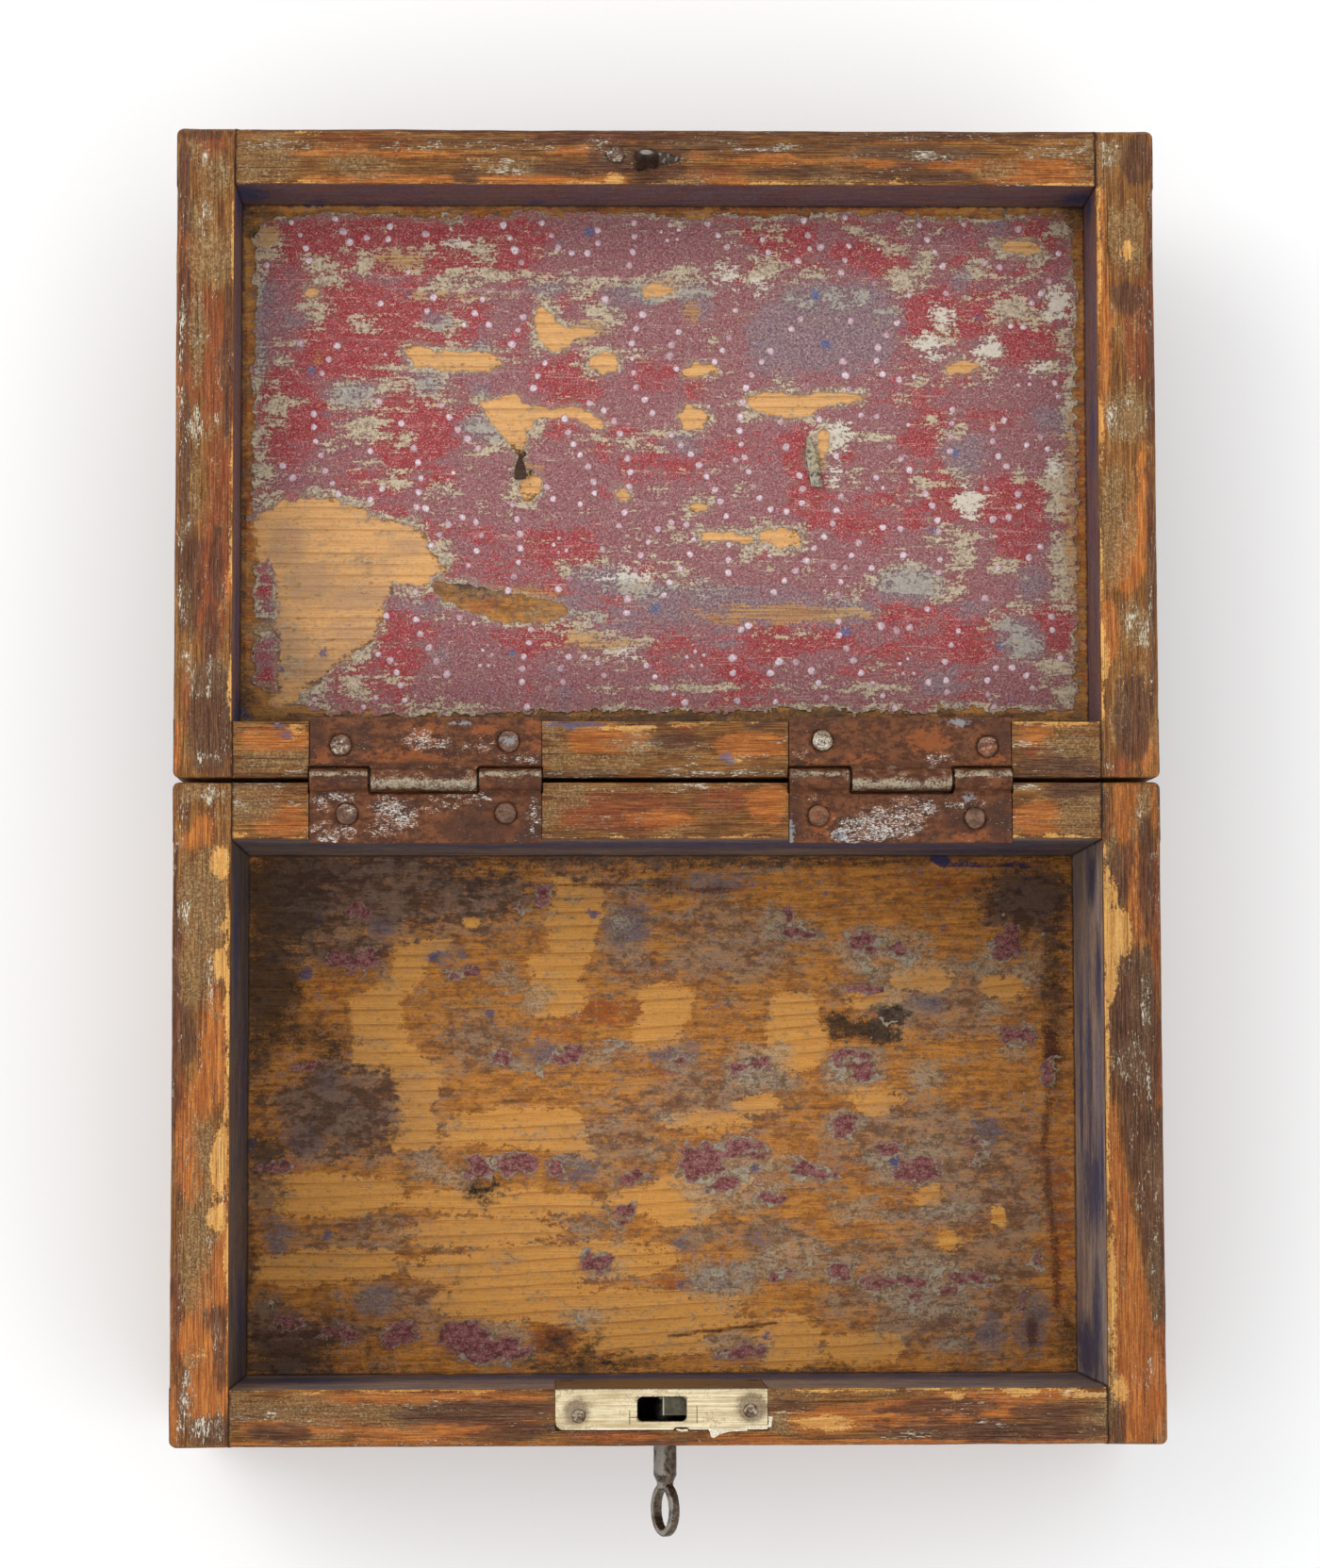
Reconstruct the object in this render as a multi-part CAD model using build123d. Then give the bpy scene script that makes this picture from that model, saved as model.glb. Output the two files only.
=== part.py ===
from build123d import *
import math
import os

os.makedirs("parts", exist_ok=True)

# Ditty box: a dovetailed pine box with a hinged lid, an iron drop handle on the lid, and a box lock with its key.
# Millimetres, +Z up. Origin: centre of the tray's underside. -Y is the front (lock), +Y the hinge side.
# The lid is drawn swung open by half a turn: its rim is up, level with the tray's rim, and its outside faces down.

# ---------------------------------------------------------------- driving dimensions
W = 300.0            # outside width of tray and lid
D = 200.0            # outside depth of tray and lid
T_SIDE = 18.0        # side boards
T_FB = 17.5          # front and back boards
BOARD_T = 12.0       # bottom board of the tray, top board of the lid
TRAY_H = 88.0        # tray, outside height
LID_H = 42.0         # lid, outside height
GAP = 1.2            # between the two back faces with the lid open
AXIS_LIFT = 0.35     # hinge axis above both rims

RIM = TRAY_H                       # height of both rims
AX_Y = D / 2 + GAP / 2             # hinge axis
AX_Z = RIM + AXIS_LIFT
LID_Y0 = D / 2 + GAP               # lid's back face
LID_Y1 = LID_Y0 + D                # lid's front face
LID_YC = (LID_Y0 + LID_Y1) / 2
LID_Z0 = RIM - LID_H               # lid's outside face (faces down when open)
LID_Z1 = LID_Z0 + BOARD_T          # inside face of the lid's top board

FLARE = 2.6          # dovetail flare over the thickness of a side board
SLICE = 1.2          # what the saw left of the dovetail pin at each rim
PIN_W = 3.0          # dovetail pins, at the outside face

LEAF_T = 2.0         # hinge leaves, let in flush with the rims
LEAF_OVER = 1.3      # how far a leaf stands over the inside edge
KN_R = 3.6           # hinge knuckle
BORE_R = 1.75
PINR = 1.70          # hinge pin
GROOVE_R = 4.0       # groove in the wood round the knuckles
HINGES = {           # leaf ends along X, and the lid knuckle's ends
    "left_hinge": (-108.7, -38.2, -90.2, -57.8),
    "right_hinge": (36.8, 104.7, 55.8, 86.4),
}
TRAY_NAILS = {"left_hinge": ((-97.2, 90.3), (-49.2, 90.5)), "right_hinge": ((45.8, 89.7), (93.5, 88.9))}
LID_NAILS = {"left_hinge": ((-99.1, 111.3), (-48.3, 112.4)), "right_hinge": ((47.0, 112.6), (97.3, 110.8))}
HEAD_R = 3.4         # hinge nail heads
SHANK = 2.5          # square shanks

# lock
PL_X0, PL_X1 = -34.2, 29.6         # selvedge and back plate
PL_Y0 = -95.2
PL_T = 1.6
PL_Z0 = 42.0
IN_Y = -D / 2 + T_FB               # inside face of the front board
SLOT = (-9.55, 5.15, -92.5, -85.2)
CASE = (-25.0, 23.2, -93.9, 46.0)  # x0, x1, front face, foot
CASE_T = 1.0
KEY_X, KEY_Z = -0.8, 68.0          # key axis
KEY_ANGLE = 32.0                   # bow and bit, clockwise from upright seen from the front
BARREL_R = 3.55
BIT_R = 8.8
BIT_T = 2.2
BOLT_TIP = -1.9
BOLT_Z0, BOLT_Z1 = 80.7, 85.9      # bolt head
HOOK = (-9.1, -6.4, -2.3)          # stem from, stem to, toe to
HOOK_Y = (-91.5, -86.8)            # with the lid shut
HOOK_TOE = (77.4, 80.2)            # with the lid shut

# handle
EYE_X = 45.0
EYE_R, EYE_HOLE, EYE_W = 3.7, 2.1, 3.6
EYE_Z = LID_Z0 - 4.2
HANDLE_R = 2.0
HANDLE_DROP = 32.0


# ---------------------------------------------------------------- helpers
def box(x0, x1, y0, y1, z0, z1):
    return Pos((x0 + x1) / 2, (y0 + y1) / 2, (z0 + z1) / 2) * Box(x1 - x0, y1 - y0, z1 - z0)


def cyl_x(r, x0, x1, y, z):
    return Pos((x0 + x1) / 2, y, z) * (Rot(0, 90, 0) * Cylinder(r, x1 - x0))


def cyl_y(r, y0, y1, x, z):
    return Pos(x, (y0 + y1) / 2, z) * (Rot(90, 0, 0) * Cylinder(r, y1 - y0))


def cyl_z(r, z0, z1, x, y):
    return Pos(x, y, (z0 + z1) / 2) * Cylinder(r, z1 - z0)


def prism(points, direction, length):
    """A polygon through 3-D points, swept straight."""
    return extrude(Face(Wire.make_polygon([Vector(*p) for p in points], close=True)), amount=length, dir=direction)


def group(shapes):
    return Compound(children=[s.solid() for s in shapes])


def put(shape, node):
    export_step(shape, f"parts/{node}.step")


def minus(shape, cutters):
    for c in cutters:
        shape = shape - c
    return shape


# ---------------------------------------------------------------- carcass boards
def front_or_back(y0, y1, z0, z1, tails):
    """A board with dovetails at both ends: tails are (low, high) at the end grain, narrower at the shoulder."""
    s = box(-W / 2 + T_SIDE, W / 2 - T_SIDE, y0, y1, z0, z1)
    for lo, hi in tails:
        for sx in (-1, 1):
            xo, xi = sx * W / 2, sx * (W / 2 - T_SIDE)
            s = s + prism([(xo, y0, lo), (xi, y0, lo + FLARE), (xi, y0, hi - FLARE), (xo, y0, hi)], (0, 1, 0), y1 - y0)
    return s


def tail_rows(z0, z1, count):
    """count tails between the board's free edge z0 and its rim z1, where the rim keeps only a slice."""
    lo, hi = z0 + 2.6, z1 - SLICE
    step = (hi - lo + PIN_W) / count
    return [(lo + i * step, lo + (i + 1) * step - PIN_W) for i in range(count)]


tray_tails = tail_rows(BOARD_T, RIM, 3)
lid_tails = tail_rows(LID_Z1, RIM, 1)

tray_front = front_or_back(-D / 2, -D / 2 + T_FB, BOARD_T, RIM, tray_tails)
tray_back = front_or_back(D / 2 - T_FB, D / 2, BOARD_T, RIM, tray_tails)
tray_sides = {}
for name, sx in (("left", -1), ("right", 1)):
    xa, xb = sorted((sx * W / 2, sx * (W / 2 - T_SIDE)))
    tray_sides[name] = box(xa, xb, -D / 2, D / 2, BOARD_T, RIM) - tray_front - tray_back
tray_bottom = box(-W / 2, W / 2, -D / 2, D / 2, 0, BOARD_T)

lid_back = front_or_back(LID_Y0, LID_Y0 + T_FB, LID_Z1, RIM, lid_tails)
lid_front = front_or_back(LID_Y1 - T_FB, LID_Y1, LID_Z1, RIM, lid_tails)
lid_sides = {}
for name, sx in (("left", -1), ("right", 1)):
    xa, xb = sorted((sx * W / 2, sx * (W / 2 - T_SIDE)))
    lid_sides[name] = box(xa, xb, LID_Y0, LID_Y1, LID_Z1, RIM) - lid_front - lid_back
lid_top = box(-W / 2, W / 2, LID_Y0, LID_Y1, LID_Z0, LID_Z1)


# ---------------------------------------------------------------- board nails (rectangular cut nails)
def cut_nail(x, y, z_face, up, along_x):
    """Head sunk 0.6 below the face; its shank is driven along +Z."""
    hx, hy = (2.4, 1.5) if along_x else (1.5, 2.4)
    qx, qy = (1.3, 1.0) if along_x else (1.0, 1.3)
    z0 = z_face + 0.6
    return box(x - hx, x + hx, y - hy, y + hy, z0, z0 + 1.0) + box(x - qx, x + qx, y - qy, y + qy, z0 + 1.0, z0 + up)


def nail_pocket(x, y, z_face, along_x):
    hx, hy = (2.4, 1.5) if along_x else (1.5, 2.4)
    return box(x - hx, x + hx, y - hy, y + hy, z_face, z_face + 0.6)


NAIL_X = (-128.0, -22.0, 22.0, 128.0)
NAIL_Y = (-52.0, 3.0, 55.0)
tray_spots = [(x, sy * (D / 2 - T_FB / 2), True) for x in NAIL_X for sy in (-1, 1)]
tray_spots += [(sx * (W / 2 - T_SIDE / 2), y, False) for sx in (-1, 1) for y in NAIL_Y]
tray_nails = [cut_nail(x, y, 0, 30, a) for x, y, a in tray_spots]
tray_pockets = [nail_pocket(x, y, 0, a) for x, y, a in tray_spots]
lid_spots = [(x, LID_YC + sy * (D / 2 - T_FB / 2), True) for x in NAIL_X for sy in (-1, 1)]
lid_spots += [(sx * (W / 2 - T_SIDE / 2), LID_YC + y, False) for sx in (-1, 1) for y in NAIL_Y]
lid_nails = [cut_nail(x, y, LID_Z0, 28, a) for x, y, a in lid_spots]
lid_pockets = [nail_pocket(x, y, LID_Z0, a) for x, y, a in lid_spots]


def nails_at(nails, spots, test):
    return [n for n, s in zip(nails, spots) if test(s)]


tray_bottom = minus(tray_bottom, tray_nails + tray_pockets)
tray_front = minus(tray_front, nails_at(tray_nails, tray_spots, lambda s: s[2] and s[1] < 0))
tray_back = minus(tray_back, nails_at(tray_nails, tray_spots, lambda s: s[2] and s[1] > 0))
tray_sides["left"] = minus(tray_sides["left"], nails_at(tray_nails, tray_spots, lambda s: not s[2] and s[0] < 0))
tray_sides["right"] = minus(tray_sides["right"], nails_at(tray_nails, tray_spots, lambda s: not s[2] and s[0] > 0))
lid_top = minus(lid_top, lid_nails + lid_pockets)
lid_back = minus(lid_back, nails_at(lid_nails, lid_spots, lambda s: s[2] and s[1] < LID_YC))
lid_front = minus(lid_front, nails_at(lid_nails, lid_spots, lambda s: s[2] and s[1] > LID_YC))
lid_sides["left"] = minus(lid_sides["left"], nails_at(lid_nails, lid_spots, lambda s: not s[2] and s[0] < 0))
lid_sides["right"] = minus(lid_sides["right"], nails_at(lid_nails, lid_spots, lambda s: not s[2] and s[0] > 0))


# ---------------------------------------------------------------- hinges
def hinge_nail(x, y, length):
    head = cyl_z(HEAD_R, RIM - 1.0, RIM, x, y) + Pos(x, y, RIM + 0.1) * Cone(HEAD_R, HEAD_R - 1.0, 0.2)
    h = SHANK / 2
    return head + box(x - h, x + h, y - h, y + h, RIM - length, RIM - 1.0)


def leaf_blank(side, x0, x1, k0, k1):
    """side +1: lid leaf with the middle knuckle; -1: tray leaf with the two end knuckles."""
    inner = (LID_Y0 + T_FB + LEAF_OVER) if side > 0 else (D / 2 - T_FB - LEAF_OVER)
    clear = AX_Y + side * (KN_R + 0.5)
    ya, yb = sorted((inner, clear))
    s = box(x0, x1, ya, yb, RIM - LEAF_T, RIM)
    spans = [(k0, k1)] if side > 0 else [(x0, k0 - 0.5), (k1 + 0.5, x1)]
    for a, b in spans:
        ya, yb = sorted((clear, AX_Y))
        s = s + box(a, b, ya, yb, RIM - LEAF_T, RIM) + cyl_x(KN_R, a, b, AX_Y, AX_Z)
    return s - cyl_x(BORE_R, x0 - 1, x1 + 1, AX_Y, AX_Z)


def head_seat(x, y):
    return cyl_z(HEAD_R + 0.06, RIM - 1.0, RIM + 1, x, y)


for name, (x0, x1, k0, k1) in HINGES.items():
    t_leaf = leaf_blank(-1, x0, x1, k0, k1)
    l_leaf = leaf_blank(1, x0, x1, k0, k1)
    # recess in both rims, and the groove for the knuckles
    tray_back = tray_back - box(x0, x1, D / 2 - T_FB - 1, D / 2 + 1, RIM - LEAF_T, RIM + 1)
    lid_back = lid_back - box(x0, x1, LID_Y0 - 1, LID_Y0 + T_FB + 1, RIM - LEAF_T, RIM + 1)
    groove = cyl_x(GROOVE_R, x0 - 0.3, x1 + 0.3, AX_Y, AX_Z)
    tray_back = tray_back - groove
    lid_back = lid_back - groove
    tn = [hinge_nail(x, y, 26) for x, y in TRAY_NAILS[name]]
    ln = [hinge_nail(x, y, 24) for x, y in LID_NAILS[name]]
    t_leaf = minus(t_leaf, tn + [head_seat(x, y) for x, y in TRAY_NAILS[name]])
    l_leaf = minus(l_leaf, ln + [head_seat(x, y) for x, y in LID_NAILS[name]])
    h = SHANK / 2
    tray_back = minus(tray_back, [box(x - h, x + h, y - h, y + h, RIM - 26, RIM) for x, y in TRAY_NAILS[name]])
    lid_back = minus(lid_back, [box(x - h, x + h, y - h, y + h, RIM - 24, RIM) for x, y in LID_NAILS[name]])
    put(t_leaf, f"{name}_tray_leaf")
    put(l_leaf, f"{name}_lid_leaf")
    put(cyl_x(PINR, x0 + 0.2, x1 - 0.2, AX_Y, AX_Z), f"{name}_pin")
    put(group(tn), f"{name}_tray_nails")
    put(group(ln), f"{name}_lid_nails")


# ---------------------------------------------------------------- lock
plate = box(PL_X0, PL_X1, PL_Y0, IN_Y, RIM - PL_T, RIM) + box(PL_X0, PL_X1, IN_Y - PL_T, IN_Y, PL_Z0, RIM - PL_T)
corner = plate.edges().filter_by(Axis.Z).sort_by_distance(Vector(PL_X0, PL_Y0, RIM))[0]
plate = fillet(corner, 2.6)
plate_seat = plate                       # what is let into the wood, without its holes
slot_solid = Pos((SLOT[0] + SLOT[1]) / 2, (SLOT[2] + SLOT[3]) / 2, RIM) * Box(SLOT[1] - SLOT[0], SLOT[3] - SLOT[2], 8)
slot_solid = fillet(slot_solid.edges().filter_by(Axis.Z), 1.6)
plate = plate - slot_solid
SELV_NAILS = ((-27.2, -90.8), (24.4, -89.4))
BACK_NAILS = ((-30.6, 50.0), (27.0, 50.0))


def selv_nail(x, y):
    head = cyl_z(2.1, RIM - 0.9, RIM + 0.15, x, y)
    return head + box(x - 0.8, x + 0.8, y - 0.8, y + 0.8, RIM - 20, RIM - 0.9)


def back_nail(x, z):
    """Driven into the inside face of the front board."""
    return cyl_y(1.9, IN_Y - 0.8, IN_Y + 0.15, x, z) + box(x - 0.9, x + 0.9, IN_Y - 14, IN_Y - 0.8, z - 0.9, z + 0.9)


selv_nails = [selv_nail(x, y) for x, y in SELV_NAILS]
back_nails = [back_nail(x, z) for x, z in BACK_NAILS]
plate = minus(plate, selv_nails + back_nails)

cx0, cx1, cyf, cz0 = CASE
PLATE_IN = IN_Y - PL_T                   # hidden side of the back plate
case = box(cx0, cx1, cyf, PLATE_IN, cz0, RIM - PL_T) - box(cx0 + CASE_T, cx1 - CASE_T, cyf + CASE_T, PLATE_IN + 1, cz0 + CASE_T, RIM)
feet = [box(cx0 - 5, cx0, PLATE_IN - 1.2, PLATE_IN, 60, 70), box(cx1, cx1 + 5, PLATE_IN - 1.2, PLATE_IN, 60, 70)]
case = case + feet[0] + feet[1]
KEYHOLE_R = 3.75


def keyhole(y0, y1):
    """Round hole for the barrel with a slot below it for the bit."""
    return cyl_y(KEYHOLE_R, y0, y1, KEY_X, KEY_Z) + box(KEY_X - 1.5, KEY_X + 1.5, y0, y1, KEY_Z - BIT_R - 0.5, KEY_Z)


case = case - keyhole(cyf - 1, cyf + CASE_T + 1)
RIVETS = (cx0 - 2.6, cx1 + 2.6)
rivets = [cyl_y(1.2, PLATE_IN - 1.9, IN_Y - 0.1, x, 65) for x in RIVETS]
rivet_holes = [cyl_y(1.25, PLATE_IN - 3, IN_Y + 1, x, 65) for x in RIVETS]
case = minus(case, rivet_holes)
plate = minus(plate, rivet_holes)

drill_pin = cyl_y(1.5, -97.0, IN_Y - 0.2, KEY_X, KEY_Z)
stump = cyl_y(1.2, -88.0, IN_Y - 0.2, 12.2, 76.0)
plate = plate - cyl_y(1.52, -100, IN_Y + 1, KEY_X, KEY_Z) - cyl_y(1.22, -100, IN_Y + 1, 12.2, 76.0)

# bolt: a head that crosses the slot, on a thin plate behind it with the key's notch and a guide slot
BY0, BY1 = PLATE_IN - 2.2, PLATE_IN - 0.2
bolt = box(-2.8, 18.3, BY0, BY1, 71.9, BOLT_Z1)
bolt = bolt + box(BOLT_TIP, 8.0, -90.8, BY1, BOLT_Z0, BOLT_Z1)
bolt = bolt - box(-3.0, BOLT_TIP, BY0 - 1, BY1 + 1, BOLT_Z0 - 0.6, BOLT_Z1 + 1)
bolt = bolt - box(KEY_X + 0.4, KEY_X + 6.0, BY0 - 1, BY1 + 1, 71.0, KEY_Z + 9.3)
bolt = bolt - box(8.8, 16.2, BY0 - 1, BY1 + 1, 74.7, 77.3) - cyl_y(1.3, BY0 - 1, BY1 + 1, 8.8, 76.0) - cyl_y(1.3, BY0 - 1, BY1 + 1, 16.2, 76.0)
# leaf spring that rubs under the bolt's tail
sp = [(22.2, 56.0), (22.2, 62.0), (19.2, 66.5), (14.4, 71.5)]
sp_in = [(21.5, 56.0), (21.5, 61.8), (18.6, 66.1), (13.9, 71.0)]
spring = prism([(x, BY0, z) for x, z in sp] + [(x, BY0, z) for x, z in reversed(sp_in)], (0, 1, 0), 1.8)

# key: barrel on the drill pin, bit, and an oval bow in one plane with the bit
a = math.radians(KEY_ANGLE)
ux, uz = math.sin(a), math.cos(a)        # bit and bow direction, outwards from the axis
key_plane = Plane(origin=(KEY_X, 0, KEY_Z), x_dir=(0, 1, 0), z_dir=(uz, 0, -ux))
BOW_Y, BOW_A, BOW_B, BOW_RIM, BOW_T = -120.3, 8.3, 6.4, 2.3, 3.2
key = cyl_y(BARREL_R, -110.0, -84.7, KEY_X, KEY_Z)
key = key + Pos(KEY_X, -111.0, KEY_Z) * (Rot(90, 0, 0) * Cone(BARREL_R, 2.6, 2.0))
key = key + cyl_y(2.6, -114.0, -112.0, KEY_X, KEY_Z)
bow = extrude(key_plane * Pos(BOW_Y, 0, 0) * Ellipse(BOW_A, BOW_B), amount=BOW_T / 2, both=True)
bow = fillet(bow.edges(), 1.0)
bow_hole = extrude(key_plane * Pos(BOW_Y, 0, 0) * Ellipse(BOW_A - BOW_RIM, BOW_B - BOW_RIM), amount=BOW_T, both=True)
key = (key + bow) - bow_hole
bit = key_plane * (Pos((-89.8 - 85.2) / 2, (2.6 + BIT_R) / 2 * (1 if key_plane.y_dir.Z > 0 else -1), 0) * Box(4.6, BIT_R - 2.6, BIT_T))
key = (key + bit) - cyl_y(1.58, -97.6, -84.0, KEY_X, KEY_Z)

# pockets for the lock in the front board
tray_front = tray_front - plate_seat
tray_front = tray_front - box(cx0 - 0.2, cx1 + 0.2, cyf - 0.2, PLATE_IN, cz0 - 0.2, RIM - PL_T)
for x0, x1 in ((cx0 - 5.3, cx0), (cx1, cx1 + 5.3)):
    tray_front = tray_front - box(x0, x1, PLATE_IN - 2.2, PLATE_IN, 59.7, 70.3)
tray_front = tray_front - keyhole(-101, cyf)
tray_front = minus(tray_front, [box(x - 0.8, x + 0.8, y - 0.8, y + 0.8, RIM - 20, RIM) for x, y in SELV_NAILS])
tray_front = minus(tray_front, [box(x - 0.9, x + 0.9, IN_Y - 14, IN_Y, z - 0.9, z + 0.9) for x, z in BACK_NAILS])

put(plate, "lock_plate")
put(case, "lock_case")
put(group(rivets), "lock_case_rivets")
put(drill_pin, "lock_drill_pin")
put(stump, "lock_guide_stump")
put(bolt, "lock_bolt")
put(spring, "lock_bolt_spring")
put(key, "key")
put(group(selv_nails), "lock_rim_nails")
put(group(back_nails), "lock_back_nails")

# hook on the lid's front rim: a stem with a toe that the bolt passes over, on a spike in the wood
hy0, hy1 = 2 * AX_Y - HOOK_Y[1], 2 * AX_Y - HOOK_Y[0]
tz0, tz1 = 2 * AX_Z - HOOK_TOE[1], 2 * AX_Z - HOOK_TOE[0]
hook = box(HOOK[0], HOOK[1], hy0, hy1, RIM, tz1) + box(HOOK[0], HOOK[2], hy0, hy1, tz0, tz1)
hook = fillet(hook.edges().filter_by(Axis.Y).sort_by(Axis.Z)[-2:], 1.0)
spike = box(HOOK[0], HOOK[1], hy0 + 0.4, hy1 - 0.4, RIM - 22, RIM)
hook = hook + spike
HN_X, HN_Y = -15.5, 293.4
hook_nail = cyl_z(2.8, RIM - 0.8, RIM + 0.3, HN_X, HN_Y) + box(HN_X - 1, HN_X + 1, HN_Y - 1, HN_Y + 1, RIM - 20, RIM - 0.8)
lid_front = lid_front - spike - hook_nail
put(hook, "lid_hook")
put(hook_nail, "lid_hook_nail")


# ---------------------------------------------------------------- drop handle
def staple(x, back_len, front_len):
    """A split pin: an eye outside, two legs through the board, their ends turned over along Y on the inside."""
    s = cyl_x(EYE_R, x - EYE_W / 2, x + EYE_W / 2, LID_YC, EYE_Z)
    s = s + box(x - EYE_W / 2, x + EYE_W / 2, LID_YC - 1.7, LID_YC + 1.7, EYE_Z, LID_Z1 + 1.9)
    s = s + box(x - EYE_W / 2, x + EYE_W / 2, LID_YC - back_len, LID_YC + front_len, LID_Z1 + 0.3, LID_Z1 + 1.9)
    return s - cyl_x(EYE_HOLE, x - 9, x + 9, LID_YC, EYE_Z)


left_staple = staple(-EYE_X, 4.2, 3.4)
right_staple = staple(EYE_X, 8.0, 8.0)
for x in (-EYE_X, EYE_X):
    lid_top = lid_top - box(x - EYE_W / 2, x + EYE_W / 2, LID_YC - 1.7, LID_YC + 1.7, LID_Z0, LID_Z1)
put(left_staple, "handle_left_staple")
put(right_staple, "handle_right_staple")

gz = EYE_Z - HANDLE_DROP
pts = [(49.6, LID_YC, EYE_Z), (39.8, LID_YC, EYE_Z), (37.0, LID_YC, gz), (-37.0, LID_YC, gz), (-39.8, LID_YC, EYE_Z), (-49.6, LID_YC, EYE_Z)]
path = FilletPolyline(*pts, radius=[2.6, 9.0, 9.0, 2.6])
handle = sweep(Plane(origin=pts[0], z_dir=(-1, 0, 0)) * Circle(HANDLE_R), path=path)
for sx in (-1, 1):
    handle = handle + cyl_x(2.7, 47.6 if sx > 0 else -49.6, 49.6 if sx > 0 else -47.6, LID_YC, EYE_Z)
grip = cyl_x(3.1, -15, 15, LID_YC, gz)
grip = grip + Pos(20, LID_YC, gz) * (Rot(0, 90, 0) * Cone(3.1, HANDLE_R, 10)) + Pos(-20, LID_YC, gz) * (Rot(0, -90, 0) * Cone(3.1, HANDLE_R, 10))
handle = handle + grip
put(handle, "lid_handle")

# ---------------------------------------------------------------- lining paper
PAPER = 0.2
px0, px1, py0, py1 = -124.5, 125.5, LID_Y0 + T_FB + 5.5, LID_Y1 - T_FB - 5.0
paper = prism(
    [(px0, py1, LID_Z1), (px1, py1, LID_Z1), (px1, py0, LID_Z1), (-112, py0, LID_Z1), (-97, py0 + 14, LID_Z1), (-84, py0 + 36, LID_Z1),
     (-72, py0 + 44, LID_Z1), (-78, py0 + 54, LID_Z1), (-104, py0 + 62, LID_Z1), (px0, py0 + 60, LID_Z1)],
    (0, 0, 1), PAPER)
for x in (-EYE_X, EYE_X):
    paper = paper - box(x - EYE_W / 2 - 0.6, x + EYE_W / 2 + 0.6, LID_YC - 2.4, LID_YC + 2.4, LID_Z1 - 1, LID_Z1 + 1)
put(paper, "lid_lining_paper")

REMNANTS = ((-92, -70, 26, 7), (-64, 48, 18, 5), (-25, 20, 9, 5), (-4, -18, 10, 4), (18, 20, 16, 6), (25, -20, 20, 9), (60, 22, 9, 5), (106, 28, 9, 5),
            (52, 60, 14, 5), (36, -68, 18, 5), (-14, -38, 8, 5), (-52, -20, 12, 5), (92, 58, 12, 5), (56, 4, 8, 4), (78, -10, 12, 5))
flakes = [extrude(Pos(x, y, BOARD_T) * Ellipse(rx, ry), amount=PAPER) for x, y, rx, ry in REMNANTS]
put(group(flakes), "tray_lining_remnants")

# ---------------------------------------------------------------- boards, with all their cuts made
put(tray_front, "tray_front_board")
put(tray_back, "tray_back_board")
put(tray_sides["left"], "tray_left_board")
put(tray_sides["right"], "tray_right_board")
put(tray_bottom, "tray_bottom_board")
put(group(tray_nails), "tray_bottom_nails")
put(lid_front, "lid_front_board")
put(lid_back, "lid_back_board")
put(lid_sides["left"], "lid_left_board")
put(lid_sides["right"], "lid_right_board")
put(lid_top, "lid_top_board")
put(group(lid_nails), "lid_top_nails")
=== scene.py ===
import bpy
import math
import numpy as np
from mathutils import Matrix, Vector


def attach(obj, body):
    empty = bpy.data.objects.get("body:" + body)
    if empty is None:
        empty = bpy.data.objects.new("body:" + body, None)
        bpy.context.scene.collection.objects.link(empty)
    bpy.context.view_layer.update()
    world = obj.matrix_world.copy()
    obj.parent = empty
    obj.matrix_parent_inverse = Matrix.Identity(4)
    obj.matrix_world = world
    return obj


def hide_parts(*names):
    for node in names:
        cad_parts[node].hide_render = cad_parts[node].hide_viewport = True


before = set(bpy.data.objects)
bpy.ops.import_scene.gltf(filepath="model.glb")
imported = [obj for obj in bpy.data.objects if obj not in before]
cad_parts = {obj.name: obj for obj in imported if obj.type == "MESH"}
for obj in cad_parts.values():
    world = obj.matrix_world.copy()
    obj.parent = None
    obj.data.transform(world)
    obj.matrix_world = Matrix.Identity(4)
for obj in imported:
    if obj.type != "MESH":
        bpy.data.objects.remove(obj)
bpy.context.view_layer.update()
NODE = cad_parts
MM = 0.001

# ------------------------------------------------------------------ the box's measures, in millimetres
W2, D2 = 150.0, 100.0
TS, TF, BT = 18.0, 17.5, 12.0
RIM = 88.0
LY0, LY1 = 101.2, 301.2
LYC = (LY0 + LY1) / 2
LZ0, LZ1 = 46.0, 58.0
XI = W2 - TS
AXY, AXZ = 100.6, 88.35
FLARE, SLICE, PIN_W = 2.6, 1.2, 3.0
HINGES = {"left_hinge": (-108.7, -38.2, -90.2, -57.8), "right_hinge": (36.8, 104.7, 55.8, 86.4)}

# ------------------------------------------------------------------ camera
CAM_C = np.array([-34.96, -6.39, 1408.58])
CAM_R = np.array([[0.99969724, -0.00229852, 0.0244981], [0.00033579, 0.99680907, 0.07982214], [-0.02460341, -0.07978975, 0.99650804]])
CAM_F = 4630.86          # in pixels of a 1400 x 1663 frame

cam_data = bpy.data.cameras.new("camera")
cam = bpy.data.objects.new("camera", cam_data)
bpy.context.scene.collection.objects.link(cam)
cam_data.sensor_width = 36.0
cam_data.lens = CAM_F * 36.0 / 1663.0
cam_data.clip_start, cam_data.clip_end = 0.05, 20.0
q, _ = np.linalg.qr(CAM_R.T)
q = q * np.sign(np.sum(q * CAM_R.T, axis=0))
m = Matrix.Identity(4)
for i in range(3):
    for j in range(3):
        m[i][j] = float(q[i, j])
    m[i][3] = float(CAM_C[i]) * MM
cam.matrix_world = m
bpy.context.scene.camera = cam


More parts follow.
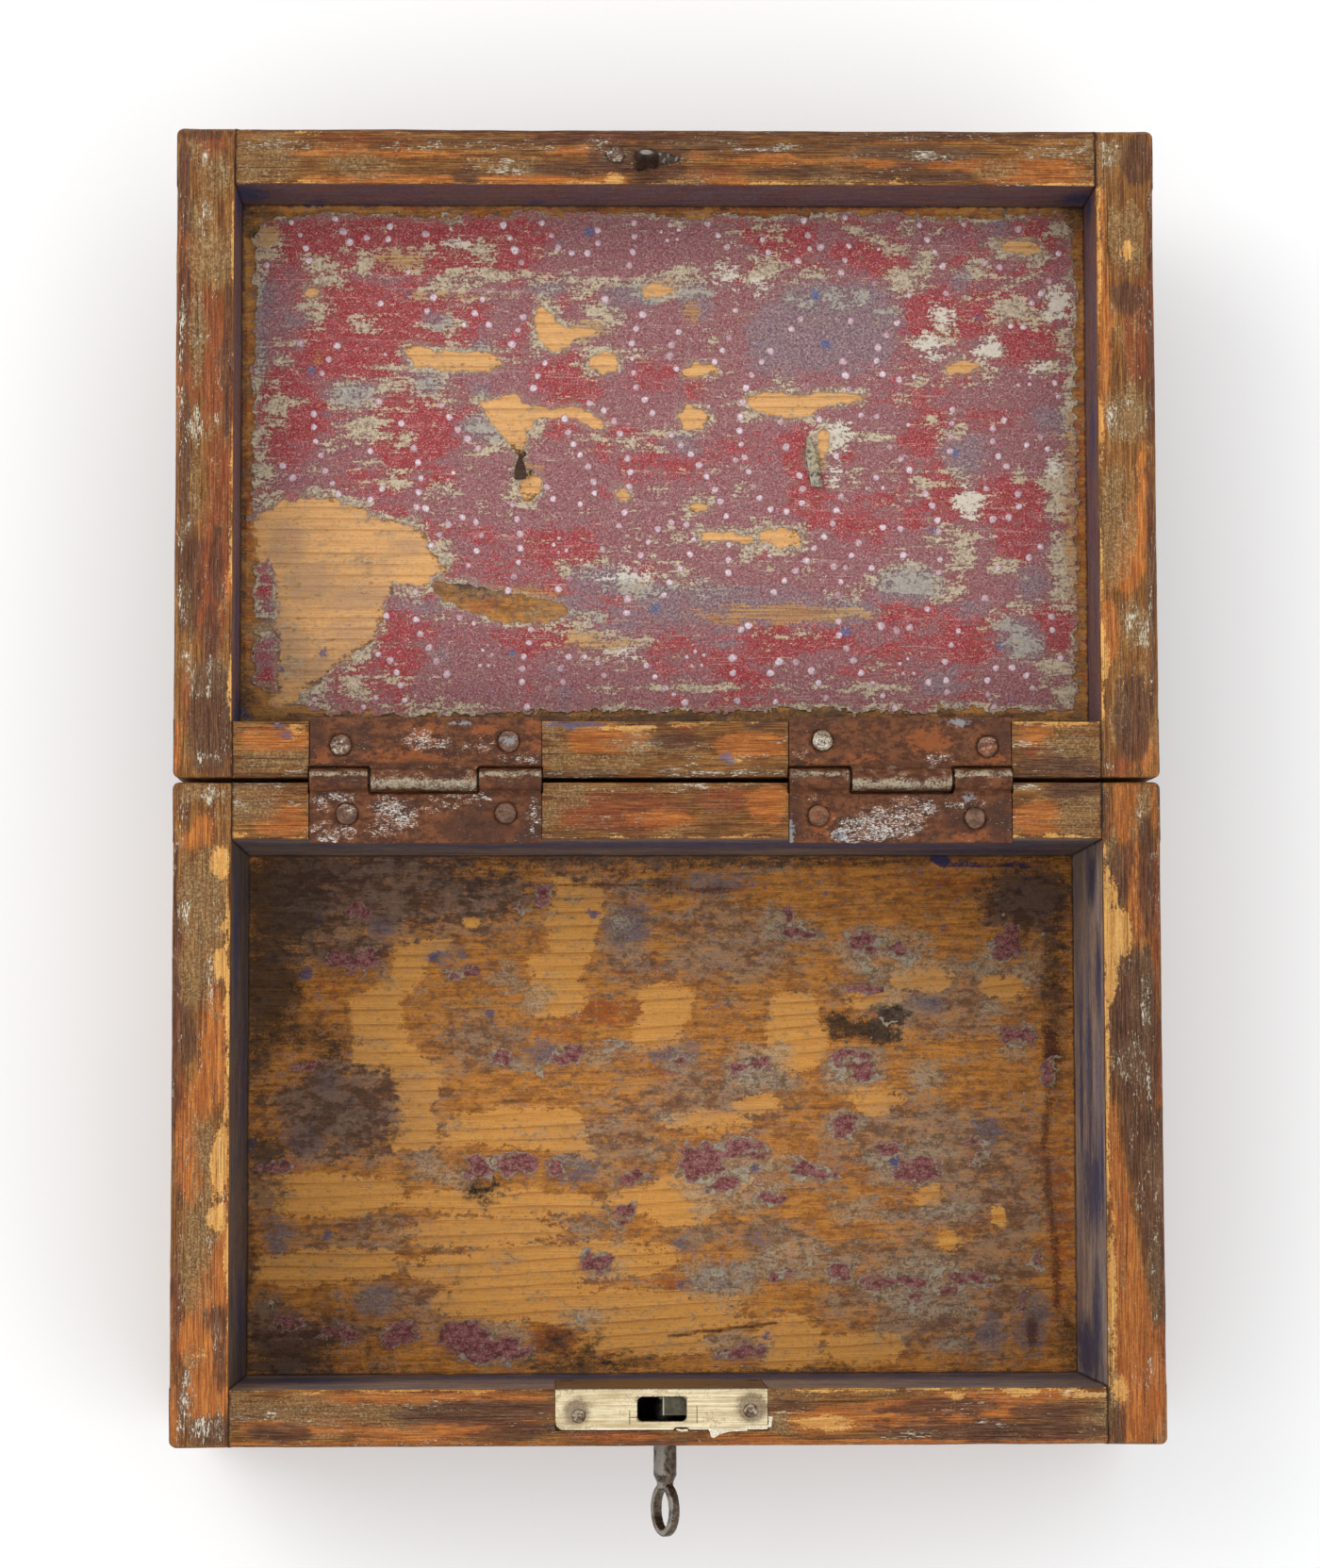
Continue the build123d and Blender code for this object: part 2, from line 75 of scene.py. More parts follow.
def at(px, py, z):
    """Where the camera's ray through a pixel of the 1400 x 1663 frame meets the level z, in millimetres."""
    px, py = np.asarray(px, float), np.asarray(py, float)
    d = np.stack([(px - 700.0) / CAM_F, -(py - 831.5) / CAM_F, -np.ones_like(px)], -1) @ CAM_R
    t = (z - CAM_C[2]) / d[..., 2]
    return CAM_C[0] + t * d[..., 0], CAM_C[1] + t * d[..., 1]


# ------------------------------------------------------------------ noise
_rng = np.random.RandomState(7)
_g = _rng.normal(size=(256, 3))
_g /= np.linalg.norm(_g, axis=1)[:, None]


def _grad(ix, iy, iz, seed):
    h = (ix * 374761393 + iy * 668265263 + iz * 1442695041 + seed * 974634777) & 0xFFFFFFFF
    h = ((h ^ (h >> 13)) * 1274126177) & 0xFFFFFFFF
    return _g[((h ^ (h >> 16)) & 255).astype(np.int64)]


def noise(p, scale, seed=0):
    """Gradient noise, about -1..1. scale is the size of its features, one number or three."""
    p = np.asarray(p, float) / np.asarray(scale, float)
    i = np.floor(p).astype(np.int64)
    f = p - i
    u = f * f * f * (f * (f * 6 - 15) + 10)
    out = 0
    for a in (0, 1):
        for b in (0, 1):
            for c in (0, 1):
                g = _grad(i[:, 0] + a, i[:, 1] + b, i[:, 2] + c, seed)
                d = g[:, 0] * (f[:, 0] - a) + g[:, 1] * (f[:, 1] - b) + g[:, 2] * (f[:, 2] - c)
                out = out + d * (u[:, 0] if a else 1 - u[:, 0]) * (u[:, 1] if b else 1 - u[:, 1]) * (u[:, 2] if c else 1 - u[:, 2])
    return out * 1.6


def fbm(p, scale, seed=0, octaves=4, gain=0.5):
    total, amp, norm = 0, 1.0, 0
    scale = np.asarray(scale, float)
    for k in range(octaves):
        total = total + amp * noise(p, scale / 2 ** k, seed + 31 * k)
        norm += amp
        amp *= gain
    return total / norm


def smooth(a, b, x):
    t = np.clip((x - a) / (b - a), 0, 1)
    return t * t * (3 - 2 * t)


# ------------------------------------------------------------------ meshes
def make(name, verts, faces, body, mat=None, attrs=None, sharp=None, smooth_shade=True):
    """verts in millimetres. faces: an (n, 3) or (n, 4) array, or a list of those."""
    if not isinstance(faces, list):
        faces = [faces]
    faces = [np.asarray(f) for f in faces if len(f)]
    me = bpy.data.meshes.new(name)
    verts = np.asarray(verts, float)
    me.vertices.add(len(verts))
    me.vertices.foreach_set("co", (verts * MM).astype(np.float32).ravel())
    loops = np.concatenate([f.ravel() for f in faces])
    starts, at0 = [], 0
    for f in faces:
        starts.append(at0 + np.arange(len(f)) * f.shape[1])
        at0 += f.size
    starts = np.concatenate(starts)
    me.loops.add(len(loops))
    me.loops.foreach_set("vertex_index", loops.astype(np.int32))
    me.polygons.add(len(starts))
    me.polygons.foreach_set("loop_start", starts.astype(np.int32))
    me.update(calc_edges=True)
    me.validate()
    if smooth_shade:
        me.polygons.foreach_set("use_smooth", np.ones(len(me.polygons), bool))
        if sharp:
            me.set_sharp_from_angle(angle=math.radians(sharp))
    for key, val in (attrs or {}).items():
        a = me.attributes.new(key, "FLOAT", "POINT")
        a.data.foreach_set("value", np.asarray(val, np.float32))
    ob = bpy.data.objects.new(name, me)
    bpy.context.scene.collection.objects.link(ob)
    if mat:
        me.materials.append(mat)
    if body:
        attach(ob, body)
    return ob


def planes(lo, hi, step, extra=()):
    """Grid planes from lo to hi, about step apart, with every one of extra among them."""
    marks = sorted({round(float(v), 4) for v in (lo, hi, *extra) if lo - 1e-6 <= v <= hi + 1e-6})
    out = []
    for a, b in zip(marks[:-1], marks[1:]):
        n = max(1, int(math.ceil((b - a) / step - 1e-6)))
        out += list(a + (b - a) * np.arange(n) / n)
    return np.array(out + [marks[-1]])


def near(v, sign, steps=(0.35, 0.8, 1.4, 2.2)):
    """Extra planes just inside an edge at v, so that it can be rounded."""
    return [v + sign * s for s in steps]


def cells(xs, ys, zs, inside, other=None):
    """The surface of the cells whose centres are inside. Returns vertices, quads, outward axis of each quad (+-1..3), and whether it faces another piece."""
    cx, cy, cz = (xs[1:] + xs[:-1]) / 2, (ys[1:] + ys[:-1]) / 2, (zs[1:] + zs[:-1]) / 2
    X, Y, Z = np.meshgrid(cx, cy, cz, indexing="ij")
    S = inside(X, Y, Z)
    pad = np.zeros(tuple(n + 2 for n in S.shape), bool)
    pad[1:-1, 1:-1, 1:-1] = S
    ny1, nz1 = len(ys), len(zs)
    quads, axis = [], []

    def vid(i, j, k):
        return (i * ny1 + j) * nz1 + k

    core = pad[1:-1, 1:-1, 1:-1]
    for ax in range(3):
        for sg in (1, -1):
            nb = np.roll(pad, -sg, axis=ax)[1:-1, 1:-1, 1:-1]
            i, j, k = np.nonzero(core & ~nb)
            o = [i, j, k]
            o[ax] = o[ax] + (1 if sg > 0 else 0)
            i, j, k = o
            if ax == 0:
                c = [vid(i, j, k), vid(i, j + 1, k), vid(i, j + 1, k + 1), vid(i, j, k + 1)]
            elif ax == 1:
                c = [vid(i, j, k), vid(i, j, k + 1), vid(i + 1, j, k + 1), vid(i + 1, j, k)]
            else:
                c = [vid(i, j, k), vid(i + 1, j, k), vid(i + 1, j + 1, k), vid(i, j + 1, k)]
            if sg < 0:
                c = c[::-1]
            quads.append(np.stack(c, 1))
            axis.append(np.full(len(i), sg * (ax + 1)))
    quads, axis = np.concatenate(quads), np.concatenate(axis)
    used, inv = np.unique(quads, return_inverse=True)
    quads = inv.reshape(quads.shape)
    i, r = np.divmod(used, ny1 * nz1)
    j, k = np.divmod(r, nz1)
    verts = np.stack([xs[i], ys[j], zs[k]], 1)
    hidden = np.zeros(len(quads), bool)
    if other is not None:
        c = verts[quads].mean(1)
        out = c.copy()
        a = np.abs(axis) - 1
        out[np.arange(len(out)), a] += np.sign(axis) * 0.05
        hidden = other(out[:, 0], out[:, 1], out[:, 2])
    return verts, quads, axis, hidden


def vertex_dirs(nv, quads, axis, pick):
    """For each vertex, the sum of the outward directions of the picked quads round it, each counted once."""
    d = np.zeros((nv, 3))
    for ax in range(3):
        for sg in (1, -1):
            sel = quads[(axis == sg * (ax + 1)) & pick].ravel()
            d[np.unique(sel), ax] += sg
    return d


def round_edge(v, a, pa, sa, b, pb, sb, r):
    """Rounds the edge where plane a=pa (outward sa) meets plane b=pb (outward sb)."""
    u = sa * (v[:, a] - pa) + r
    w = sb * (v[:, b] - pb) + r
    n = np.hypot(u, w)
    hit = (u > 0) & (w > 0) & (n > r) & (r > 1e-3)
    k = np.where(hit, r / np.maximum(n, 1e-6), 1.0)
    v[:, a] = np.where(hit, pa + sa * (u * k - r), v[:, a])
    v[:, b] = np.where(hit, pb + sb * (w * k - r), v[:, b])


# ------------------------------------------------------------------ distances to listed shapes
def sd_polygon(x, y, pts):
    """Signed distance to a closed polygon, positive inside."""
    pts = np.asarray(pts, float)
    d = np.full(x.shape, 1e9)
    inside = np.zeros(x.shape, bool)
    n = len(pts)
    for i in range(n):
        (x0, y0), (x1, y1) = pts[i], pts[(i + 1) % n]
        ex, ey = x1 - x0, y1 - y0
        t = np.clip(((x - x0) * ex + (y - y0) * ey) / (ex * ex + ey * ey + 1e-12), 0, 1)
        d = np.minimum(d, (x - x0 - t * ex) ** 2 + (y - y0 - t * ey) ** 2)
        cross = ((y0 > y) != (y1 > y)) & (x < (x1 - x0) * (y - y0) / (y1 - y0 + 1e-12) + x0)
        inside ^= cross
    return np.sqrt(d) * np.where(inside, 1, -1)


def sd_blob(x, y, cx, cy, rx, ry, turn=0.0):
    """Rough signed distance to an ellipse, positive inside."""
    c, s = math.cos(turn), math.sin(turn)
    u, v = (x - cx) * c + (y - cy) * s, -(x - cx) * s + (y - cy) * c
    k = np.sqrt((u / rx) ** 2 + (v / ry) ** 2)
    return (1 - k) * min(rx, ry)


def px_poly(pts, z):
    a = np.asarray(pts, float)
    x, y = at(a[:, 0], a[:, 1], z)
    return np.stack([x, y], 1)


def spots(x, y, rows, z, lim=3.0):
    """The largest signed distance in millimetres, clipped to +-lim, to marks read off in pixels of the frame, at the level z.
    A row is x0, x1, y0, y1 of an ellipse-like blob, with an optional turn in degrees; or a list of corner points."""
    out = np.full(x.shape, -lim)
    k = (CAM_C[2] - z) / CAM_F
    for r in rows:
        if isinstance(r, list):
            pts = px_poly(r, z)
            box = (x > pts[:, 0].min() - lim) & (x < pts[:, 0].max() + lim) & (y > pts[:, 1].min() - lim) & (y < pts[:, 1].max() + lim)
            if box.any():
                out[box] = np.maximum(out[box], sd_polygon(x[box], y[box], pts))
            continue
        x0, x1, y0, y1 = r[:4]
        cx, cy = at((x0 + x1) / 2, (y0 + y1) / 2, z)
        rx, ry = (x1 - x0) / 2 * k, (y1 - y0) / 2 * k
        t = math.radians(-r[4]) if len(r) > 4 else 0.0
        reach = math.hypot(rx, ry) + lim
        box = (np.abs(x - cx) < reach) & (np.abs(y - cy) < reach)
        if not box.any():
            continue
        c, sn = math.cos(t), math.sin(t)
        u, v = (x[box] - cx) * c + (y[box] - cy) * sn, -(x[box] - cx) * sn + (y[box] - cy) * c
        e = (np.abs(u / rx) ** 2.6 + np.abs(v / ry) ** 2.6) ** (1 / 2.6)
        g = np.hypot(u, v) / np.maximum(e, 1e-6)
        d = np.where(e > 1, -(np.hypot(u, v) - g), (1 - e) * min(rx, ry))
        out[box] = np.maximum(out[box], d)
    return np.clip(out, -lim, lim)


# ------------------------------------------------------------------ shader helpers
class Nodes:
    """A short way to write node trees: every call adds a node and returns the output socket."""

    def __init__(self, mat):
        mat.use_nodes = True
        self.t = mat.node_tree
        self.t.nodes.clear()
        self.out = self.t.nodes.new("ShaderNodeOutputMaterial")
        self.co = self.t.nodes.new("ShaderNodeTexCoord").outputs["Object"]

    def put(self, sock, val):
        if isinstance(val, bpy.types.NodeSocket):
            self.t.links.new(val, sock)
        elif isinstance(val, (tuple, list)):
            sock.default_value = (*val, 1.0) if len(val) == 3 and sock.type == "RGBA" else val
        else:
            sock.default_value = val

    def math(self, op, a, b=0.0, c=0.0, clamp=False):
        n = self.t.nodes.new("ShaderNodeMath")
        n.operation, n.use_clamp = op, clamp
        for s, v in zip(n.inputs, (a, b, c)):
            self.put(s, v)
        return n.outputs[0]

    def add(self, a, b):
        return self.math("ADD", a, b)

    def sub(self, a, b):
        return self.math("SUBTRACT", a, b)

    def mul(self, a, b):
        return self.math("MULTIPLY", a, b)

    def step(self, x, lo, hi):
        """0 below lo, 1 above hi, smooth between; hi may be under lo."""
        n = self.t.nodes.new("ShaderNodeMapRange")
        n.interpolation_type = "SMOOTHSTEP"
        self.put(n.inputs["Value"], x)
        a, b, u, v = (lo, hi, 0.0, 1.0) if hi > lo else (hi, lo, 1.0, 0.0)
        for k, val in zip(("From Min", "From Max", "To Min", "To Max"), (a, b, u, v)):
            n.inputs[k].default_value = val
        return n.outputs["Result"]

    def remap(self, x, a, b, u, v):
        n = self.t.nodes.new("ShaderNodeMapRange")
        self.put(n.inputs["Value"], x)
        for k, val in zip(("From Min", "From Max", "To Min", "To Max"), (a, b, u, v)):
            n.inputs[k].default_value = val
        return n.outputs["Result"]

    def scaled(self, size, offset=(0, 0, 0)):
        """The row's coordinates divided by the size of a feature in millimetres along each axis."""
        n = self.t.nodes.new("ShaderNodeMapping")
        self.put(n.inputs["Vector"], self.co)
        n.inputs["Scale"].default_value = tuple(1000.0 / s for s in size)
        n.inputs["Location"].default_value = offset
        return n.outputs[0]

    def noise(self, size, detail=3.0, rough=0.55, seed=0.0, distort=0.0):
        if not isinstance(size, (tuple, list)):
            size = (size,) * 3
        n = self.t.nodes.new("ShaderNodeTexNoise")
        self.put(n.inputs["Vector"], self.scaled(size, (seed * 3.7, seed * 5.1, seed * 1.9)))
        n.inputs["Scale"].default_value = 1.0
        n.inputs["Detail"].default_value = detail
        n.inputs["Roughness"].default_value = rough
        n.inputs["Distortion"].default_value = distort
        return n.outputs["Fac"]

    def nz(self, size, detail=4.0, rough=0.65, seed=0.0):
        """Noise centred on 0 with a spread of about 1."""
        return self.mul(self.sub(self.noise(size, detail, rough, seed), 0.5), 14.0)

    def value(self, col, v):
        n = self.t.nodes.new("ShaderNodeHueSaturation")
        self.put(n.inputs["Value"], v)
        self.put(n.inputs["Color"], col)
        return n.outputs[0]

    def voronoi(self, size, feature="F1", seed=0.0, randomness=1.0):
        if not isinstance(size, (tuple, list)):
            size = (size,) * 3
        n = self.t.nodes.new("ShaderNodeTexVoronoi")
        n.feature = feature
        self.put(n.inputs["Vector"], self.scaled(size, (seed * 2.3, seed * 4.3, seed * 7.1)))
        n.inputs["Scale"].default_value = 1.0
        n.inputs["Randomness"].default_value = randomness
        return n.outputs["Distance"]

    def attr(self, name):
        n = self.t.nodes.new("ShaderNodeAttribute")
        n.attribute_name = name
        return n.outputs["Fac"]

    def xyz(self):
        n = self.t.nodes.new("ShaderNodeSeparateXYZ")
        self.put(n.inputs[0], self.co)
        return n.outputs[0], n.outputs[1], n.outputs[2]

    def mix(self, fac, a, b, blend="MIX"):
        n = self.t.nodes.new("ShaderNodeMix")
        n.data_type, n.blend_type = "RGBA", blend
        n.clamp_factor = True
        self.put(n.inputs["Factor"], fac)
        self.put(n.inputs["A"] if n.inputs["A"].type == "RGBA" else n.inputs[6], a)
        self.put(n.inputs[7], b)
        return n.outputs[2]

    def fmix(self, fac, a, b):
        n = self.t.nodes.new("ShaderNodeMix")
        n.data_type = "FLOAT"
        n.clamp_factor = True
        for s, v in zip((n.inputs[0], n.inputs[2], n.inputs[3]), (fac, a, b)):
            self.put(s, v)
        return n.outputs[0]

    def ramp(self, x, stops):
        n = self.t.nodes.new("ShaderNodeValToRGB")
        self.put(n.inputs[0], x)
        e = n.color_ramp.elements
        while len(e) < len(stops):
            e.new(0.5)
        for el, (pos, col) in zip(e, stops):
            el.position, el.color = pos, (*col, 1.0)
        return n.outputs[0]

    def bump(self, height, depth_mm, strength=1.0, normal=None):
        n = self.t.nodes.new("ShaderNodeBump")
        n.inputs["Strength"].default_value = strength
        n.inputs["Distance"].default_value = depth_mm * MM
        self.put(n.inputs["Height"], height)
        if normal is not None:
            self.put(n.inputs["Normal"], normal)
        return n.outputs[0]

    def finish(self, color, rough, normal=None, metallic=0.0, spec=0.5, **more):
        b = self.t.nodes.new("ShaderNodeBsdfPrincipled")
        self.put(b.inputs["Base Color"], color)
        self.put(b.inputs["Roughness"], rough)
        self.put(b.inputs["Metallic"], metallic)
        b.inputs["Specular IOR Level"].default_value = spec
        for k, v in more.items():
            b.inputs[k].default_value = v
        if normal is not None:
            self.put(b.inputs["Normal"], normal)
        self.t.links.new(b.outputs[0], self.out.inputs[0])


def lin(r, g, b):
    """An sRGB colour of 0..255 as linear light."""
    return tuple(((c / 255) / 12.92 if c / 255 <= 0.04045 else ((c / 255 + 0.055) / 1.055) ** 2.4) for c in (r, g, b))


def board_material(name, grain, seed, kind, painted_wall_light=1.0, gain=1.0):
    """Old pine under rubbed brown varnish and dirt. The float attributes on the mesh are signed distances in
    millimetres to listed marks, positive inside:
    orange, dark, grime, bare, pale, red, blue; ring is the growth-ring number, wild is how freely the finish varies by
    itself, inner is 1 on inside walls."""
    m = bpy.data.materials.new(name)
    n = Nodes(m)
    L = lambda s, t: (s, t, t) if grain == "x" else (t, s, t)
    ph = n.math("FRACT", n.attr("ring"))
    late = n.mul(n.step(ph, 0.35, 0.92), n.step(ph, 1.0, 0.95))
    fibre = n.nz(L(16.0, 0.26), 4.0, 0.72, seed + 3)
    fib2 = n.nz(L(9.0, 0.8), 4.0, 0.66, seed + 4)
    fine = n.nz(0.75, 4.0, 0.75, seed + 2)
    e1 = n.nz(L(12.0, 2.6), 5.0, 0.62, seed + 1)
    e2 = n.nz(L(3.6, 1.0), 4.0, 0.7, seed + 1.5)
    edge = n.add(n.mul(e1, 0.62), n.add(n.mul(e2, 0.6), n.mul(fine, 0.42)))
    wild = n.attr("wild")

    def mark(key, s=0.0, cover=1.0, w=0.9, amp=1.0, size=(64.0, 11.0)):
        v = n.add(n.attr(key), n.mul(edge, amp))
        if s:
            big = n.nz(L(*size), 3.0, 0.55, seed + s)
            v = n.add(v, n.mul(n.add(n.mul(big, 1.5), 3.0 - cover), wild))
        return n.step(v, -w, w)

    f1 = n.step(fibre, -0.2, 1.7)
    f2 = n.step(fib2, -1.2, 1.2)
    lo = n.step(fibre, -0.5, -1.9)
    base = n.mix(n.step(e1, -1.3, 1.3), lin(110, 66, 30), lin(150, 100, 48))
    base = n.mix(n.mul(f2, 0.45), base, lin(128, 78, 36))
    base = n.mix(n.mul(n.step(n.nz(L(3.2, 0.9), 4.0, 0.72, seed + 20), 0.2, 1.8), 0.45), base, lin(134, 106, 62))
    base = n.mix(n.mul(late, 0.45), base, lin(96, 54, 32))
    base = n.mix(n.mul(f1, 0.65), base, lin(76, 44, 30))
    base = n.mix(n.mul(lo, 0.4), base, lin(190, 142, 74))
    red = n.mix(f2, lin(118, 56, 34), lin(148, 74, 42))
    red = n.mix(n.mul(f1, 0.4), red, lin(96, 52, 42))
    col = n.mix(n.mul(mark("red", 5, 1.6), 0.75), base, red)
    org = n.mix(f2, lin(170, 92, 40), lin(202, 124, 56))
    org = n.mix(n.mul(late, 0.6), org, lin(150, 82, 34))
    org = n.mix(n.mul(f1, 0.6), org, lin(136, 70, 34))
    col = n.mix(n.mul(mark("orange", 6, 2.2, 1.0, 0.7), 0.8), col, org)
    olive = n.mix(n.step(fine, -0.9, 1.3), lin(104, 80, 50), lin(162, 136, 94))
    olive = n.mix(n.mul(n.step(e2, -0.6, 1.0), 0.7), olive, lin(134, 92, 54))
    gr = n.add(n.attr("grime"), n.add(n.mul(e1, 1.1), n.add(n.mul(e2, 0.8), n.mul(fine, 0.9))))
    gr = n.add(gr, n.mul(n.add(n.mul(n.nz(L(26.0, 6.0), 4.0, 0.6, seed + 7), 1.6), 1.2), wild))
    col = n.mix(n.mul(n.step(gr, -1.1, 1.1), 0.72), col, olive)
    drk = n.mix(f1, lin(84, 52, 38), lin(50, 31, 26))
    drk = n.mix(n.mul(n.step(fib2, 0.3, 1.5), 0.5), drk, lin(112, 84, 72))
    col = n.mix(n.mul(mark("dark", 8, 2.0, 1.0, 0.75), 0.8), col, drk)
    bare = n.mix(n.mul(late, 0.6), lin(222, 168, 94), lin(192, 124, 56))
    bare = n.mix(n.mul(f1, 0.35), bare, lin(196, 138, 74))
    col = n.mix(n.mul(mark("bare", w=0.5, amp=0.6), 0.9), col, bare)
    # hair-fine scratches and pores, dark and light, along the grain
    hair = n.nz(L(7.0, 0.16), 3.0, 0.7, seed + 21)
    col = n.mix(n.mul(n.step(hair, 0.9, 1.9), 0.42), col, lin(62, 38, 26))
    col = n.mix(n.mul(n.step(n.mul(hair, -1.0), 1.1, 2.1), 0.34), col, lin(196, 158, 108))
    # pale scuffs: short flecks along the grain, thick where the mesh says so, thin elsewhere
    crack = n.nz(L(34.0, 0.24), 2.0, 0.6, seed + 9)
    col = n.mix(n.mul(n.step(n.add(crack, n.mul(e2, 0.25)), 1.25, 1.9), 0.7), col, lin(46, 28, 19))
    fl = n.nz(L(2.0, 0.34), 4.0, 0.74, seed + 10)
    cl = n.nz(L(16.0, 3.6), 3.0, 0.6, seed + 11)
    pale = n.step(n.add(n.attr("pale"), n.mul(edge, 0.8)), -1.4, 1.0)
    dens = n.add(n.mul(pale, 1.55), n.add(n.mul(cl, 0.5), n.mul(wild, 0.15)))
    fleck = n.step(n.add(fl, n.sub(dens, 2.25)), 0.0, 0.34)
    col = n.mix(n.mul(fleck, 0.8), col, n.mix(n.step(n.add(cl, n.mul(fine, 0.5)), -1.2, 1.4), lin(170, 148, 112), lin(220, 210, 188)))
    # grey haze where the scuffs are thick
    col = n.mix(n.mul(pale, 0.07), col, lin(166, 146, 112))
    # inside walls: faded distemper over the wood
    inn = n.attr("inner")
    w1 = n.nz(L(30.0, 7.0), 5.0, 0.65, seed + 12)
    w2 = n.nz(L(14.0, 1.3), 5.0, 0.7, seed + 13)
    w3 = n.nz(L(46.0, 3.0 if kind == "lid" else 9.0), 5.0, 0.7, seed + 18)
    w4 = n.nz(L(26.0, 2.0 if kind == "lid" else 6.0), 5.0, 0.72, seed + 19)
    if kind == "lid":
        wall = n.mix(n.step(w2, -1.0, 1.2), lin(104, 62, 54), lin(100, 86, 100))
        wall = n.mix(n.mul(n.step(w1, -0.2, 1.6), 0.6), wall, lin(122, 86, 58))
        wall = n.mix(n.mul(n.step(w3, 0.0, 1.2), 0.6), wall, lin(76, 64, 86))
        wall = n.mix(n.mul(n.step(w4, 0.4, 1.6), 0.55), wall, lin(136, 84, 58))
    else:
        wall = n.mix(n.step(n.add(w1, n.mul(w2, 0.6)), -1.2, 1.2), lin(138, 114, 96), lin(92, 90, 98))
        wall = n.mix(n.mul(n.step(n.nz(L(9.0, 0.7), 4.0, 0.72, seed + 14), -0.2, 1.6), 0.6), wall, lin(140, 104, 70))
        wall = n.mix(n.mul(n.step(n.nz(L(11.0, 0.5), 4.0, 0.72, seed + 15), 0.5, 1.9), 0.5), wall, lin(172, 158, 140))
        wall = n.mix(n.mul(n.step(w3, 0.0, 1.3), 0.6), wall, lin(80, 80, 106))
        wall = n.mix(n.mul(n.step(w4, 0.4, 1.7), 0.45), wall, lin(168, 146, 120))
        wall = n.mix(n.mul(n.step(n.mul(w4, -1.0), 0.6, 1.9), 0.5), wall, lin(96, 62, 44))
    wall = n.mix(n.mul(f1, 0.35), wall, lin(74, 62, 58))
    wall = n.mix(n.mul(n.step(n.add(fine, n.mul(fibre, 0.6)), 0.5, 2.0), 0.4), wall, lin(156, 142, 134))
    bl = n.add(n.attr("blue"), n.add(n.mul(edge, 1.1), n.mul(fine, 0.5)))
    # painted light and shade: each tray wall's inside is darkened or brightened for how the light falls on it, the left
    # darkest and the right brightest
    wall = n.value(wall, painted_wall_light)
    wall = n.mix(n.mul(n.step(bl, -1.2, 1.2), 0.6), wall, n.mix(f2, lin(66, 66, 82), lin(84, 84, 98)))
    wall = n.mix(n.mul(n.step(bl, 0.5, 2.1), 0.66), wall, n.mix(f2, lin(42, 50, 88), lin(60, 70, 110)))
    col = n.mix(n.step(n.add(inn, n.mul(edge, 0.12)), 0.42, 0.62), col, wall)
    bl2 = n.add(n.attr("smear"), n.add(n.mul(edge, 0.6), n.mul(fine, 0.3)))
    col = n.mix(n.mul(n.step(bl2, -0.6, 0.5), 0.75), col, lin(84, 88, 126))
    # seams collect dirt
    jn = n.mul(n.step(n.add(n.attr("joint"), n.mul(n.nz(L(5.0, 2.0), 3.0, 0.6, seed + 16), 0.09)), 0.5, 0.95), 0.78)
    col = n.mix(jn, col, lin(40, 28, 24))
    # end of every colour: pores and grain of the surface
    col = n.value(col, n.add(gain, n.add(n.mul(fine, 0.075), n.mul(fibre, -0.07))))
    rough = n.add(n.remap(n.noise(3.0, seed=seed + 17), 0.3, 0.7, 0.36, 0.56), n.mul(fleck, 0.2))
    h = n.add(n.mul(fibre, -0.10), n.mul(late, -0.18))
    h = n.add(h, n.mul(fine, 0.05))
    h = n.add(h, n.add(n.mul(fleck, 0.3), n.mul(e2, 0.06)))
    n.finish(col, rough, n.bump(h, 0.3, 0.9), spec=0.13)
    return m


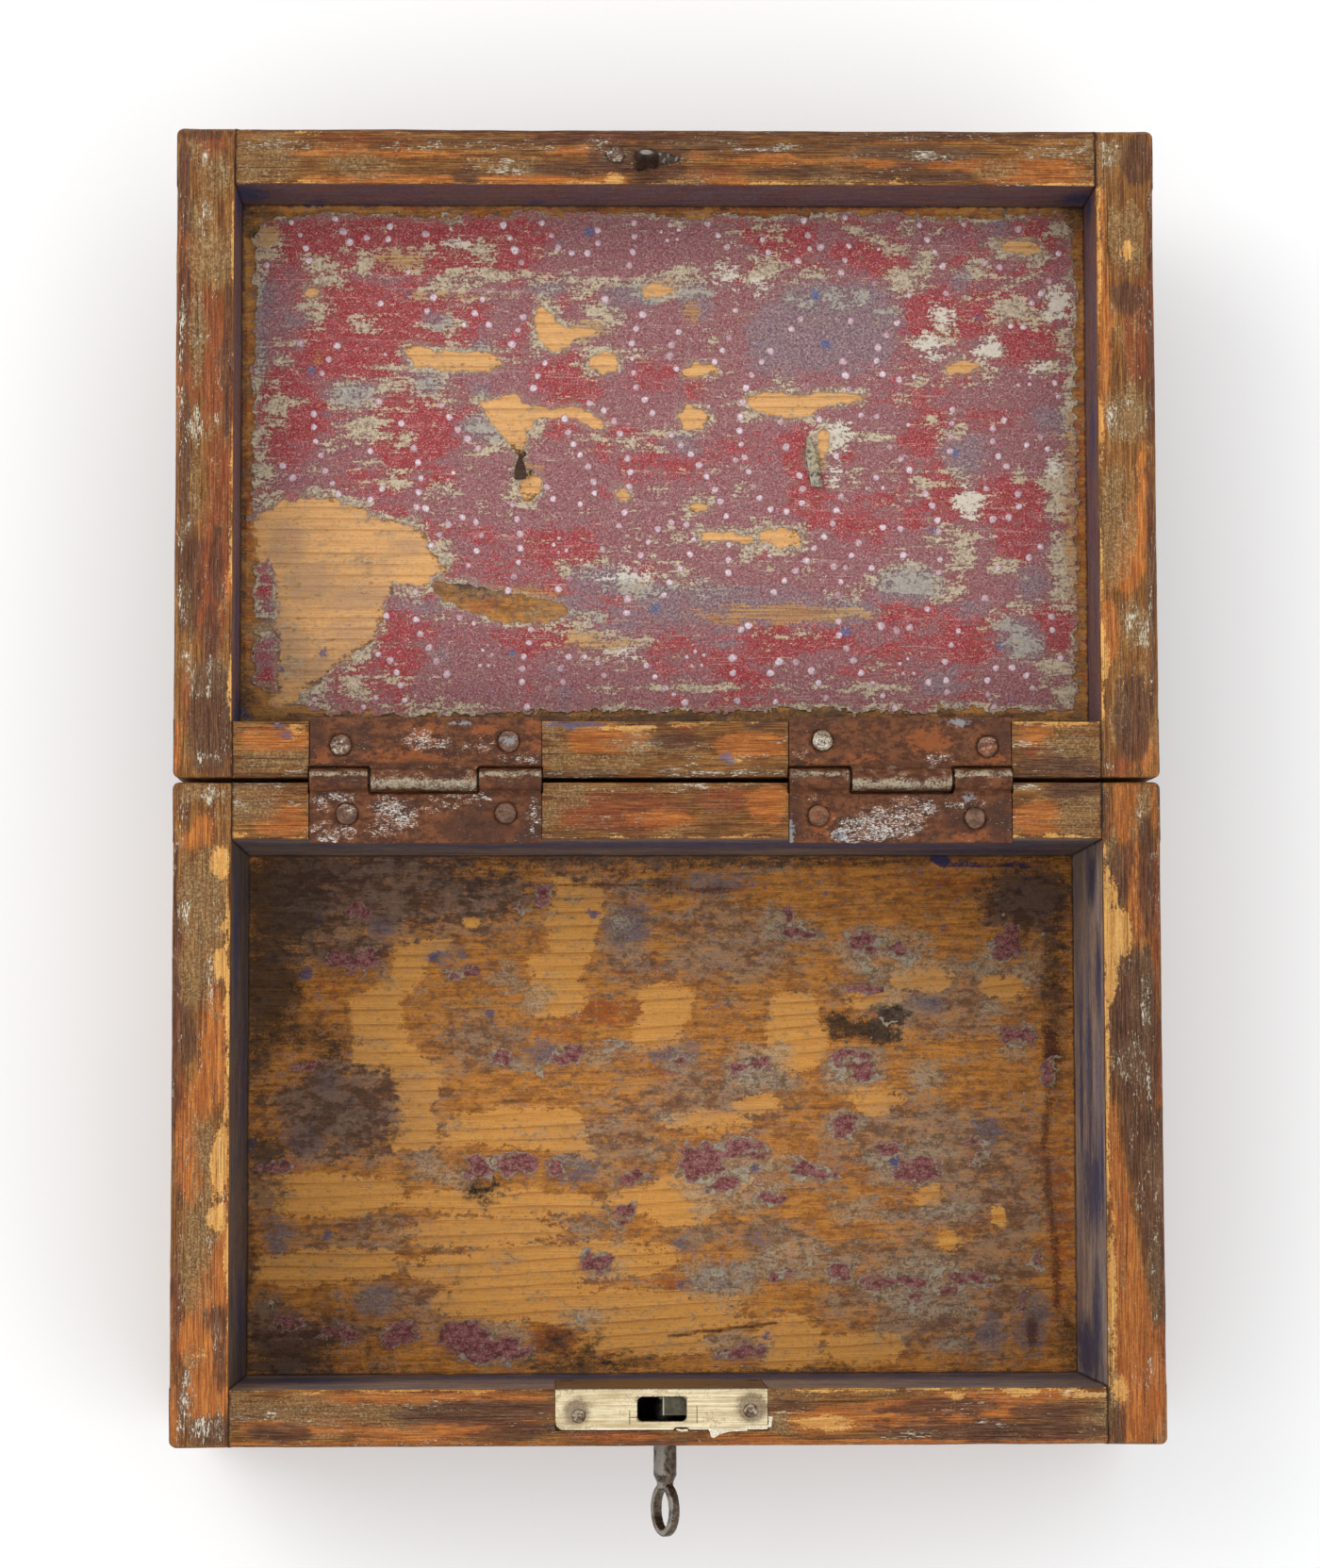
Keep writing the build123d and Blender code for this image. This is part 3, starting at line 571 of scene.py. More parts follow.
def floor_material(name, seed, lid):
    """The wide boards: rubbed pine inside, the remains of a lining and of dirt on it, with painted shade in the tray
    floor's corners and along the feet of its walls; the outside is varnished like the rest.
    """
    m = bpy.data.materials.new(name)
    n = Nodes(m)
    L = lambda s, t: (s, t, t)
    ph = n.math("FRACT", n.attr("ring"))
    late = n.mul(n.step(ph, 0.30, 0.93), n.step(ph, 1.0, 0.955))
    line = n.mul(n.step(ph, 0.70, 0.93), n.step(ph, 1.0, 0.95))
    fibre = n.nz(L(18.0, 0.30), 4.0, 0.72, seed + 3)
    fib2 = n.nz(L(12.0, 1.1), 4.0, 0.65, seed + 4)
    fine = n.nz(0.7, 4.0, 0.78, seed + 2)
    med = n.nz((2.8, 1.8, 3.0), 5.0, 0.72, seed + 1)
    big = n.nz((20.0, 8.0, 9.0), 5.0, 0.62, seed + 5)
    big2 = n.nz((9.0, 4.4, 9.0), 5.0, 0.68, seed + 6)
    big3 = n.nz((7.0, 4.0, 9.0), 5.0, 0.68, seed + 7)
    f1, f2 = n.step(fibre, -0.2, 1.7), n.step(fib2, -1.2, 1.2)
    rag = n.add(n.mul(big2, 0.7), n.add(n.mul(med, 0.7), n.mul(fine, 0.45)))
    rag2 = n.add(n.mul(big3, 0.9), n.add(n.mul(med, -0.7), n.mul(fine, 0.55)))

    def mark(key, r, amp=1.0, w=0.5, off=0.0):
        return n.step(n.add(n.attr(key), n.add(n.mul(r, amp), off)), -w, w)

    lv = n.mul(line, n.step(n.nz((24.0, 5.0, 9.0), 3.0, 0.6, seed + 8), -1.6, 0.6))
    wood = n.mix(n.mul(late, 0.45), lin(226, 172, 112) if lid else lin(224, 160, 82), lin(206, 148, 88) if lid else lin(206, 138, 62))
    wood = n.mix(n.mul(lv, 0.4 if lid else 0.55), wood, lin(160, 104, 56))
    wood = n.mix(n.mul(f1, 0.3), wood, lin(190, 136, 84) if lid else lin(186, 126, 66))
    wood = n.mix(n.mul(n.step(n.add(med, n.mul(fine, 0.6)), 0.4, 2.2), 0.4), wood, lin(172, 134, 96) if lid else lin(178, 120, 66))
    if lid:
        st = n.mix(n.step(n.add(big2, n.mul(f2, 0.8)), -1.4, 1.6), lin(118, 78, 38), lin(176, 122, 58))
        st = n.mix(n.mul(n.step(n.add(big3, n.mul(med, 0.5)), 0.0, 1.5), 0.6), st, lin(98, 66, 40))
    else:
        st = n.mix(n.step(n.add(n.mul(fib2, 0.6), n.add(n.mul(big2, 0.6), n.mul(med, 0.4))), -1.5, 1.5), lin(146, 86, 38), lin(206, 136, 60))
        st = n.mix(n.mul(n.step(n.add(big3, n.mul(med, 0.5)), 0.3, 1.8), 0.6), st, lin(196, 132, 42))
    st = n.mix(n.mul(lv, 0.16 if lid else 0.36), st, lin(112, 66, 34))
    st = n.mix(n.mul(f1, 0.3), st, lin(136, 84, 44))
    # the dull stained zones are everywhere but on the rubbed patches
    stain = n.sub(1.0, mark("bare", rag, 0.8, 0.55))
    col = n.mix(n.mul(stain, 0.85), wood, st)
    rust = n.mul(n.step(n.add(n.mul(big3, 0.8), n.add(n.mul(n.attr("rust"), 0.45), n.add(n.mul(med, 0.8), n.mul(fine, 0.35)))), -0.1, 1.4), 0.75)
    col = n.mix(n.mul(rust, stain), col, lin(166, 80, 28))
    fv = n.add(n.mul(n.attr("film"), 0.75), n.add(n.mul(big, 0.8), n.add(n.mul(rag2, 0.8), n.mul(fine, 0.5))))
    film = n.mul(n.step(fv, -1.3, 1.8), n.add(0.25, n.mul(stain, 0.75)))
    fcol = n.mix(n.step(n.add(big2, n.mul(med, 0.6)), -1.2, 1.2), lin(108, 82, 68), lin(158, 132, 108))
    col = n.mix(n.mul(film, 0.74), col, fcol)
    mot = n.nz((4.6, 2.4, 4.0), 5.0, 0.75, seed + 9)
    col = n.mix(n.mul(n.mul(n.step(n.add(mot, n.mul(fine, 0.4)), 0.6, 1.8), stain), 0.6), col, lin(212, 138, 58))
    col = n.mix(n.mul(n.mul(n.step(n.add(n.mul(mot, -1.0), n.mul(fine, 0.4)), 0.5, 1.9), stain), 0.62), col, lin(92, 66, 52))
    sv = n.add(n.mul(n.attr("slate"), 0.7), n.add(n.mul(big3, -0.8), n.add(n.mul(med, 0.9), n.mul(fine, 0.55))))
    slate = n.mul(n.step(sv, -0.7, 1.3), n.add(0.4, n.mul(stain, 0.6)))
    col = n.mix(n.mul(slate, 0.7), col, n.mix(n.step(fine, -0.8, 0.8), lin(86, 80, 92), lin(116, 112, 120)))
    # small slate and blue specks everywhere on the dull wood
    spk = n.mul(n.step(n.add(med, n.mul(fine, 0.5)), 1.35, 2.1), n.add(0.25, n.mul(stain, 0.75)))
    col = n.mix(n.mul(spk, 0.55), col, lin(84, 80, 104))
    cream = mark("cream", n.add(n.mul(rag2, 0.9), n.mul(big, 0.5)), 1.7, 2.6, -0.3)
    col = n.mix(n.mul(cream, 0.62), col, n.mix(n.step(n.add(n.mul(fine, 0.6), n.mul(med, 0.8)), -1.5, 1.3), lin(124, 102, 80), lin(180, 166, 142)))
    col = n.mix(n.mul(mark("maroon", rag, 1.3, 1.2, -0.4), 0.5), col, n.mix(n.step(med, -1.0, 1.0), lin(106, 50, 54), lin(138, 74, 76)))
    col = n.mix(n.mul(mark("blue", rag, 0.6, 0.5), 0.75), col, lin(62, 76, 118))
    # dark and murk: dirt, and on the tray's floor also painted shade in the corners and along the feet of the walls,
    # heaviest at the back left
    dk = n.step(n.add(n.attr("dark"), n.add(n.mul(rag2, 1.25), n.mul(fine, 0.7))), -4.2, 4.6)
    col = n.mix(n.mul(dk, 0.84), col, n.mix(n.step(n.add(big2, n.mul(f1, 1.2)), -1.2, 1.8), lin(74, 60, 50), lin(42, 35, 31)))
    grime_shade_mask = n.step(n.add(n.mul(n.attr("murk"), 0.5), n.add(n.mul(rag2, 0.9), n.mul(fine, 0.5))), -1.3, 2.2)
    col = n.mix(n.mul(grime_shade_mask, 0.74), col, n.mix(n.step(n.add(big2, n.mul(med, 0.7)), -1.4, 1.4), lin(82, 60, 50), lin(116, 92, 80)))
    chip = n.step(n.add(n.attr("chip"), n.add(n.mul(med, 0.2), n.mul(fine, 0.15))), -0.3, 0.3)
    col = n.mix(n.mul(chip, 0.85), col, n.mix(late, lin(226, 166, 84), lin(206, 136, 58)))
    brim = n.step(n.add(n.attr("brim"), n.add(n.mul(rag, 0.4), n.mul(fine, 0.35))), -0.7, 0.6)
    col = n.mix(n.mul(brim, 0.78), col, lin(80, 44, 36))
    ink = n.step(n.add(n.attr("ink"), n.add(n.mul(rag2, 0.6), n.mul(fine, 0.4))), -0.9, 1.1)
    col = n.mix(n.mul(ink, 0.86), col, n.mix(n.step(fine, -1.0, 1.0), lin(36, 32, 30), lin(60, 50, 42)))
    split = n.step(n.add(n.attr("split"), n.mul(fine, 0.1)), -0.4, 0.2)
    col = n.mix(n.mul(split, 0.8), col, lin(58, 32, 24))
    bs = n.step(n.add(n.attr("smear"), n.mul(fine, 0.15)), -0.35, 0.35)
    col = n.mix(n.mul(bs, 0.85), col, lin(44, 48, 92))
    # outside face
    o1 = n.step(n.nz(L(60.0, 12.0), 4.0, 0.6, seed + 30), -1.2, 1.2)
    outc = n.mix(o1, lin(116, 72, 42), lin(150, 96, 52))
    outc = n.mix(n.mul(line, 0.4), outc, lin(88, 52, 34))
    outc = n.mix(n.mul(f1, 0.4), outc, lin(82, 52, 38))
    w = n.step(n.nz(L(30.0, 7.0), 5.0, 0.66, seed + 31), 0.7, 1.9)
    outc = n.mix(n.mul(w, 0.7), outc, n.mix(late, lin(192, 122, 62), lin(160, 92, 46)))
    g = n.step(n.add(n.nz(L(20.0, 8.0), 5.0, 0.7, seed + 32), n.mul(fine, 0.5)), 0.8, 2.0)
    outc = n.mix(n.mul(g, 0.6), outc, lin(126, 108, 78))
    fl = n.step(n.add(n.nz(L(3.0, 0.4), 4.0, 0.7, seed + 33), n.mul(big, 0.5)), 2.2, 3.0)
    outc = n.mix(n.mul(fl, 0.75), outc, lin(206, 198, 182))
    ox = n.attr("edge")
    outc = n.mix(n.mul(n.step(n.add(ox, n.mul(med, 0.16)), 0.2, 1.0), 0.65), outc, lin(186, 118, 62))
    col = n.mix(n.attr("outer"), col, outc)
    jn = n.mul(n.step(n.add(n.attr("joint"), n.mul(med, 0.14)), 0.35, 1.0), 0.8)
    col = n.mix(jn, col, lin(46, 34, 26))
    col = n.value(col, n.add(1.0, n.add(n.mul(fine, 0.06), n.add(n.mul(fibre, -0.04), n.mul(med, 0.04)))))
    h = n.add(n.mul(fibre, -0.08), n.mul(line, -0.35))
    h = n.add(h, n.mul(fine, 0.05))
    h = n.add(h, n.add(n.mul(cream, 0.25), n.mul(med, 0.06)))
    n.finish(col, n.remap(n.noise(4.0, seed=seed + 17), 0.3, 0.7, 0.5, 0.68), n.bump(h, 0.24, 0.85), spec=0.1)
    return m


# ------------------------------------------------------------------ carcass boards
def tails(z0, z1, count):
    lo, hi = z0 + 2.6, z1 - SLICE
    st = (hi - lo + PIN_W) / count
    return [(lo + i * st, lo + (i + 1) * st - PIN_W) for i in range(count)]


TRAY_TAILS, LID_TAILS = tails(BT, RIM, 3), tails(LZ1, RIM, 1)


def in_tail(z, rows):
    r = np.zeros(z.shape, bool)
    for lo, hi in rows:
        r |= (z > lo) & (z < hi)
    return r


NAIL_X, NAIL_Y = (-128.0, -22.0, 22.0, 128.0), (-52.0, 3.0, 55.0)
TRAY_SPOTS = [(x, sy * (D2 - TF / 2), 2.4, 1.5) for x in NAIL_X for sy in (-1, 1)] + [(sx * (W2 - TS / 2), y, 1.5, 2.4) for sx in (-1, 1) for y in NAIL_Y]
LID_SPOTS = [(x, y + LYC, a, b) for x, y, a, b in TRAY_SPOTS]
PLX0, PLX1, PLY0 = -34.2, 29.6, -95.2
KX, KZ = -0.8, 68.0


def shape_tray_bottom(x, y, z):
    s = (np.abs(x) < W2) & (np.abs(y) < D2) & (z > 0) & (z < BT)
    for nx, ny, a, b in TRAY_SPOTS:
        s &= ~((np.abs(x - nx) < a) & (np.abs(y - ny) < b) & (z < 0.6))
    return s


def fb(y0, y1, z0, rows):
    def f(x, y, z):
        body = (np.abs(x) < XI) & (z > z0) & (z < RIM)
        tail = (np.abs(x) >= XI) & (np.abs(x) < W2) & in_tail(z, rows)
        return (body | tail) & (y > y0) & (y < y1)
    return f


def side(sx, y0, y1, z0, rows):
    def f(x, y, z):
        s = (sx * x > XI) & (sx * x < W2) & (y > y0) & (y < y1) & (z > z0) & (z < RIM)
        return s & ~(in_tail(z, rows) & ((y < y0 + TF) | (y > y1 - TF)))
    return f


def hinge_cut(y_in, outer):
    """Recesses for the leaves and knuckles; outer, meant as +1 if the back face is towards +Y, is not used."""
    def f(x, y, z):
        c = np.zeros(x.shape, bool)
        for x0, x1, _, _ in HINGES.values():
            c |= (x > x0) & (x < x1) & (z > RIM - 2.0)
            c |= (x > x0 - 0.3) & (x < x1 + 0.3) & (np.abs(y - AXY) < 4.0) & (z > AXZ - 4.0)
        return c
    return f


_front0 = fb(-D2, -D2 + TF, BT, TRAY_TAILS)
_back0 = fb(D2 - TF, D2, BT, TRAY_TAILS)
_lback0 = fb(LY0, LY0 + TF, LZ1, LID_TAILS)
_lfront0 = fb(LY1 - TF, LY1, LZ1, LID_TAILS)
_cut_t, _cut_l = hinge_cut(0, 1), hinge_cut(0, -1)


def lock_cut(x, y, z):
    in_x = (x > PLX0) & (x < PLX1)
    c = in_x & (y > PLY0) & (z > RIM - 1.6)
    c |= in_x & (y > -84.1) & (z > 42.0)
    c |= (x > -25.2) & (x < 23.4) & (y > -94.1) & (y < -84.1) & (z > 45.8)
    c |= (np.maximum(np.abs(x - KX), np.abs(z - KZ)) < 3.75) & (y < -93)
    c |= (np.abs(x - KX) < 1.5) & (z < KZ) & (z > KZ - 9.3) & (y < -93)
    return c


SHAPES = {
    "tray_bottom_board": shape_tray_bottom,
    "tray_front_board": lambda x, y, z: _front0(x, y, z) & ~lock_cut(x, y, z),
    "tray_back_board": lambda x, y, z: _back0(x, y, z) & ~_cut_t(x, y, z),
    "tray_left_board": side(-1, -D2, D2, BT, TRAY_TAILS),
    "tray_right_board": side(1, -D2, D2, BT, TRAY_TAILS),
    "lid_back_board": lambda x, y, z: _lback0(x, y, z) & ~_cut_l(x, y, z),
    "lid_front_board": _lfront0,
    "lid_left_board": side(-1, LY0, LY1, LZ1, LID_TAILS),
    "lid_right_board": side(1, LY0, LY1, LZ1, LID_TAILS),
}


def shape_lid_top(x, y, z):
    s = (np.abs(x) < W2) & (y > LY0) & (y < LY1) & (z > LZ0) & (z < LZ1)
    for nx, ny, a, b in LID_SPOTS:
        s &= ~((np.abs(x - nx) < a) & (np.abs(y - ny) < b) & (z < LZ0 + 0.6))
    return s


SHAPES["lid_top_board"] = shape_lid_top
TRAY_BOARDS = [k for k in SHAPES if k.startswith("tray")]
LID_BOARDS = [k for k in SHAPES if k.startswith("lid")]

STEP = 1.25
XS_ENDS = [-W2, -XI, XI, W2] + near(-W2, 1) + near(W2, -1) + near(-XI, -1, (0.4, 1.0)) + near(XI, 1, (0.4, 1.0))
HX = [v for h in HINGES.values() for v in (h[0] - 0.3, h[0], h[1], h[1] + 0.3)]


def grid_of(name):
    lid = name.startswith("lid")
    z_tails = [v for r in (LID_TAILS if lid else TRAY_TAILS) for v in r]
    y_lo, y_hi = (LY0, LY1) if lid else (-D2, D2)
    zb = LZ0 if lid else 0.0
    zw = LZ1 if lid else BT
    ex, ey, ez = list(XS_ENDS), near(y_lo, 1) + near(y_hi, -1) + [y_lo + TF, y_hi - TF], near(RIM, -1) + near(zb, 1) + z_tails
    if "bottom" in name or "top" in name:
        spots = LID_SPOTS if lid else TRAY_SPOTS
        ex += [v for s in spots for v in (s[0] - s[2], s[0] + s[2])]
        ey += [v for s in spots for v in (s[1] - s[3], s[1] + s[3])]
        return planes(-W2, W2, STEP, ex), planes(y_lo, y_hi, STEP, ey), planes(zb, zw, 3.0, near(zb, 1) + [zb + 0.6, zw - 1.5])
    if "front" in name or "back" in name:
        low = (name == "tray_front_board") or (name == "lid_back_board")
        y0, y1 = (y_lo, y_lo + TF) if low else (y_hi - TF, y_hi)
        ey = near(y0, 1) + near(y1, -1)
        if "back" in name:
            ex += HX
            ey += [AXY - 4.0, AXY + 4.0]
            ez += [RIM - 2.0, AXZ - 4.0]
        if name == "tray_front_board":
            ex += [PLX0, PLX1, -25.2, 23.4, KX - 3.75, KX + 3.75, KX - 1.5, KX + 1.5]
            ey += [PLY0, -84.1, -94.1]
            ez += [RIM - 1.6, 42.0, 45.8, KZ - 3.75, KZ + 3.75, KZ - 9.3]
        return planes(-W2, W2, STEP, ex), planes(y0, y1, 2.0, ey), planes(zw, RIM, STEP, ez)
    x0, x1 = (-W2, -XI) if "left" in name else (XI, W2)
    return planes(x0, x1, 2.0, near(-W2, 1) + near(W2, -1) + near(-XI, -1) + near(XI, 1)), planes(y_lo, y_hi, STEP, ey), planes(zw, RIM, STEP, ez)


def shear(v, lid):
    """Slants the seams of the dovetails: the tails narrow towards their shoulders."""
    rows = LID_TAILS if lid else TRAY_TAILS
    z0 = LZ1 if lid else BT
    ax = np.abs(v[:, 0])
    s = np.where(ax >= XI, FLARE * (W2 - ax) / TS, FLARE * np.clip(1 - (XI - ax) / 5.0, 0, 1))
    knots = [z0] + [z for r in rows for z in r] + [RIM]
    moves = [0.0] + [m for _ in rows for m in (1.0, -1.0)] + [0.0]
    wall = (v[:, 2] >= z0)
    v[:, 2] += np.where(wall, np.interp(v[:, 2], knots, moves) * s, 0)


def keyhole_round(v):
    """The square opening left in the cells becomes the round hole for the key."""
    dx, dz = v[:, 0] - KX, v[:, 2] - KZ
    mx = np.maximum(np.abs(dx), np.abs(dz))
    e = np.hypot(dx, dz)
    sel = (v[:, 1] < -93) & (mx > 0.5) & (mx < 9.0) & ((dz > -3.8) | (np.abs(dx) > 1.6))
    t = np.clip((mx - 3.75) / 5.25, 0, 1)
    k = np.where(sel, (mx / np.maximum(e, 1e-6)) * (1 - t) + t, 1.0)
    v[:, 0] = KX + dx * k
    v[:, 2] = KZ + dz * k



def board(name, mat):
    lid = name.startswith("lid")
    xs, ys, zs = grid_of(name)
    mates = [SHAPES[k] for k in (LID_BOARDS if lid else TRAY_BOARDS) if k != name]

    def other(x, y, z):
        r = np.zeros(x.shape, bool)
        for f in mates:
            r |= f(x, y, z)
        return r

    v, quads, axis, hidden = cells(xs, ys, zs, SHAPES[name], other)
    flat = v.copy()
    shear(v, lid)
    if name == "tray_front_board":
        keyhole_round(v)
    y0, y1 = (LY0, LY1) if lid else (-D2, D2)
    zb = LZ0 if lid else 0.0
    # worn arrises: the outside of the whole carcass, then the inside edge of the rim
    p1 = v * np.array([1, 1, 1])
    wv = fbm(p1, 22.0, 3 if lid else 5, 3)
    r_rim = np.clip(1.7 + 1.3 * wv, 0.6, 3.2)
    r_cor = np.clip(2.4 + 1.2 * wv, 1.0, 4.0)
    r_bot = np.clip(1.6 + 1.2 * wv, 0.5, 3.0)
    for sx in (-1, 1):
        for yy, sy in ((y0, -1), (y1, 1)):
            round_edge(v, 0, sx * W2, sx, 1, yy, sy, r_cor)
    for sx in (-1, 1):
        round_edge(v, 0, sx * W2, sx, 2, RIM, 1, r_rim)
        round_edge(v, 0, sx * W2, sx, 2, zb, -1, r_bot)
    for yy, sy in ((y0, -1), (y1, 1)):
        hinge_side = (yy == LY0) or (yy == D2)
        round_edge(v, 1, yy, sy, 2, RIM, 1, r_rim * (0.55 if hinge_side else 1.0))
        round_edge(v, 1, yy, sy, 2, zb, -1, r_bot)
    inner_r = np.clip(0.65 + 0.5 * wv, 0.25, 1.3)
    if "left" in name or "right" in name:
        sx = -1 if "left" in name else 1
        k = smooth(-0.5, 1.0, np.minimum(v[:, 1] - (y0 + TF), (y1 - TF) - v[:, 1]))
        round_edge(v, 0, sx * XI, -sx, 2, RIM, 1, inner_r * k)
    elif "front" in name or "back" in name:
        low = (name == "tray_front_board") or (name == "lid_back_board")
        yi, si = (y0 + TF, 1) if low else (y1 - TF, -1)
        k = smooth(-0.5, 1.0, XI - np.abs(v[:, 0]))
        round_edge(v, 1, yi, si, 2, RIM, 1, inner_r * k)
    # seams
    hd = vertex_dirs(len(v), quads, axis, hidden)
    v -= hd * (0.07 + 0.05 * noise(flat, 9.0, 11)[:, None])
    # hand-planed, worn surfaces: long soft ripples, fine ridges along the grain, small dents
    vis = vertex_dirs(len(v), quads, axis, ~hidden)
    ln = np.linalg.norm(vis, axis=1)
    vis = vis / np.maximum(ln, 1)[:, None]
    g = np.array([40.0, 5.0, 5.0]) if ("front" in name or "back" in name or "top" in name or "bottom" in name) else np.array([5.0, 40.0, 5.0])
    h = 0.16 * fbm(flat, g, 21, 3) + 0.10 * fbm(flat, 34.0, 22, 2)
    dents = np.minimum(0, noise(flat, 7.0, 23) + 0.62) * 0.5
    h = h + dents
    fixed = (ln < 0.5) | (np.abs(hd).sum(1) > 0)
    h = np.where(fixed, 0.10 * fbm(flat, g, 21, 3) * 0, h - 0.16)
    if name == "tray_bottom_board":
        h = np.where(flat[:, 2] < 0.01, np.minimum(h, -0.02), h)
    v += vis * h[:, None]
    attrs = marks(name, flat, lid)
    ob = make(name + "_aged", v, quads, "lid" if lid else "tray", mat, attrs, sharp=38)
    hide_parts(name)
    return ob


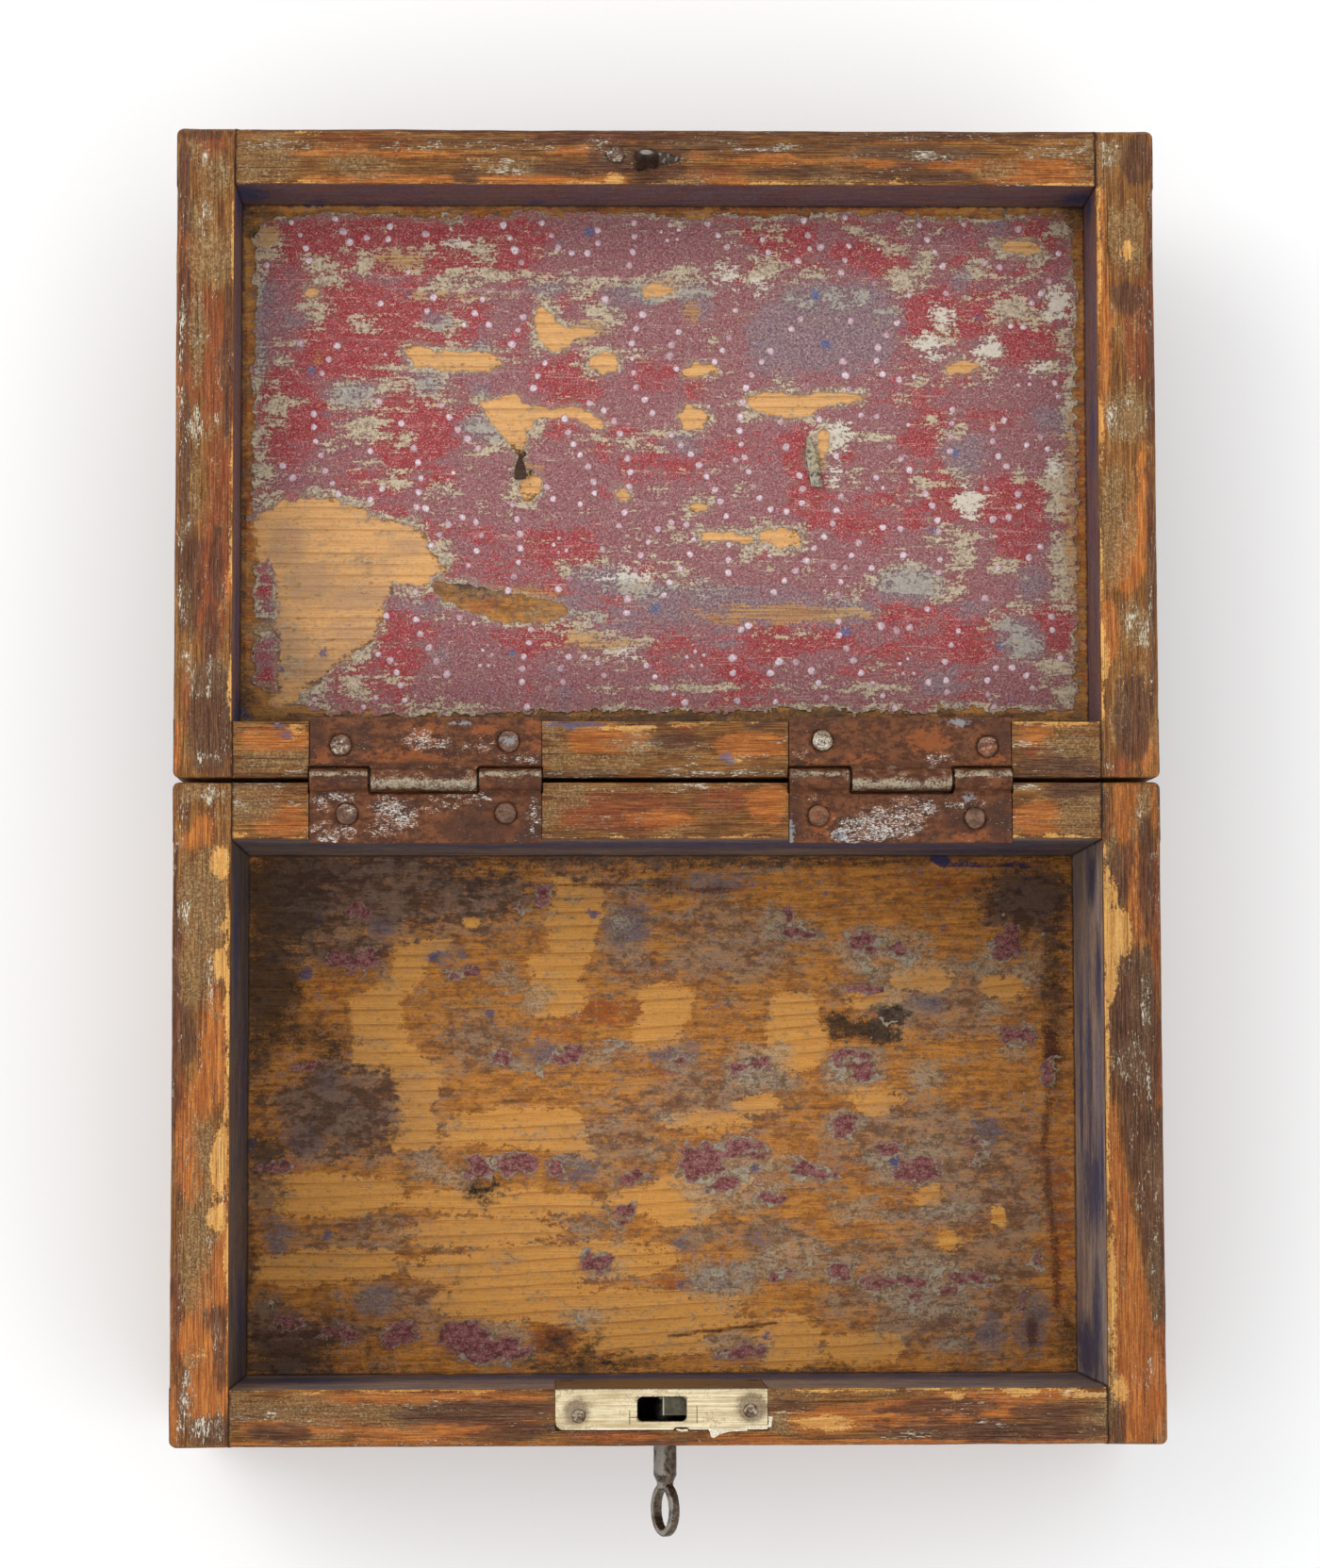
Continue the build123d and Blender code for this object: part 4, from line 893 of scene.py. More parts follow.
# Marks on the rims, read off the object's plan view: x0, x1, y0, y1, turn, in pixels of the frame at the level of the rim.
RIM_MARKS = {
    "lid_front_board": dict(
        # round the hook and its nail, the first four dark marks are rust with the hook's painted shadow to its lower
        # right
        dark=[(628, 676, 152, 182), (628, 672, 154, 180), (668, 724, 160, 182), (706, 722, 166, 174), (186, 700, 131, 141, .2), (560, 1224, 137, 150, 0), (420, 640, 148, 153), (640, 900, 141, 152), (480, 505, 177, 198), (676, 700, 184, 195), (900, 1034, 180, 191, 1.5), (900, 1060, 155, 170), (700, 900, 150, 160, .5), (800, 900, 178, 186), (560, 640, 172, 184, 2)],
        orange=[(684, 710, 176, 184), (640, 668, 178, 186), (296, 560, 158, 170, 2), (316, 492, 184, 199, .5), (634, 666, 178, 199), (736, 800, 190, 200), (900, 1156, 168, 180, .4), (1039, 1165, 182, 198), (900, 1140, 146, 154, .5), (505, 640, 183, 198, 1), (560, 760, 161, 170, .5), (760, 900, 164, 175, .4), (590, 660, 155, 163)],
        grime=[(250, 313, 147, 196), (350, 422, 166, 184, -2), (262, 300, 155, 173), (1150, 1166, 150, 182), (520, 600, 170, 182), (700, 745, 191, 200), (860, 905, 182, 196), (1034, 1080, 172, 190)],
        pale=[(440, 600, 150, 160, 1), (488, 544, 165, 172, 2), (515, 566, 174, 184), (355, 362, 155, 166), (900, 1056, 155, 170, 1), (610, 650, 150, 158), (700, 780, 148, 156), (640, 690, 160, 172), (1080, 1150, 152, 168), (780, 880, 153, 160), (262, 330, 148, 160)],
        bare=[(314, 347, 137, 142, 3), (505, 528, 193, 199), (941, 966, 192, 199), (900, 910, 193, 199), (640, 662, 184, 196), (250, 275, 194, 199), (750, 800, 196, 199), (1090, 1160, 194, 198)],
        red=[(560, 760, 138, 152), (700, 780, 176, 190), (316, 460, 143, 150)]),
    "lid_left_board": dict(
        dark=[(189, 202, 150, 260), (188, 201, 240, 420), (188, 203, 400, 560), (188, 212, 540, 680), (201, 244, 702, 820), (236, 247, 300, 460), (222, 236, 560, 640), (218, 229, 640, 709), (192, 246, 138, 146)],
        orange=[(187, 191, 190, 620), (184, 191, 768, 824), (240, 248, 600, 640)],
        grime=[(200, 247, 244, 305), (201, 217, 300, 408), (216, 243, 173, 205), (201, 212, 470, 565), (229, 245, 694, 758), (200, 214, 148, 168), (203, 220, 205, 260), (203, 215, 760, 800)],
        pale=[(214, 232, 212, 232), (202, 212, 424, 477), (202, 213, 446, 466), (189, 201, 551, 583), (189, 201, 619, 657), (199, 231, 698, 738), (197, 202, 788, 801), (214, 229, 798, 812), (201, 216, 300, 405), (189, 196, 300, 540), (205, 245, 160, 180), (190, 198, 690, 720), (231, 236, 430, 450)],
        bare=[(246, 250, 210, 300), (245, 249, 480, 640), (246, 250, 800, 815)],
        red=[(217, 246, 305, 530), (188, 200, 150, 560), (206, 248, 520, 702), (222, 248, 470, 545), (198, 210, 384, 428), (199, 209, 250, 290), (208, 224, 303, 349), (209, 243, 140, 161), (193, 201, 690, 770)]),
    "lid_right_board": dict(
        dark=[(1189, 1222, 143, 197), (1182, 1217, 714, 805), (1217, 1226, 480, 760), (1214, 1226, 200, 470), (1176, 1214, 300, 330)],
        orange=[(1165, 1177, 199, 480), (1207, 1219, 470, 530), (1184, 1217, 528, 628, 12), (1198, 1222, 768, 822), (1220, 1229, 768, 822), (1219, 1226, 138, 196), (1168, 1186, 640, 700)],
        grime=[(1176, 1214, 215, 287), (1166, 1200, 498, 616), (1174, 1214, 409, 466), (1165, 1189, 148, 176), (1193, 1217, 642, 684), (1176, 1200, 740, 790)],
        pale=[(1165, 1189, 148, 176), (1193, 1217, 642, 684), (1174, 1216, 420, 465), (1186, 1200, 640, 660), (1218, 1223, 196, 226), (1215, 1222, 560, 760), (1212, 1217, 300, 330)],
        bare=[(1168, 1175, 678, 730), (1163, 1167, 780, 822), (1164, 1168, 196, 330), (1188, 1204, 255, 275)],
        red=[(1217, 1227, 200, 470), (1195, 1216, 300, 410), (1178, 1200, 800, 824)]),
    "lid_back_board": dict(
        dark=[(240, 830, 817, 826), (830, 1168, 817, 826), (790, 825, 765, 774), (1074, 1165, 800, 822), (690, 748, 780, 792)],
        orange=[(600, 690, 772, 800), (760, 835, 776, 806), (262, 327, 772, 800), (1074, 1120, 768, 790)],
        grime=[(576, 600, 775, 815), (250, 300, 795, 820), (1100, 1166, 775, 815), (600, 680, 800, 815), (300, 330, 796, 815), (640, 740, 790, 800)],
        pale=[(650, 700, 774, 796), (577, 640, 768, 776), (690, 770, 815, 823), (580, 640, 816, 822), (575, 660, 815, 822), (770, 835, 815, 822), (300, 330, 815, 823), (1074, 1090, 770, 800)],
        bare=[(707, 745, 765, 771), (302, 323, 768, 774), (640, 700, 768, 778), (760, 800, 800, 806), (306, 323, 779, 783), (1080, 1160, 766, 769)],
        smear=[(576, 640, 765, 771), (291, 301, 766, 774, 40), (298, 309, 774, 781, 25), (765, 777, 800, 809), (1010, 1050, 764, 768)],
        red=[(718, 735, 772, 792), (1090, 1130, 790, 805), (340, 420, 800, 820)]),
    "tray_back_board": dict(
        dark=[(243, 835, 883, 889), (580, 640, 882, 889), (835, 1166, 884, 889), (1110, 1166, 830, 846), (243, 330, 829, 834)],
        orange=[(802, 832, 836, 880), (790, 826, 842, 876), (660, 740, 856, 878), (1074, 1130, 852, 885), (270, 330, 850, 886)],
        grime=[(576, 618, 832, 850), (243, 300, 832, 870), (1120, 1166, 834, 884), (576, 590, 850, 880)],
        pale=[(614, 674, 830, 839), (683, 754, 830, 839), (240, 254, 829, 840), (760, 830, 829, 834), (252, 330, 829, 836), (1074, 1100, 829, 836), (243, 262, 850, 862)],
        bare=[(761, 816, 885, 890), (640, 665, 886, 890), (1074, 1150, 885, 889), (245, 262, 884, 889)],
        red=[(590, 730, 840, 880), (740, 800, 838, 858), (262, 300, 838, 856)]),
    "tray_left_board": dict(
        dark=[(181, 189, 890, 1300), (187, 200, 1450, 1522), (200, 242, 1505, 1531), (222, 240, 1384, 1420), (226, 240, 1418, 1474), (187, 206, 1066, 1130), (184, 194, 1300, 1440)],
        orange=[(180, 188, 830, 886), (205, 229, 862, 897), (213, 243, 1041, 1190), (196, 222, 1139, 1200, 10), (189, 214, 1180, 1280, -8), [(240, 1301), (243, 1340), (243, 1460), (205, 1460), (192, 1440), (190, 1420), (208, 1376), (219, 1330)], (189, 243, 1457, 1506), (179, 188, 1472, 1537), (192, 214, 880, 900)],
        grime=[(189, 243, 905, 1008), (188, 224, 1008, 1075), (190, 201, 909, 1006), (206, 232, 1190, 1240), (195, 225, 1260, 1400, 5), (189, 243, 834, 850), (203, 235, 1436, 1450)],
        pale=[(205, 235, 836, 850), (188, 192, 1048, 1137), (192, 203, 1450, 1515), (205, 240, 1505, 1527), (189, 202, 930, 1000), (181, 187, 1010, 1016), (182, 186, 1150, 1158), (205, 222, 1434, 1442)],
        bare=[(224, 244, 897, 934), (226, 244, 1004, 1040), (225, 242, 1180, 1275, 3), (238, 244, 934, 1190), (203, 221, 1435, 1440), (220, 240, 1275, 1305), (238, 244, 1300, 1380), (233, 243, 974, 990)],
        red=[(182, 192, 900, 1200), (183, 193, 1330, 1470), (186, 200, 1140, 1260), (238, 245, 1190, 1290)]),
    "tray_right_board": dict(
        dark=[(1176, 1219, 1000, 1190), (1169, 1199, 893, 985, 14), [(1188, 1176), (1236, 1176), (1239, 1300), (1240, 1404), (1226, 1398), (1216, 1340), (1208, 1290), (1197, 1235)], (1204, 1226, 870, 1000), (1206, 1228, 1000, 1190), (1166, 1176, 840, 890), (1180, 1192, 1490, 1533)],
        orange=[[(1178, 832), (1207, 832), (1213, 900), (1221, 960), (1222, 1034), (1212, 1034), (1204, 990), (1193, 930), (1180, 880)], [(1170, 1170), (1182, 1170), (1190, 1235), (1202, 1290), (1211, 1340), (1220, 1400), (1236, 1450), (1239, 1533), (1188, 1533), (1184, 1440), (1180, 1300), (1174, 1240)], [(1176, 1200), (1186, 1220), (1200, 1300), (1208, 1380), (1196, 1400), (1184, 1380), (1180, 1280)], (1235, 1242, 1473, 1534), (1218, 1227, 830, 890), (1168, 1190, 850, 890)],
        grime=[(1204, 1216, 840, 890), (1206, 1224, 1000, 1100), (1178, 1190, 1455, 1534), (1170, 1180, 890, 920), (1222, 1236, 1300, 1400)],
        pale=[(1185, 1220, 1104, 1146, 45), (1188, 1214, 1110, 1136, 50), (1205, 1211, 853, 864), (1210, 1222, 1000, 1200), (1218, 1232, 1300, 1415), (1220, 1236, 1430, 1475), (1216, 1234, 1180, 1300), (1228, 1236, 1500, 1530), (1169, 1174, 834, 842)],
        bare=[(1168, 1186, 920, 1068), (1168, 1200, 962, 1018), (1168, 1177, 1060, 1190), (1175, 1185, 1285, 1460, 2), (1182, 1194, 1458, 1488), (1171, 1177, 1190, 1290), (1167, 1172, 890, 925)],
        red=[(1222, 1232, 900, 1190), (1190, 1236, 1430, 1533), (1228, 1240, 1190, 1470)]),
    "tray_front_board": dict(
        dark=[(264, 327, 1511, 1526, 3), (495, 600, 1512, 1527, -5), (419, 587, 1486, 1508, -2), (915, 1173, 1508, 1528), (929, 1060, 1484, 1502, -3), (600, 815, 1526, 1534), (245, 290, 1500, 1508), (816, 860, 1480, 1492), (1070, 1170, 1490, 1503)],
        orange=[(283, 581, 1475, 1491), (248, 420, 1508, 1520, 3), (380, 581, 1505, 1528, -5), (829, 1180, 1480, 1500, -4), (829, 920, 1498, 1520), (900, 1120, 1500, 1512, -5), (620, 720, 1520, 1530), (240, 1240, 1527, 1534), (740, 840, 1520, 1531)],
        grime=[(245, 365, 1481, 1509), (365, 475, 1488, 1508), (1150, 1180, 1482, 1526), (816, 870, 1474, 1486), (820, 840, 1500, 1520), (245, 260, 1475, 1500)],
        pale=[(248, 330, 1504, 1510), (1127, 1179, 1475, 1484), (820, 832, 1498, 1512)],
        bare=[(481, 527, 1472, 1476), (843, 895, 1473, 1477), (1004, 1020, 1476, 1484), (1064, 1100, 1472, 1481), (1127, 1180, 1474, 1485), (836, 910, 1502, 1516), (900, 1000, 1472, 1475)],
        red=[(600, 700, 1516, 1528), (1060, 1180, 1520, 1531), (300, 400, 1494, 1502)]),
}

# Marks on the tray's floor and on the lid's panel, in pixels of the frame at each one's level.
FLOOR_MARKS = dict(
    smear=[(985, 1010, 903, 919, 32), (1000, 1056, 914.5, 919.5), (1050, 1112, 915.5, 920.5)],
    bare=[[(587, 926), (638, 936), (640, 967), (632, 991), (617, 1044), (626, 1073), (568, 1081), (560, 1012), (585, 1012), (579, 971), (587, 946)],
          [(416, 1005), (444, 995), (479, 999), (456, 1018), (452, 1030), (424, 1063), (432, 1105), (469, 1134), (467, 1156), (458, 1180), (470, 1215), (412, 1222), (405, 1205), (424, 1165), (411, 1140), (373, 1130), (371, 1061), (420, 1040)],
          [(550, 1175), (612, 1175), (632, 1232), (612, 1225), (575, 1222), (545, 1216), (470, 1215), (480, 1180)],
          (492, 507, 973, 985), (681, 756, 1248, 1302), (677, 734, 1042, 1089), (672, 722, 1078, 1110), (811, 872, 1052, 1140), (897, 958, 1050, 1071), (870, 960, 1412, 1446), (1050, 1066, 1279, 1302), (995, 1019, 1306, 1330), (860, 878, 1085, 1112),
          (262, 430, 1245, 1290), (420, 640, 1262, 1290, 1), (428, 600, 1290, 1322, -2), (260, 430, 1325, 1362, -3), (430, 720, 1318, 1362, -3), (460, 640, 1352, 1402, -3), (560, 800, 1368, 1412, 1), (620, 760, 1404, 1440), (770, 800, 1245, 1262), (970, 1000, 1255, 1285), (700, 800, 1180, 1200), (800, 870, 1395, 1450), (640, 700, 1262, 1290), (780, 830, 1160, 1182), (900, 960, 1155, 1180), (1040, 1090, 1035, 1060), (940, 1010, 1020, 1052)],
    film=[(300, 500, 905, 965), (460, 700, 925, 960), (300, 480, 1120, 1236), (280, 460, 925, 1010), (460, 640, 1290, 1330), (300, 460, 1290, 1335, -3), (380, 500, 1345, 1400, -14), (450, 560, 1085, 1130), (640, 700, 930, 1045), (700, 860, 960, 1050), (640, 860, 1130, 1210), (870, 1100, 1160, 1260), (720, 860, 1300, 1330), (860, 1110, 1310, 1420), (900, 1110, 1300, 1440), (960, 1120, 1180, 1330), (440, 560, 930, 1000), (590, 720, 1180, 1250), (880, 1100, 1020, 1100), (640, 900, 905, 925), (930, 1100, 1260, 1310)],
    slate=[(240, 262, 1100, 1160), (280, 310, 1290, 1340), (580, 634, 1224, 1256), (640, 690, 960, 1000), (715, 745, 1310, 1330), (790, 830, 1306, 1322), (450, 490, 1000, 1022), (305, 340, 1195, 1225), (380, 420, 1360, 1396), (690, 740, 1100, 1130), (1030, 1060, 1190, 1215), (1040, 1062, 1395, 1430), (960, 1000, 1050, 1072), (390, 420, 972, 992), (730, 800, 1340, 1372), (560, 600, 1105, 1130), (700, 800, 925, 950), (1080, 1110, 1370, 1440), (330, 360, 1130, 1160)],
    rust=[(617, 670, 939, 947), (734, 791, 939, 948, -5), (540, 620, 1090, 1105), (590, 680, 1060, 1090), (760, 790, 1145, 1165), (770, 825, 1232, 1264), (490, 560, 1190, 1215), (860, 910, 1215, 1240), (1080, 1100, 1240, 1260), (640, 760, 1020, 1040), (860, 900, 905, 925), (320, 360, 1040, 1056), (1070, 1110, 1185, 1240), (900, 960, 1060, 1080), (1110, 1138, 1200, 1400), (700, 730, 1355, 1370), (940, 1100, 925, 945), (560, 610, 1400, 1440), (1000, 1040, 1430, 1450), (620, 660, 1345, 1390), (670, 720, 1130, 1150)],
    cream=[(609, 674, 1105, 1129), (642, 672, 962, 992), (709, 752, 1117, 1137), (766, 846, 1109, 1158), (807, 858, 960, 998), (887, 990, 983, 1040), (1060, 1099, 1087, 1122), (870, 940, 1108, 1160), (690, 718, 1177, 1191), (716, 838, 1208, 1286), (826, 872, 1228, 1262), (744, 819, 1414, 1446), (719, 815, 1334, 1378), (799, 872, 1318, 1362), (648, 668, 1290, 1320), (626, 662, 1335, 1358), (874, 912, 1177, 1212), (920, 1008, 1212, 1262), (878, 938, 1273, 1302), (970, 1035, 1272, 1294), (860, 925, 1330, 1362), (921, 1040, 1330, 1400), (993, 1027, 1409, 1430), (440, 468, 1232, 1252), (465, 500, 1240, 1262), (500, 560, 1402, 1442), (590, 640, 1385, 1410), (1030, 1060, 1000, 1040), (1080, 1112, 1005, 1060), (1040, 1060, 1060, 1080), (925, 960, 1060, 1100), (960, 1000, 1130, 1160), (560, 580, 1040, 1075), (520, 560, 1020, 1050), (400, 415, 1020, 1035), (275, 300, 1370, 1400)],
    maroon=[(367, 401, 956, 973), (342, 407, 1007, 1030), (473, 484, 1028, 1038), (493, 508, 1026, 1037), (522, 542, 1114, 1128), (311, 342, 1126, 1134), (536, 560, 960, 967), (595, 612, 1101, 1138, 70), (642, 664, 1107, 1114), (717, 726, 1118, 1134), (777, 817, 1124, 1138, -8), (823, 866, 983, 995, 8), (832, 842, 964, 977), (901, 927, 985, 1014, 45), (944, 962, 1005, 1012), (944, 970, 1009, 1017), (1052, 1087, 988, 1016, -42), (1060, 1099, 1087, 1107), (882, 930, 1113, 1128), (908, 931, 1124, 1146, 50), (882, 900, 1120, 1136), (1105, 1121, 1124, 1148), (277, 320, 1231, 1245), (493, 522, 1228, 1250), (526, 566, 1222, 1246), (288, 322, 1394, 1412, 8), (336, 384, 1408, 1424, 4), (403, 446, 1404, 1426), (465, 520, 1400, 1440), (490, 560, 1418, 1446), (522, 548, 1421, 1431), (550, 568, 1224, 1246), (644, 668, 1277, 1292), (650, 664, 1292, 1302), (613, 650, 1328, 1352), (656, 672, 1246, 1259), (672, 695, 1240, 1248), (720, 768, 1213, 1250), (760, 814, 1209, 1228), (748, 786, 1246, 1264), (836, 866, 1232, 1250, 12), (799, 834, 1266, 1278), (843, 872, 1240, 1252), (760, 808, 1432, 1444), (784, 806, 1424, 1440), (880, 908, 1182, 1204), (927, 958, 1214, 1228), (945, 1000, 1230, 1252), (1029, 1048, 1222, 1233), (1018, 1048, 1208, 1216), (858, 890, 1242, 1251), (880, 901, 1338, 1360), (915, 986, 1352, 1366), (991, 1013, 1366, 1374), (815, 840, 1345, 1358), (1095, 1103, 1330, 1345), (1078, 1088, 1375, 1388), (960, 975, 1370, 1380), (581, 600, 1232, 1250), (569, 577, 1126, 1136), (1010, 1060, 1350, 1362), (897, 945, 1045, 1052), (566, 584, 940, 960)],
    blue=[(320, 331, 1026, 1038), (516, 525, 1073, 1083), (334, 343, 970, 981), (996, 1007, 981, 990), (719, 726, 1359, 1366), (944, 953, 1226, 1238), (455, 466, 1010, 1020), (620, 634, 963, 971), (795, 805, 1236, 1244), (750, 762, 1064, 1070), (344, 352, 1305, 1315), (808, 816, 1412, 1420), (262, 272, 1208, 1222)],
    # murk: greyish dirt, with painted shade in the corners and along the walls
    murk=[(262, 400, 1390, 1436, 3), (256, 350, 1432, 1466, 3), (254, 312, 1372, 1440), (262, 460, 1450, 1468), (280, 520, 898, 985), (290, 420, 985, 1030), (285, 425, 1130, 1228), (470, 570, 925, 975), (1040, 1135, 920, 1000), (255, 300, 1230, 1300), (560, 700, 900, 930)],
    chip=[(491, 508, 972.5, 985.5), (1050, 1066, 1279, 1300), (995, 1014, 1306, 1326)],
    ink=[(874, 906, 1074, 1096, -40), (885, 956, 1079, 1105, 8), (925, 962, 1068, 1090), (640, 652, 1442, 1450), [(499, 1260), (507, 1268), (517, 1268), (526, 1259), (524, 1254), (517, 1263), (508, 1264), (502, 1257)]],
    brim=[[(1110, 1165), (1105, 1210), (1112, 1280), (1117, 1330), (1119, 1390), (1125, 1390), (1123, 1330), (1118, 1280), (1111, 1210), (1116, 1165)], (1107, 1121, 1088, 1146), (1089, 1101, 1392, 1428), (568, 700, 936, 941), (720, 790, 941, 946)],
    split=[[(704, 1416.4), (765, 1409), (832, 1399.6), (833, 1401.8), (768, 1411.6), (706, 1418.6)]],
    # dark: dirt, and painted shade in the corners and along the feet of the walls
    dark=[(250, 350, 900, 1010), (250, 320, 980, 1110), (256, 290, 940, 1180), (260, 380, 898, 940), (400, 460, 902, 915), (250, 1140, 900, 920), (454, 562, 926, 940), (683, 719, 934, 944), (1040, 1136, 915, 985), (1105, 1132, 950, 1170), (256, 354, 1408, 1464), (642, 697, 1438, 1450), (617, 634, 1420, 1444), (577, 603, 1412, 1437), (497, 522, 1250, 1268, 20), (258, 300, 1200, 1240), (252, 268, 1240, 1420), (1128, 1142, 1380, 1462), (560, 640, 1445, 1460), (280, 360, 1085, 1110), (340, 370, 1095, 1130), (560, 660, 1440, 1462), (640, 1140, 1452, 1464)])
PANEL_MARKS = dict(
    smear=[], ink=[(551, 567, 474, 502), (545, 556, 488, 500)], brim=[], split=[], murk=[], chip=[],
    bare=[[(270, 545), (299, 530), (332, 524), (376, 534), (399, 548), (442, 557), (458, 586), (478, 608), (448, 623), (419, 621), (405, 654), (395, 679), (357, 706), (328, 729), (307, 745), (285, 745), (295, 733), (295, 687), (291, 621), (274, 608)],
          (560, 640, 320, 380), (425, 535, 360, 398), (500, 650, 410, 480), (670, 760, 290, 320), (720, 764, 380, 402), (714, 757, 424, 460), (785, 920, 408, 446), (1045, 1110, 250, 274), (995, 1042, 380, 400), (735, 855, 556, 586), (550, 575, 470, 535), (855, 885, 440, 485), (616, 666, 366, 402), (316, 346, 296, 322), (648, 672, 512, 536), (728, 755, 530, 547), (852, 884, 474, 506)],
    film=[(310, 420, 600, 640), (280, 380, 690, 735), (300, 400, 545, 560), (380, 450, 570, 600), (460, 540, 615, 650), (660, 930, 628, 668)],
    slate=[(282, 326, 556, 606), (300, 356, 596, 640), (276, 302, 626, 668), (350, 396, 656, 690), (290, 330, 660, 700), (335, 420, 620, 650), (300, 360, 695, 720), (413, 456, 569, 590), (360, 372, 690, 700), (640, 960, 625, 668), (600, 625, 640, 665), (405, 412, 600, 612)],
    rust=[(480, 530, 625, 650), (252, 272, 300, 720), (1140, 1160, 230, 760), (270, 1140, 212, 232)],
    cream=[(300, 322, 698, 714), (260, 298, 662, 678)],
    maroon=[], blue=[[(249, 731), (254, 733), (257, 745), (263, 755), (271, 761), (268, 765), (258, 764), (251, 752), (249, 741)], (249, 262, 200, 232), (1145, 1158, 208, 226), (340, 347, 690, 697), (318, 326, 716, 722), (328, 337, 211, 220), (296, 304, 705, 711)],
    dark=[(245, 275, 196, 250), (1120, 1166, 196, 235), (250, 262, 250, 760), (300, 1100, 200, 222), (550, 568, 475, 503), (250, 262, 720, 770), (480, 515, 618, 632), (270, 1160, 752, 775)])


def ring_number(name, x, y, z):
    """Which growth ring a point of a board lies in: smooth, and wavy along the grain."""
    p = np.stack([x, y, z], 1)
    long_y = "left" in name or "right" in name
    S = np.array([5.0, 70.0, 5.0]) if long_y else np.array([70.0, 5.0, 5.0])
    seed = sum(map(ord, name))
    w = 2.0 * noise(p, S * 3, seed) + 0.45 * noise(p, S, seed + 1)
    if name == "tray_bottom_board":
        slope = 0.075 * np.clip(x + 20, 0, 200) - 0.02 * np.clip(-20 - x, 0, 200)
        kx, ky = at(508, 1252, BT)
        dx, dy = x - kx, y - ky
        d = np.hypot(dx / 1.5, dy)
        flat = y + 0.25 * z - slope + 1.6 * noise(p, np.array([80.0, 28.0, 30.0]), 401) + 0.5 * noise(p, np.array([30.0, 12.0, 30.0]), 402)
        bend = np.sign(dy) * 3.4 * np.exp(-(d / 8.0) ** 2)
        r = (flat - bend) / 4.25
        return np.where(d < 3.4, 3.0 + d / 1.1, r)
    if name == "lid_top_board":
        flat = y + 0.2 * z + 0.9 * noise(p, np.array([120.0, 30.0, 30.0]), 411) + 0.22 * noise(p, np.array([30.0, 8.0, 30.0]), 412)
        return flat / 3.45
    pith = {"tray_front_board": (-70.0, 60.0), "tray_back_board": (120.0, 40.0), "tray_left_board": (-170.0, 60.0), "tray_right_board": (170.0, 50.0),
            "lid_back_board": (90.0, 30.0), "lid_front_board": (322.0, 40.0), "lid_left_board": (-160.0, 20.0), "lid_right_board": (180.0, 60.0)}[name]
    a = (x if long_y else y) - pith[0]
    r = np.hypot(a, z - pith[1])
    along = y if long_y else x
    return (r + w * 1.6 + 0.012 * along) / 3.1


def warped(x, y, amp=1.0, seed=77):
    p = np.stack([x, y, np.zeros_like(x)], 1)
    u = 1.1 * fbm(p, 9.0, seed, 3) + 0.5 * noise(p, 2.2, seed + 5)
    v = 1.1 * fbm(p, 9.0, seed + 9, 3) + 0.5 * noise(p, 2.2, seed + 7)
    return x + u * amp, y + v * amp


def ball(p, rows):
    """Signed distance to ellipsoids x, y, z, rx, ry, rz, in millimetres, positive inside."""
    out = np.full(len(p), -3.0)
    for cx, cy, cz, rx, ry, rz in rows:
        e = np.sqrt(((p[:, 0] - cx) / rx) ** 2 + ((p[:, 1] - cy) / ry) ** 2 + ((p[:, 2] - cz) / rz) ** 2)
        out = np.maximum(out, (1 - e) * min(rx, ry, rz) * 1.6)
    return np.clip(out, -3, 3)


WALL_BLUE = [(132, -24, 56, 3, 15, 24), (132, -66, 60, 3, 22, 8), (20, -82.5, 26, 112, 3, 18), (132, 10, 50, 3, 34, 8), (20, 82.5, 58, 130, 3, 20), (-28, 82.5, 72, 22, 3, 4), (10, 82.5, 70, 18, 3, 5), (70, 82.5, 74, 60, 3, 7), (0, 82.5, 66, 30, 3, 6), (95, 82.5, 30, 34, 3, 12), (-40, 82.5, 60, 20, 3, 9), (132, 42, 74, 3, 15, 10), (132, 72, 60, 3, 8, 10), (132, -18, 80, 3, 16, 6), (132, -74, 40, 3, 10, 30), (132, 10, 30, 3, 30, 6), (-132, 50, 66, 3, 26, 8), (-132, -60, 40, 3, 16, 14), (-132, 10, 30, 3, 20, 10),
             (-60, -82.5, 18, 20, 3, 6), (40, -82.5, 18, 34, 3, 5), (95, -82.5, 24, 20, 3, 8), (-110, -82.5, 40, 26, 3, 14), (-20, -82.5, 16, 40, 3, 3),
             (-129, 282, 72, 7, 7, 12), (129, 282, 70, 6, 6, 8), (-132, 150, 72, 3, 18, 7), (-131, 122, 66, 6, 10, 9), (-108, 283.7, 62, 3, 3, 3), (-40, 283.7, 62, 3, 3, 3), (132, 210, 74, 3, 16, 6)]


